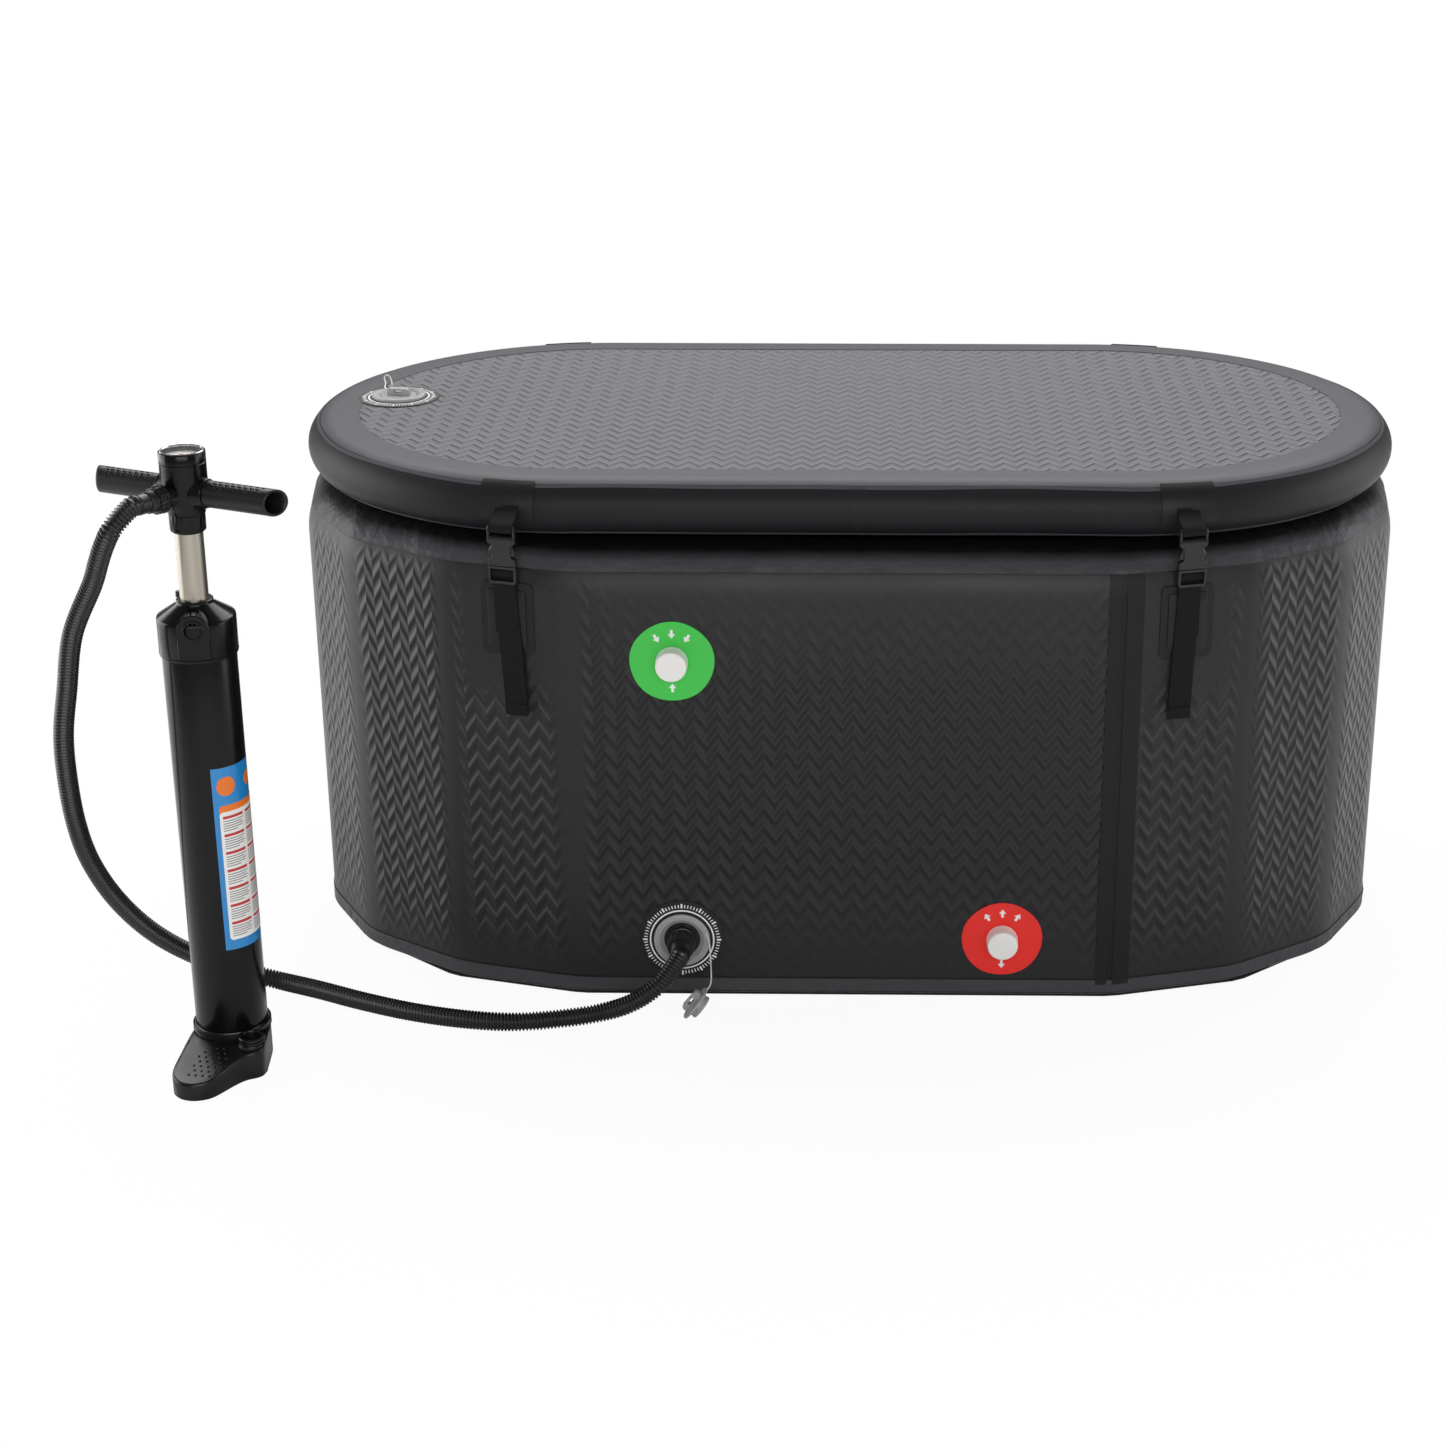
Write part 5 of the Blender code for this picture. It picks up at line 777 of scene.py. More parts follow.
def ribbon(line, half_width, thickness, drift=None):
    """Webbing seen from the side: points of push-out and height, pushed half the thickness to either side
    along the direction square to the line, and given a width along X. A drift shifts each row sideways."""
    ahead = np.gradient(line, axis=0)
    ahead /= np.linalg.norm(ahead, axis=1)[:, None]
    square = np.stack([ahead[:, 1], -ahead[:, 0]], -1) * thickness / 2
    across = np.linspace(-half_width, half_width, 5)
    drift = np.zeros(len(line)) if drift is None else drift
    faces = []
    for face in (line + square, line - square):
        rows = np.broadcast_to(face[:, None], (len(line), 5, 2))
        faces.append(np.stack([across + drift[:, None], -rows[..., 0], rows[..., 1]], -1))
    return slab(*faces)


def strap_plate(half_width, low, high, radius, levels):
    """A glued patch on the wall, as a plate that faces out along -Y."""
    return placed(plate(box_outline(half_width, low, high, radius), levels), FRONT)


# %% Patches and webbing on the wall
tail_line = smooth_route([(0.0033, 0.4705), (0.0033, 0.500), (0.0033, 0.540), (0.0036, 0.5478),
                          (0.0062, 0.5492), (0.0084, 0.5470), (0.0082, 0.5425), (0.0052, 0.5375),
                          (0.0050, 0.5300), (0.0052, 0.470), (0.0060, 0.410), (0.0072, 0.3680)], 0.002)[::-1]
hem_line = tail_line[:HEM_ROWS] + (0.0013, 0)
for name, matrix in STRAPS.items():
    side = STRAP_SIDES[name]
    base = strap_plate(PATCH_HALF, 0.441, 0.5325, 0.010, [(0, GAP), (0, GAP + 0.0007), (0.0004, GAP + TAPE)])
    cover = strap_plate(0.0245, 0.450, 0.5235, 0.006, [(0, GAP + TAPE * 0.8), (0.0004, 0.0024),
                                                       (0.0016, 0.0029)])
    make_piece(name + "_wall_patch", [base, cover], PATCH_PVC, "tub", "smooth_pvc", (name + "_wall_strap",), matrix)
    lean = (0.0075 if side > 0 else 0.0106) * -side
    hang = np.clip((0.530 - tail_line[:, 1]) / 0.163, 0, 1) * (tail_line[:, 0] > 0.0045) * lean
    tail = [ribbon(tail_line, WEB_HALF, WEB_THICK, hang), ribbon(hem_line, WEB_HALF, HEM_THICK,
                                                                 hang[:HEM_ROWS])]
    make_piece(name + "_wall_webbing", tail, WEBBING, "tub", "webbing", place=matrix)

# %% Patches and webbing on the lid
patch_middle = np.arcsin((STRAP_X - LID_STRAIGHT) / LID_RADIUS)
patch_turns = np.linspace(patch_middle - PATCH_HALF / LID_RADIUS, patch_middle + PATCH_HALF / LID_RADIUS, 12)
patch_rise = np.radians(np.linspace(-18, 63, 16))


def lid_patch(lift):
    """A patch that follows the lid's round edge: angles round the end across, angles up the edge along."""
    out, up = lid_arc(patch_rise[:, None], lift)
    return np.stack([LID_STRAIGHT + out * np.sin(patch_turns), -out * np.cos(patch_turns),
                     up + 0 * patch_turns], -1)


patch_shape = slab(lid_patch(2 * GAP + 2 * TAPE + 0.0005), lid_patch(2 * GAP + TAPE))
lid_line = smooth_route([(-0.0205, 0.6200), (-0.0180, 0.6152), (0.0040, 0.6068), (0.0095, 0.6040),
                         (0.0114, 0.6000), (0.0108, 0.5966), (0.0082, 0.5950), (0.0056, 0.5962),
                         (0.0050, 0.6000), (0.0030, 0.6035), (-0.0170, 0.6112), (-0.0195, 0.6140)],
                        0.002)[::-1]
for name, matrix in STRAPS.items():
    side = STRAP_SIDES[name]
    turn = Matrix.Rotation(pi, 4, "Z") if name.startswith("back") else Matrix.Identity(4)
    shape = mirrored(patch_shape) if side < 0 else patch_shape
    make_piece(name + "_lid_patch", shape, PATCH_PVC, "lid", "smooth_pvc", (name + "_lid_strap",), turn)
    lean = np.clip(-lid_line[:, 0] / 0.0205, 0, 1) * 0.0040 * side
    make_piece(name + "_lid_webbing", ribbon(lid_line, WEB_HALF, WEB_THICK, lean), WEBBING, "lid", "webbing",
               place=matrix)

# %% Buckles


def hollow_plate(outer, inner, half, ease):
    """A plate with an opening: rows of the outer outline from one face to the other, and back through the
    opening. Both outlines have the same number of points."""
    outer, inner = np.asarray(outer, float), np.asarray(inner, float)
    middle = inner.mean(axis=0)
    edge = np.linalg.norm(outer - middle, axis=1)[:, None]
    drawn = middle + (outer - middle) * (1 - ease / edge)
    rows = [(inner, -half), (drawn, -half), (outer, ease - half), (outer, half - ease), (drawn, half),
            (inner, half)]
    return skin(np.stack([at_height(row, height) for row, height in rows]), close_rows=True)


def moulded(outline, back, front, ease=0.0006):
    """A moulded part from its outline: it reaches from one push-out to another, and its edges are eased."""
    shape = plate(outline, [(ease, back), (0, back + ease), (0, front - ease), (ease, front)])
    return placed(shape, FRONT)


def both_sides(points):
    """A part of the right side and its mirror image on the left, which keeps the order of a left-hand
    outline."""
    points = np.array(points)
    return [rounded(points, 0.0006, 2), rounded(points[::-1] * (-1, 1), 0.0006, 2)]


BACK, FACE = 0.0043, 0.0115
socket_face = rounded([(-0.0172, 0.5548), (0.0172, 0.5548), (0.0172, 0.5633), (0.0116, 0.5663),
                       (0.0116, 0.5798), (0.0172, 0.5828), (0.0172, 0.5905), (-0.0172, 0.5905),
                       (-0.0172, 0.5828), (-0.0116, 0.5798), (-0.0116, 0.5663), (-0.0172, 0.5633)], 0.0016, 4)
socket = [moulded(socket_face, FACE - 0.0014, FACE, 0.0005), moulded(socket_face, BACK, BACK + 0.0014, 0.0005),
          moulded(box_outline(0.0172, 0.5870, 0.5905, 0.0006), BACK, FACE),
          moulded(box_outline(0.0148, 0.5966, 0.6000, 0.0010), 0.0063, 0.0099, 0.0012)]
for part in ([(0.0140, 0.5550), (0.0172, 0.5550), (0.0172, 0.5633), (0.0140, 0.5645)],
             [(0.0140, 0.5816), (0.0172, 0.5830), (0.0172, 0.5900), (0.0140, 0.5900)],
             [(0.0145, 0.5880), (0.0172, 0.5880), (0.0172, 0.6004), (0.0157, 0.6034), (0.0145, 0.6034)]):
    socket += [moulded(outline, BACK + 0.0003, FACE - 0.0003) for outline in both_sides(part)]
frame_outer = rounded([(-0.0157, 0.5329), (0, 0.5329), (0.0157, 0.5329), (0.0172, 0.5359), (0.0172, 0.5545),
                       (0, 0.5545), (-0.0172, 0.5545), (-0.0172, 0.5359)], 0.0010, 3)
frame_inner = rounded([(-0.0145, 0.5365), (0, 0.5365), (0.0145, 0.5365), (0.0145, 0.5440), (0.0145, 0.5512),
                       (0, 0.5512), (-0.0145, 0.5512), (-0.0145, 0.5440)], 0.0006, 3)
plug = [placed(hollow_plate(frame_outer, frame_inner, (FACE - BACK) / 2, 0.0006),
               FRONT @ Matrix.Translation((0, 0, (FACE + BACK) / 2))),
        moulded(box_outline(0.0147, 0.5440, 0.5475, 0.0010), BACK, 0.0073, 0.0010),
        moulded(box_outline(0.0030, 0.5535, 0.5795, 0.0010), 0.0060, 0.0098)]
plug += [moulded(outline, 0.0060, 0.0098) for outline in both_sides(
    [(0.0076, 0.5535), (0.0120, 0.5535), (0.0120, 0.5663), (0.0162, 0.5675), (0.0162, 0.5731),
     (0.0131, 0.5786), (0.0120, 0.5835), (0.0076, 0.5835)])]
for name, matrix in STRAPS.items():
    for part, shapes, body in (("_buckle_socket", socket, "lid"), ("_buckle_plug", plug, "tub")):
        make_piece(name + part + "_moulding", shapes, ACETAL, body, "buckle_plastic", (name + part,), matrix)

# %% [markdown]
# ## Water fittings
# The bath fills through the green fitting and drains through the red one. Each has a welded vinyl patch, a
# threaded nylon spigot through the wall with a nut inside, and a screw cap. White arrows show which way the
# water goes.

# %% Water finishes
# Welded vinyl sheet in a signal colour: even and satin, with a slight ripple from the welding.
GREEN_VINYL = grained("green_welded_vinyl", "#3ec84b", 0.42, 60.0, 0.0004)
RED_VINYL = grained("red_welded_vinyl", "#f0281f", 0.42, 60.0, 0.0004)
# Moulded nylon: white, slightly see-through at its edges, so light goes a little way into it.
WHITE_NYLON = grained("white_moulded_nylon", "#f4f2ef", 0.34, 700.0, 0.00004, Subsurface_Weight=0.2,
                      Subsurface_Scale=0.002)
# Screen ink: white, flat, a tenth of a millimetre thick.
WHITE_INK = grained("white_screen_ink", "#f1f1ee", 0.55, 2500.0, 0.00003)

# %% Water fittings
WATER_PLACES = {"water_in": Matrix.Translation((-0.206, -WALL_RADIUS, 0.441)) @ FRONT,
                "water_out": Matrix.Translation((0.192, -WALL_RADIUS, 0.080)) @ FRONT}
NECK, BORE, FLANGE_LOW = 0.0135, 0.0090, 0.0016
FITTING_TOP = FLANGE_LOW + 0.0155
thread_height = np.linspace(0.0050, FITTING_TOP - 0.0012, 22)
thread = np.column_stack([NECK - 0.0009 * (np.arange(22) % 4 > 1), thread_height])
fitting_section = np.vstack([[(NECK, -0.114), (NECK, FLANGE_LOW), (0.0185, FLANGE_LOW), (0.0190, 0.0021),
                              (0.0190, 0.0036), (0.0185, 0.0041), (NECK, 0.0041)], thread,
                             [(NECK - 0.001, FITTING_TOP), (BORE, FITTING_TOP), (BORE, -0.114)]])
CAP_FOOT, CAP_HEAD, SCREW_CAP = 0.0044, 0.0229, 0.01925
INK_LOW, INK_TOP, PATCH_EDGE, PATCH_TOP = 0.0011, 0.00142, 0.0010, 0.0013
INK_LEVELS = [(0, INK_LOW), (0, INK_TOP)]
screw_section = rounded([(0, 0.0194), (NECK + GAP, 0.0194), (NECK + GAP, CAP_FOOT), (SCREW_CAP, CAP_FOOT),
                         (SCREW_CAP, 0.0072), (SCREW_CAP - 0.0005, 0.0080),
                         (SCREW_CAP - 0.0005, CAP_HEAD - 0.0005), (SCREW_CAP - 0.0045, CAP_HEAD),
                         (0, CAP_HEAD - 0.0004)], [0, 0.001, 0.0004, 0.0006, 0.0004, 0.0004, 0.0042, 0.004,
                                                   0], 5, closed=False)


def hand_cut(shape, from_radius):
    """A round patch cut by hand: beyond a radius, the reach swings by one per cent, as sines of the angle."""
    x, y = shape[0][:, 0], shape[0][:, 1]
    angle = np.arctan2(y, x)
    swing = 1 + np.where(np.hypot(x, y) > from_radius, 0.008 * np.sin(2 * angle + 1.2)
                         + 0.006 * np.sin(5 * angle), 0)
    return shape[0] * np.column_stack([swing, swing, np.ones(len(x))]), shape[1], shape[2]


def arrow(distance, angle, inward):
    """A small printed arrow on a patch, at a distance and an angle from its middle."""
    head = plate([(-0.0044, 0.0), (0.0044, 0.0), (0.0, 0.0058)], INK_LEVELS)
    shaft = plate([(-0.0016, -0.0050), (0.0016, -0.0050), (0.0016, 0.0), (-0.0016, 0.0)], INK_LEVELS)
    turn = Matrix.Rotation(angle, 4, "Z") @ Matrix.Translation((0, distance, 0))
    turn = turn @ Matrix.Rotation(pi if inward else 0, 4, "Z")
    return [placed(head, turn), placed(shaft, turn)]


nut_turn = np.linspace(0, 2 * pi, 96, endpoint=False)
nut_ring = np.stack([np.cos(nut_turn), np.sin(nut_turn)], -1)
nut = placed(hollow_plate(nut_ring * (0.0239 + 0.0010 * np.cos(12 * nut_turn))[:, None], nut_ring * 0.0138,
                          0.0040, 0.0006), Matrix.Translation((0, 0, -0.1043)))
for name, radius, vinyl, slot in (("water_in", 0.050, GREEN_VINYL, "green_patch"),
                                  ("water_out", 0.049, RED_VINYL, "red_patch")):
    matrix = WATER_PLACES[name]
    patch = turned([(NECK + GAP, GAP), (radius, GAP), (radius, PATCH_EDGE), (radius - 0.0003, PATCH_TOP),
                    (NECK + GAP, PATCH_TOP)], 96)
    make_piece(name + "_vinyl", hand_cut(patch, 0.03), vinyl, "tub", slot, (name + "_patch",), matrix)
    arrows = sum([arrow(distance, radians(angle), name == "water_in")
                  for distance, angle in ((0.0345, -32), (0.0345, 0), (0.0345, 32), (0.0335, 180))], [])
    make_piece(name + "_arrows", arrows, WHITE_INK, "tub", slot, place=matrix)
    for part, shape, body, node in (("_spigot", turned(fitting_section, 48), "tub", "_fitting"),
                                    ("_screw_cap", turned(screw_section, 64, closed=False), name + "_cap",
                                     "_cap"), ("_nylon_nut", nut, "tub", "_nut")):
        make_piece(name + part, shape, WHITE_NYLON, body, "white_nylon", (name + node,), matrix)

# %% [markdown]
# ## Air valves
# Each air valve is a grey nylon body screwed through a round patch. Inside it, a spring keeps a stem shut,
# and pressing the stem lets air out and shortens the spring. The bodies, caps and stems were all made
# round, so each is a section turned about an axis. A ring and ticks take the place of the printing round
# them.

# %% Valve finishes
# Moulded grey nylon: light, satin and even, with the finest grain.
GREY_NYLON = grained("grey_moulded_nylon", "#a3a3a2", 0.36, 900.0, 0.00005)
# Black vinyl patch: darker and smoother than the fabric under it.
BLACK_VINYL = grained("black_welded_vinyl", "#0b0b0c", 0.50, 80.0, 0.0003)
# Stainless spring wire: bright and drawn smooth.
SPRING_WIRE = grained("stainless_spring_wire", "#b9bcc2", 0.25, 3000.0, 0.00001, Metallic=1.0)

# %% Valve sections
body_section = [(0.0240, -0.040), (0.0240, FLANGE_LOW), (0.0342, FLANGE_LOW), (0.0345, 0.0020),
                (0.0345, 0.0042), (0.0340, 0.0051), (0.0330, 0.0056), (0.0312, 0.0056), (0.0308, 0.0051),
                (0.0300, 0.0051), (0.0296, 0.0056), (0.0278, 0.0056), (0.0268, 0.0048), (0.0256, 0.0034),
                (0.0250, 0.0030), (0.0240, 0.0010), (0.0226, 0.0004), (0.0216, -0.0008), (0.0208, -0.0012),
                (0.0194, -0.0026), (0.0190, -0.0040), (0.0190, -0.0210), (0.0112, -0.0210), (0.0112, -0.0240),
                (0.0190, -0.0240), (0.0190, -0.0400)]
hub_section = [(0.0033, -0.0240), (0.0060, -0.0240), (0.0060, -0.0210), (0.0033, -0.0210)]
stem_section = [(0, -0.0263), (0.0120, -0.0263), (0.0125, -0.0258), (0.0125, -0.0243), (0.0030, -0.0243),
                (0.0030, -0.0105), (0.0056, -0.0105), (0.0060, -0.0101), (0.0060, -0.0090), (0.0054, -0.0085),
                (0.0030, -0.0085), (0, -0.0088)]
cap_section = rounded([(0, -CAP_PLUG_HEIGHT), (CAP_PLUG_RADIUS, -CAP_PLUG_HEIGHT), (CAP_PLUG_RADIUS, -0.0052),
                       (CAP_PLUG_RADIUS - 0.001, -0.0050), (CAP_PLUG_RADIUS - 0.001, -0.0034),
                       (CAP_PLUG_RADIUS, -0.0032), (CAP_PLUG_RADIUS, 0), (CAP_RADIUS, 0),
                       (CAP_RADIUS, CAP_DISC), (0.0186, CAP_DISC), (0.0182, CAP_DISC - 0.0006),
                       (0.0174, CAP_DISC - 0.0006), (0.0170, CAP_DISC), (0, CAP_DISC)],
                      [0, 0.001, 0.0003, 0.0003, 0.0003, 0.0003, 0, 0.0003, 0.0012, 0.0002, 0.0002, 0.0002,
                       0.0002, 0], 4, closed=False)
tab_outer = rounded([(-0.0150, 0.0026), (0, 0.0026), (0.0150, 0.0026), (0.0150, 0.0085), (0.0128, 0.0120),
                     (0, 0.0120), (-0.0128, 0.0120), (-0.0150, 0.0085)], 0.0022, 4)
tab_inner = rounded([(-0.0050, 0.0060), (0, 0.0060), (0.0050, 0.0060), (0.0050, 0.00775), (0.0050, 0.0095),
                     (0, 0.0095), (-0.0050, 0.0095), (-0.0050, 0.00775)], 0.0006, 4)
valve_cap = [turned(cap_section, 64, closed=False), placed(hollow_plate(tab_outer, tab_inner, 0.0045, 0.0008), FRONT)]
COIL_TURNS, COIL_RINGS, COIL_RADIUS, COIL_WIRE = 4, 64, 0.0046, 0.00045
# The coil's line: four turns of the wire round the valve's axis, between two depths inside the valve body.
spring_turns = np.linspace(0, COIL_TURNS * 2 * pi, COIL_RINGS)
spring_line = np.column_stack([COIL_RADIUS * np.cos(spring_turns), COIL_RADIUS * np.sin(spring_turns),
                               np.linspace(-0.02025, -0.01125, COIL_RINGS)])

# %% Valves
VALVES = {"air_valve": Matrix.Translation(AIR_VALVE) @ FRONT, "lid_valve": Matrix.Translation(LID_VALVE)}
SEATED_CAP = Matrix.Translation(LID_VALVE + Vector((0, 0, 0.00085))) @ Matrix.Rotation(radians(-10), 4, "Z")
spoke = plate([(0.0055, -0.0014), (0.0116, -0.0014), (0.0116, 0.0014), (0.0055, 0.0014)],
              [(0, -0.0238), (0, -0.0212)])
TICKS, LONG_EVERY = 72, 6
tick, long_tick = [plate([(0.0425, -half), (far, -half), (far, half), (0.0425, half)], INK_LEVELS)
                   for far, half in ((0.0468, 0.0006), (0.0482, 0.0011))]
for name, matrix in VALVES.items():
    body = "tub" if name == "air_valve" else "lid"
    patch = turned([(0.0243, GAP), (0.0525, GAP), (0.0525, PATCH_EDGE), (0.0522, PATCH_TOP),
                    (0.0243, PATCH_TOP)], 96)
    make_piece(name + "_vinyl", patch, BLACK_VINYL, body, "valve_patch", (name + "_patch",), matrix)
    printed = [turned([(0.0380, INK_LOW), (0.0399, INK_LOW), (0.0399, INK_TOP), (0.0380, INK_TOP)], 96)]
    printed += [placed(tick if k % LONG_EVERY else long_tick, Matrix.Rotation(2 * pi * k / TICKS, 4, "Z"))
                for k in range(TICKS)]
    make_piece(name + "_scale", printed, WHITE_INK, body, "valve_patch", place=matrix)
    shapes = [turned(body_section, 72), turned(hub_section, 24)]
    shapes += [placed(spoke, Matrix.Rotation(pi / 2 * k, 4, "Z")) for k in range(4)]
    make_piece(name + "_nylon_body", shapes, GREY_NYLON, body, "valve_plastic", (name + "_body",), matrix)
    make_piece(name + "_nylon_stem", turned(stem_section, 32, closed=False), GREY_NYLON, name + "_stem",
               "valve_plastic", (name + "_stem",), matrix)
    coil = make_piece(name + "_coil", sweep(spring_line, np.full(COIL_RINGS, COIL_WIRE), 8, (0, 0, 1)),
                      SPRING_WIRE, body, "spring_steel", (name + "_spring",), matrix)
    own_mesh(coil)
for name, node, body, place in (("loose_cap", "air_valve_cap", "tub", LOOSE_CAP),
                                ("seated_cap", "lid_valve_cap", "lid_valve_cap", SEATED_CAP)):
    make_piece(name, valve_cap, GREY_NYLON, body, "valve_plastic", (node,), place)

# %% [markdown]
# ## The pump
# A hand pump stands beside the bath: a foot to stand on, a gloss barrel with a cap, and a bright rod up to the head
# with its grips and gauge. Turned sections make the round pieces. Flat plates in front of the cap make the air
# intake, and flat shapes wrapped round the barrel make the printed label.

# %% Pump finishes
# Injection-moulded ABS: black with a high gloss, so the lamps draw long bright lines down it.
GLOSS_ABS = grained("black_gloss_abs", "#0d0d0e", 0.19, 40.0, 0.0002, Specular_IOR_Level=0.26)
# The same ABS from an etched mould: the foot is satin, so that a shoe does not slip.
FOOT_ABS = grained("black_satin_abs", "#101011", 0.30, 700.0, 0.00005, Specular_IOR_Level=0.4)
# Glass-filled nylon: black and satin, a little pebbled.
SATIN_NYLON = grained("black_glass_filled_nylon", "#161617", 0.40, 1200.0, 0.00008)
# Nitrile rubber: black and dull.
RUBBER = grained("black_nitrile_rubber", "#151515", 0.8, 800.0, 0.0001)
# Base sheet of plain PVC: dull, with a coarse wrinkle.
BASE_PVC = grained("grey_base_pvc", "#2b2b2d", 0.7, 25.0, 0.0004)

# Anodised aluminium tube: pale metal, drawn lengthwise, so its fine lines run up the rod.
ROD_METAL, rod_tree, rod_shader = new_finish("anodised_aluminium_tube", "#b9b2a6", 0.30, Metallic=1.0)
rod_place = add_node(rod_tree, "TexCoord")
rod_long = add_node(rod_tree, "Mapping", {"Vector": rod_place.outputs["Object"],
                                          "Scale": (900.0, 900.0, 4.0)})
rod_noise = add_node(rod_tree, "TexNoise", {"Vector": rod_long.outputs["Vector"], "Scale": 1.0,
                                            "Detail": 2.0})
rod_rough = add_node(rod_tree, "MapRange", {"Value": rod_noise.outputs["Fac"], "To Min": 0.26,
                                            "To Max": 0.42})
rod_tree.links.new(rod_rough.outputs["Result"], rod_shader.inputs["Roughness"])

# Soft grip nylon: satin, with a fine moulded grain. Its dimples are in the mesh.
GRIP_NYLON = grained("dimpled_grip_nylon", "#131314", 0.42, 1400.0, 0.00006, Specular_IOR_Level=0.4)

# %% Pump helpers
PUMP = Matrix.Translation((PUMP_X, PUMP_Y, 0))
BARREL_RADIUS = 0.0415


def fluted(profile, count, depth, cut, share=0.5):
    """A turned section with upright flutes: where cut is 1, the radius drops by a depth over a share of
    each one."""
    step = 2 * pi / count
    angle = (np.arange(count)[:, None] * step + np.array([0, share - 0.08, share, 0.92]) * step).ravel()
    low = np.tile([0.0, 0.0, 1.0, 1.0], count)
    profile = np.asarray(profile, float)
    radius = profile[:, :1] - depth * low * np.asarray(cut, float)[:, None]
    return skin(np.stack([radius * np.cos(angle), radius * np.sin(angle),
                          np.broadcast_to(profile[:, 1:], radius.shape)], -1), close_rows=True)


def wrapped(shape, radius, azimuth):
    """A flat shape laid round the pump: x becomes an angle, y the height, and z is added to the radius."""
    x, y, z = shape[0].T
    angle = azimuth + x / radius
    return np.column_stack([(radius + z) * np.cos(angle), (radius + z) * np.sin(angle),
                            y]), shape[1], shape[2]


def pump_piece(name, shapes, finish, body, slot, replaces=(), **options):
    """A piece made about the pump's axis and moved to where the pump stands."""
    return make_piece(name, shapes, finish, body, slot, replaces, PUMP, **options)


# %% Foot
TOE_ANGLE = radians(-99.7)
FOOT_PLAN = rounded([(-0.0430, -0.0150), (-0.0475, -0.0600), (-0.0515, -0.0925), (-0.0476, -0.1070),
                     (-0.0370, -0.1176), (-0.0225, -0.1215), (-0.0080, -0.1176), (0.0010, -0.1100),
                     (0.0100, -0.0960), (0.0195, -0.0810), (0.0290, -0.0700), (0.0400, -0.0655),
                     (0.0470, -0.0590), (0.0485, -0.0500), (0.0478, -0.0350), (0.0462, -0.0150),
                     (0.0450, 0.0020), (0.0415, 0.0160), (0.0320, 0.0330), (0.0200, 0.0600),
                     (0.0140, 0.0850), (0.0060, 0.1000), (-0.0020, 0.1070), (-0.0100, 0.1070),
                     (-0.0170, 0.1010), (-0.0220, 0.0890), (-0.0260, 0.0750), (-0.0320, 0.0640),
                     (-0.0420, 0.0560), (-0.0450, 0.0400), (-0.0450, 0.0100)], 0.012, 4)
COLLAR = 0.0450
BOSSES = ((0.0322, -0.0460), (-0.0280, 0.0400))


def foot_height(place):
    """Height of the foot's top: it falls evenly with the distance along the line through both toes."""
    along = np.abs(place[:, 0] * cos(TOE_ANGLE) + place[:, 1] * sin(TOE_ANGLE))
    return 0.0385 - 0.205 * np.clip(along - 0.040, 0, 1)


def foot_row(inset, drop):
    """The foot's outline drawn in towards its middle, at a drop below the top."""
    row = FOOT_PLAN * (1 - inset / np.linalg.norm(FOOT_PLAN, axis=1)[:, None])
    return np.column_stack([row, foot_height(row) - drop])


def foot_ring(radius, height):
    """A circle with one point for each point of the foot's outline."""
    return at_height(FOOT_PLAN / np.linalg.norm(FOOT_PLAN, axis=1)[:, None] * radius, height)


rim_row, collar_row = foot_row(0.0046, 0.0002), foot_ring(COLLAR, 0.0380)
top_rows = [rim_row * (1 - share) + collar_row * share for share in (0.12, 0.3, 0.5, 0.7, 0.88)]
for row in top_rows:
    row[:, 2] = np.maximum(foot_height(row) - 0.0008, row[:, 2] - 0.0030)
foot_rows = [foot_ring(0.0419, 0.0003), foot_row(0.0012, 0) * (1, 1, 0) + (0, 0, 0.0003),
             foot_row(0, 0) * (1, 1, 0) + (0, 0, 0.0016), foot_row(0, 0.0030), foot_row(0.0006, 0.0012),
             foot_row(0.0018, 0.0003), foot_row(0.0032, 0), rim_row] + top_rows
foot_rows += [foot_ring(radius, height) for radius, height in (
    (COLLAR, 0.0380), (COLLAR + 0.0005, 0.0385), (COLLAR + 0.0005, 0.0393), (COLLAR - 0.0004, 0.0398),
    (COLLAR - 0.0004, 0.0438), (COLLAR + 0.0004, 0.0443), (COLLAR + 0.0004, 0.0454),
    (COLLAR - 0.0008, 0.0460), (COLLAR - 0.0016, 0.0455), (COLLAR - 0.0024, 0.0470), (0.0419, 0.0470))]
boss = [(0, 0.0003), (0.0160, 0.0003), (0.0156, 0.0375), (0.0150, 0.0387), (0.0138, 0.0391), (0.0138, 0.0403),
        (0.0151, 0.0409), (0.0151, 0.0425), (0.0138, 0.0431), (0.0138, 0.0443), (0.0151, 0.0449),
        (0.0151, 0.0464), (0.0144, 0.0472), (0.0118, 0.0472), (0.0112, 0.0464), (0.0112, 0.0400), (0, 0.0400)]
bosses = [placed(turned(boss, 40, closed=False), Matrix.Translation((x, y, 0))) for x, y in BOSSES]
pump_piece("satin_foot", [skin(np.stack(foot_rows), close_rows=True)] + bosses, FOOT_ABS, "tub", "pump_shell",
           ("pump_foot",), sharp=40)
dome = turned([(0.0017, -0.0004), (0.0016, 0.0005), (0.0010, 0.0011), (0, 0.0013)], 8, closed=False)
rows, columns = np.meshgrid(np.arange(7), np.arange(5), indexing="ij")
dot_along = 0.056 + 0.0080 * rows.ravel()
dot_side = 0.0085 * (columns.ravel() - 2 + 0.5 * (rows.ravel() % 2))
dot_keep = (np.abs(dot_side) < 0.018) & (np.hypot(dot_along - 0.084, dot_side) < 0.030)
plan_turn = np.arctan2(FOOT_PLAN[:, 1], FOOT_PLAN[:, 0])
plan_order = np.argsort(plan_turn)
dots = []
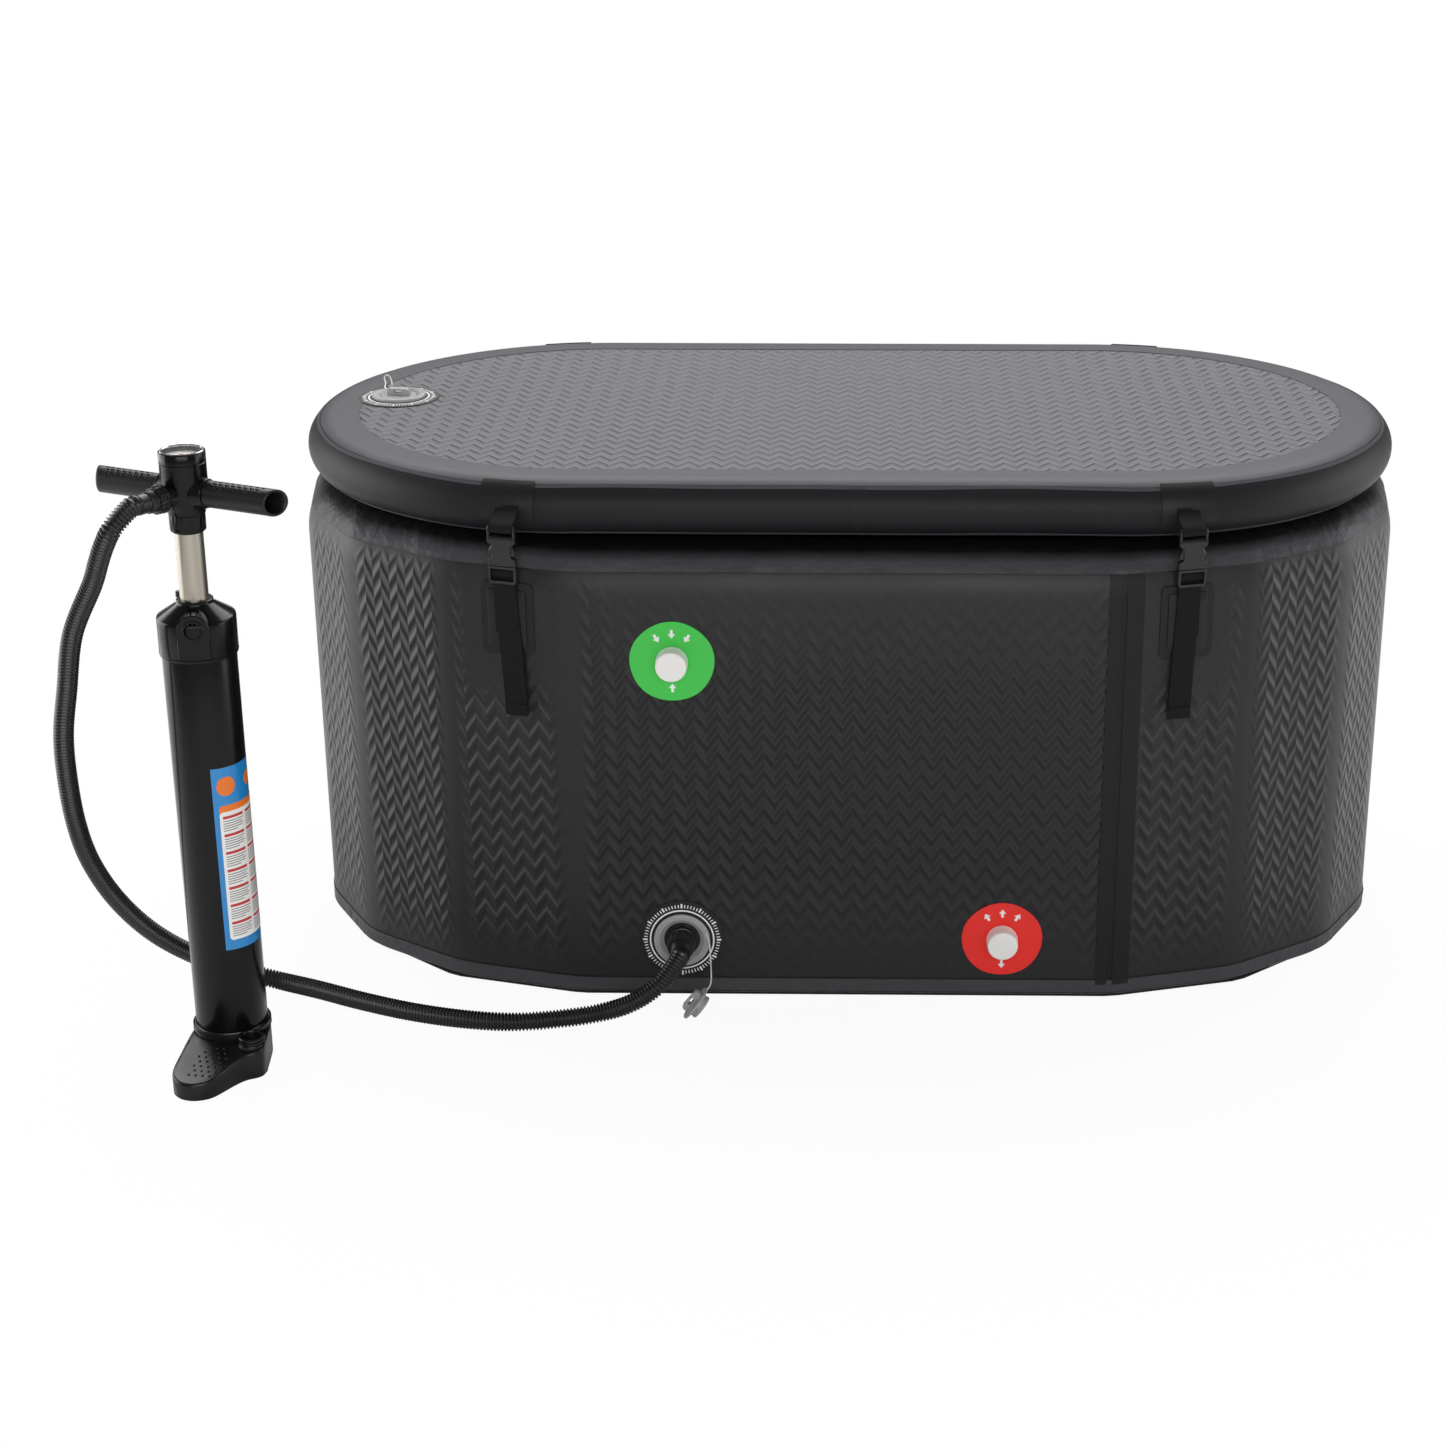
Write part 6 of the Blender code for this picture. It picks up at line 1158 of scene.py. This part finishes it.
for toe, turn in ((1, TOE_ANGLE), (-1, TOE_ANGLE + pi)):
    side = dot_side - 0.004
    place = np.column_stack([dot_along * cos(turn) + toe * side * sin(turn),
                             dot_along * sin(turn) - toe * side * cos(turn)])
    reach = np.interp(np.arctan2(place[:, 1], place[:, 0]), plan_turn[plan_order],
                      np.linalg.norm(FOOT_PLAN, axis=1)[plan_order])
    place = place[dot_keep & (np.linalg.norm(place, axis=1) < reach - 0.009)]
    dots += [placed(dome, Matrix.Translation((x, y, z - 0.0008)))
             for (x, y), z in zip(place, foot_height(place))]
pump_piece("foot_dots", dots, SATIN_NYLON, "tub", "pump_shell")

# %% Barrel and cap
BORE_RADIUS, BARREL_LOW, BARREL_TOP = 0.0383, 0.0123, 0.5385
barrel_section = rounded([(BORE_RADIUS, BARREL_LOW), (BARREL_RADIUS, BARREL_LOW), (BARREL_RADIUS, BARREL_TOP),
                          (BORE_RADIUS, BARREL_TOP)], 0.0006, 2)
pump_piece("gloss_barrel", turned(barrel_section, 128), GLOSS_ABS, "tub", "pump_shell", ("pump_barrel",))
CAP_SHELL, ROD_HOLE = 0.0440, 0.0161
shell = [(0.0418, 0.5070), (0.0428, 0.5070), (0.0434, 0.5074), (0.0440, 0.5090), (0.0441, 0.5105),
         (0.0436, 0.5112), (CAP_SHELL, 0.5120), (CAP_SHELL, 0.5495), (0.0436, 0.5512), (0.0426, 0.5524),
         (0.0210, 0.5664), (0.0205, 0.5672), (0.0205, 0.5700), (0.0195, 0.5710), (ROD_HOLE, 0.5710),
         (ROD_HOLE, 0.5388), (0.0418, 0.5388)]
INTAKE, INTAKE_Z = radians(-82), 0.5470
grooves = INTAKE + np.radians([-118, -72, 72, 118, 180])
shell_angle = np.sort(np.concatenate([np.linspace(0, 2 * pi, 96, endpoint=False)]
                                     + [(grooves + d) % (2 * pi) for d in (-0.020, -0.014, 0.014, 0.020)]))
in_groove = (np.abs((shell_angle[:, None] - grooves + pi) % (2 * pi) - pi) < 0.015).any(axis=1)
shell_profile = np.array(shell)
on_skirt = (shell_profile[:, 1] > 0.5115) & (shell_profile[:, 1] < 0.5500) & (shell_profile[:, 0] > 0.0435)
shell_radius = shell_profile[:, :1] - 0.0007 * np.outer(on_skirt, in_groove)
shell_points = np.stack([shell_radius * np.cos(shell_angle), shell_radius * np.sin(shell_angle),
                         np.broadcast_to(shell_profile[:, 1:], shell_radius.shape)], -1)
turn_step = np.linspace(0, 2 * pi, 64, endpoint=False) - pi / 2
reach = np.where(np.sin(turn_step) >= 0, 0.018, np.minimum(0.018 / np.maximum(np.abs(np.cos(turn_step)), 1e-6),
                                                           0.0345 / np.maximum(-np.sin(turn_step), 1e-6)))
arch = np.column_stack([reach * np.cos(turn_step), INTAKE_Z + reach * np.sin(turn_step)])
hole, ring_edge = [np.column_stack([radius * np.cos(turn_step), INTAKE_Z + radius * np.sin(turn_step)])
                   for radius in (0.0098, 0.0122)]
facing = Matrix.Rotation(INTAKE + pi / 2, 4, "Z") @ FRONT
intake = [placed(hollow_plate(arch, hole, 0.0132, 0.0008), facing @ Matrix.Translation((0, 0, 0.0323))),
          placed(hollow_plate(ring_edge, hole, 0.0010, 0.0006), facing @ Matrix.Translation((0, 0, 0.0460))),
          placed(plate(hole, [(0, 0.0370), (0, 0.0380)]), facing)]
bar = box_outline(0.0007, INTAKE_Z - 0.0085, INTAKE_Z + 0.0085, 0.0003, 1)
intake += [placed(plate(bar + (x, 0), [(0, 0.0375), (0, 0.0440)]), facing) for x in (-0.0045, 0, 0.0045)]
pump_piece("gloss_cap", [skin(shell_points, close_rows=True)] + intake, GLOSS_ABS, "tub", "pump_shell",
           ("pump_cap",))
plug_place = Matrix.Translation((0.029 * cos(radians(140)), 0.029 * sin(radians(140)), 0))
plug_section = rounded([(0, 0.5530), (0.0022, 0.5530), (0.0022, 0.5655), (0.0038, 0.5655), (0.0038, 0.5725),
                        (0, 0.5725)], [0, 0.0003, 0, 0.0006, 0.0014, 0], 4, closed=False)
pump_piece("action_plug", placed(turned(plug_section, 24, closed=False), plug_place), SATIN_NYLON,
           "mode_plug", "pump_satin", ("mode_plug",))

# %% Rod, collar and head
ROD_RADIUS = 0.0158
ROD_BORE, ROD_LOW, ROD_TOP = 0.0128, 0.1513, 0.6783
rod_section = [(ROD_BORE, ROD_LOW), (ROD_RADIUS, ROD_LOW), (ROD_RADIUS, ROD_TOP), (ROD_BORE, ROD_TOP)]
pump_piece("silver_rod", turned(rod_section, 64), ROD_METAL, "pump_handle", "rod_aluminium", ("pump_rod",))
collar_section = rounded([(ROD_HOLE, 0.6490), (0.0180, 0.6490), (0.0200, 0.6515), (0.0200, 0.6700),
                          (ROD_HOLE, 0.6700)], 0.0008, 2)
collar_cut = (collar_section[:, 0] > 0.0188) & (collar_section[:, 1] < 0.6695)
pump_piece("fluted_collar", fluted(collar_section, 18, 0.0006, collar_cut, 0.82), GLOSS_ABS, "pump_handle",
           "pump_shell", ("rod_collar",), sharp=50)
HEAD_TURN = radians(-23)
GRIP_Z = 0.695
ALONG = Matrix.Rotation(HEAD_TURN, 4, "Z") @ Matrix.Translation((0, 0,
                                                                 GRIP_Z)) @ Matrix.Rotation(pi / 2, 4, "Y")
TO_PORT = Matrix.Rotation(PORT_ANGLE, 4, "Z") @ Matrix.Translation((0, 0,
                                                                    PORT_Z)) @ Matrix.Rotation(pi / 2, 4, "Y")
head_section = [(ROD_HOLE, 0.6786), (ROD_HOLE, 0.6703), (0.0203, 0.6703), (0.0209, 0.6709), (0.0211, 0.6740),
                (0.0222, 0.6772), (0.0246, 0.6815), (0.02545, 0.6850), (0.02565, 0.6900), (0.02565, 0.7278),
                (0.0251, 0.7283), (0.0251, 0.7290), (0.02565, 0.7295), (0.02565, 0.7396), (0.0252, 0.7405),
                (0.0244, 0.7410), (0.0216, 0.7410), (0.0216, 0.7330), (0, 0.7330)]
socket = rounded([(0, -0.0310), (0.0157, -0.0310), (0.0165, -0.0302), (0.0168, -0.0270), (0.0195, -0.0180),
                  (0.0195, 0.0180), (0.0168, 0.0270), (0.0165, 0.0302), (0.0157, 0.0310), (0, 0.0310)],
                 [0, 0.0005, 0.0005, 0.003, 0.003, 0.003, 0.003, 0.0005, 0.0005, 0], 3, closed=False)
port = rounded([(0, 0.0150), (0.0150, 0.0150), (0.0120, 0.0290), (0.0120, 0.0395), (0, 0.0395)],
               [0, 0, 0.003, 0.0006, 0], 3, closed=False)
pump_piece("gloss_head", [turned(head_section, 96, closed=False),
                          placed(turned(socket, 64, closed=False), ALONG),
                          placed(turned(port, 48, closed=False), TO_PORT)], GLOSS_ABS, "pump_handle",
           "pump_shell", ("pump_head",))

# %% Grips
GRIP_RADIUS, GRIP_BORE = 0.0150, 0.0118
grip_section = np.vstack([[(GRIP_BORE, 0.0313), (0.0146, 0.0313), (GRIP_RADIUS, 0.0318)],
                          np.column_stack([np.full(90, GRIP_RADIUS), np.linspace(0.0345, 0.1150, 90)]),
                          [(GRIP_RADIUS, 0.1178), (0.0146, 0.1188), (0.0136, 0.1190), (0.0126, 0.1186),
                           (GRIP_BORE, 0.1170)],
                          np.column_stack([np.full(12, GRIP_BORE), np.linspace(0.1100, 0.0400, 12)])])
DIMPLE_STEP, DIMPLE_TURN, DIMPLE_DEEP = 0.0080, radians(21), 0.0022


def dimple_depth(turn, along):
    """How deep the grip is pressed in: ovals in staggered rows, 1 - (distance from the nearest one's
    middle)^2."""
    row = np.round(turn / DIMPLE_TURN)
    step = along / DIMPLE_STEP + 0.5 * (row % 2)
    across = (turn - row * DIMPLE_TURN) * GRIP_RADIUS / 0.0014
    down = (step - np.round(step)) * DIMPLE_STEP / 0.0024
    inside = (np.abs(row) < 3) & (along > 0.040) & (along < 0.106)
    return np.clip(1.25 * (1 - across ** 2 - down ** 2), 0, 1) * inside


for name, half_turn, back in (("right_grip", 0, 1), ("left_grip", pi, -1)):
    shape = turned(grip_section, 120)
    points = shape[0].copy()
    x, y, along = shape[0].T
    outside = np.hypot(x, y) > 0.0145
    shrink = 1 - DIMPLE_DEEP / GRIP_RADIUS * dimple_depth(np.arctan2(y, -x), along) * outside
    points[:, :2] *= shrink[:, None]
    far_end = np.clip((along - 0.095) / 0.020, 0, 1)
    points[:, 2] += far_end * (back * y / 0.015 * 0.0062 - 0.004 * (back < 0))
    matrix = PUMP @ Matrix.Rotation(HEAD_TURN + half_turn, 4, "Z") @ Matrix.Translation((0, 0, GRIP_Z))
    make_piece("dimpled_" + name, (points, shape[1], shape[2]), GRIP_NYLON, "pump_handle", "pump_satin",
               (name,), matrix @ Matrix.Rotation(pi / 2, 4, "Y"), sharp=60)

# %% Gauge
# Printed dial card: white and matt. Red and black ink give its scale, and a clear lens covers it.
DIAL_CARD = grained("white_dial_card", "#f2f1ec", 0.6, 400.0, 0.00003)
BLACK_INK = grained("black_printing_ink", "#1a1a1a", 0.5, 1500.0, 0.00002)
RED_INK = grained("red_printing_ink", "#c8202a", 0.5, 1500.0, 0.00002)
BEZEL_STEEL = grained("bright_steel_bezel", "#c9cbce", 0.18, 900.0, 0.00002, Metallic=1.0)
# Clear acrylic: nearly all light goes through, and a faint haze and one highlight stay.
LENS, _, _ = new_finish("clear_acrylic_lens", "#eef1f3", 0.04, IOR=1.49, Alpha=0.06)
DIAL_TOP = 0.7345
dial = turned([(0, 0.7333), (0.0213, 0.7333), (0.0213, DIAL_TOP), (0, DIAL_TOP)], 72, closed=False)
pump_piece("dial_card", dial, DIAL_CARD, "pump_handle", "dial", ("gauge_dial",))
mark_flat = [(0, DIAL_TOP - 0.0001), (0, DIAL_TOP + 0.00008)]
mark = plate([(0.0160, -0.0003), (0.0190, -0.0003), (0.0190, 0.0003), (0.0160, 0.0003)], mark_flat)
marks = [placed(mark, Matrix.Rotation(radians(-225 + 15 * k), 4, "Z")) for k in range(19)]
pump_piece("dial_marks", marks, BLACK_INK, "pump_handle", "dial")
zone_angle = np.radians(np.linspace(-55, 45, 24))
zone_outer = np.stack([0.0200 * np.cos(zone_angle), 0.0200 * np.sin(zone_angle)], -1)
zone = np.stack([at_height(zone_outer * share, DIAL_TOP + 0.0001) for share in (0.955, 1.0)])
pump_piece("dial_zone", slab(zone[::-1], zone[::-1] - (0, 0, 0.0001)), RED_INK, "pump_handle", "dial")
needle = rounded([(-0.0045, -0.0008), (-0.0015, -0.0016), (0.0015, -0.0016), (0.0150, -0.0002),
                  (0.0150, 0.0002), (0.0015, 0.0016), (-0.0015, 0.0016), (-0.0045, 0.0008)], 0.0004, 3)
hub = turned([(0.0020, 0.7348), (0.0020, 0.7358), (0.0015, 0.7362), (0, 0.7362)], 20, closed=False)
pump_piece("red_needle", [plate(needle, [(0, 0.7348), (0, 0.7356)]), hub], RED_INK, "gauge_needle", "needle",
           ("gauge_needle",))
lens = rounded([(0, 0.7382), (0.0213, 0.7382), (0.0213, 0.7402), (0.0150, 0.7407), (0, 0.7409)],
               [0, 0.0002, 0.0006, 0.004, 0], 3, closed=False)
pump_piece("clear_lens", turned(lens, 72, closed=False), LENS, "pump_handle", "lens", ("gauge_lens",))
pump_piece("steel_bezel", turned([(0.0214, 0.7395), (0.0240, 0.7408), (0.0243, 0.7413), (0.0238, 0.7418),
                                  (0.0222, 0.7417), (0.0214, 0.7409)], 72), BEZEL_STEEL, "pump_handle",
           "pump_shell")

# %% Hose ends
nut_section = np.array([(0.0123, 0.0335), (0.0160, 0.0335), (0.0163, 0.0338), (0.0163, 0.0365),
                        (0.0156, 0.0370), (0.0158, 0.0440), (0.0152, 0.0450), (0.0125, 0.0450),
                        (0.0123, 0.0545), (0.0118, 0.0550), (0.0078, 0.0550), (0.0078, 0.0398),
                        (0.0123, 0.0398)])
nut_cut = np.array([0, 0, 0, 0, 1, 1, 1, 0, 0, 0, 0, 0, 0])
pump_piece("fluted_hose_nut", placed(fluted(nut_section, 16, 0.0012, nut_cut, 0.55), TO_PORT), SATIN_NYLON,
           "pump_handle", "pump_satin", ("hose_nut",), sharp=45)
nozzle_section = np.array([(0.0078, -0.0120), (0.0170, -0.0120), (0.0187, -0.0100), (0.0187, -0.0030),
                           (0.0170, -0.0028), (0.0170, 0.0060), (0.0158, 0.0066), (0.0158, 0.0100),
                           (0.0170, 0.0106), (0.0170, 0.0228), (0.0160, 0.0241), (0.0125, 0.0241),
                           (0.0125, 0.0294), (0.0120, 0.0300), (0.0078, 0.0300)])
nozzle_cut = (nozzle_section[:, 1] > 0.0100) & (nozzle_section[:, 1] < 0.0235) & (nozzle_section[:, 0] > 0.0165)
make_piece("fluted_nozzle", fluted(nozzle_section, 14, 0.0009, nozzle_cut, 0.6), SATIN_NYLON, "nozzle",
           "pump_satin", ("hose_nozzle",), VALVES["air_valve"], sharp=45)

# %% [markdown]
# ## The label
# The barrel carries a glossy printed label. Its design here is a plain one: orange spots and an orange
# strip, and a white panel with red bars and grey rules. The sheet and each ink are flat shapes wrapped
# round the barrel, a few hundredths of a millimetre apart.

# %% Label
# Laminated polypropylene film: bright blue under a clear gloss coat.
LABEL_BLUE = grained("blue_gloss_label", "#1c86cc", 0.22, 30.0, 0.0002, Coat_Weight=0.5, Coat_Roughness=0.08)
# Flexographic inks on that film: flat even colours, with a little less gloss.
LABEL_WHITE, LABEL_ORANGE, LABEL_RED, LABEL_GREY = [
    grained(name + "_label_ink", colour, roughness, 30.0, 0.0002)
    for name, colour, roughness in (("white", "#f0efec", 0.28), ("orange", "#ef7a1f", 0.28),
                                    ("red", "#c33030", 0.28), ("grey", "#77797c", 0.35))]
LABEL_WIDTH, LABEL_LOW, LABEL_HIGH = 0.0760, 0.154, 0.380
LABEL_MIDDLE = radians(-23)


def label_block(left, low, right, high, lift, radius=0.0):
    """A rectangle of ink on the label, as a sheet of columns that can bend round the barrel."""
    across = np.linspace(left, right, max(2, round((right - left) / 0.0016)) + 1)
    ease = radius - np.sqrt(np.maximum(radius ** 2 - np.maximum(radius
                                                                - np.minimum(across - left, right - across),
                                                                0) ** 2, 0)) if radius else 0 * across
    low_row, high_row = np.column_stack([across, low + ease]), np.column_stack([across, high - ease])
    top = np.stack([at_height(row, lift) for row in (low_row, high_row)])
    return wrapped(slab(top, top - (0, 0, lift * 0.98)), BARREL_RADIUS, LABEL_MIDDLE)


half, margin, spot_height = LABEL_WIDTH / 2, 0.006, 0.357
sheet = label_block(-half, LABEL_LOW, half, LABEL_HIGH, 0.00016)
head = label_block(margin - half, 0.318, half - margin, 0.334, 0.00022, 0.004)
panel = label_block(margin - half, 0.166, half - margin, 0.326, 0.00025, 0.004)
spots = [label_block(x - radius, spot_height - radius, x + radius, spot_height + radius, 0.00022,
                     radius * 0.97) for x, radius in ((-half + 0.0165, 0.0115), (half - 0.0240, 0.0085))]
bars, rules = [], []
for entry in range(7):
    top = 0.322 - 0.0220 * entry
    for column in (-0.0285, 0.0020):
        bars.append(label_block(column, top - 0.0046, column + 0.0265, top - 0.0012, 0.00031))
        for row, length in enumerate((0.0265, 0.0240, 0.0265, 0.0250, 0.0180)):
            low = top - 0.0080 - 0.0029 * row
            rules.append(label_block(column, low, column + length, low + 0.0011, 0.00031))
for part, shapes, finish in (("sheet", sheet, LABEL_BLUE), ("head", head, LABEL_ORANGE),
                             ("panel", panel, LABEL_WHITE), ("spots", spots, LABEL_ORANGE),
                             ("bars", bars, LABEL_RED), ("rules", rules, LABEL_GREY)):
    pump_piece("label_" + part, shapes, finish, "tub", "pump_shell")

# %% [markdown]
# ## Hidden pieces
# Three measured pieces are never seen from outside: the sheet under the bath, and the piston and its seal
# in the barrel. They keep their shapes and get the finish of what they are made of.

# %% Finishes of the hidden pieces
for node, finish in (("base_sheet", BASE_PVC), ("pump_piston", SATIN_NYLON), ("piston_seal", RUBBER)):
    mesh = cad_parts[node].data
    mesh.materials.clear()
    mesh.materials.append(finish)
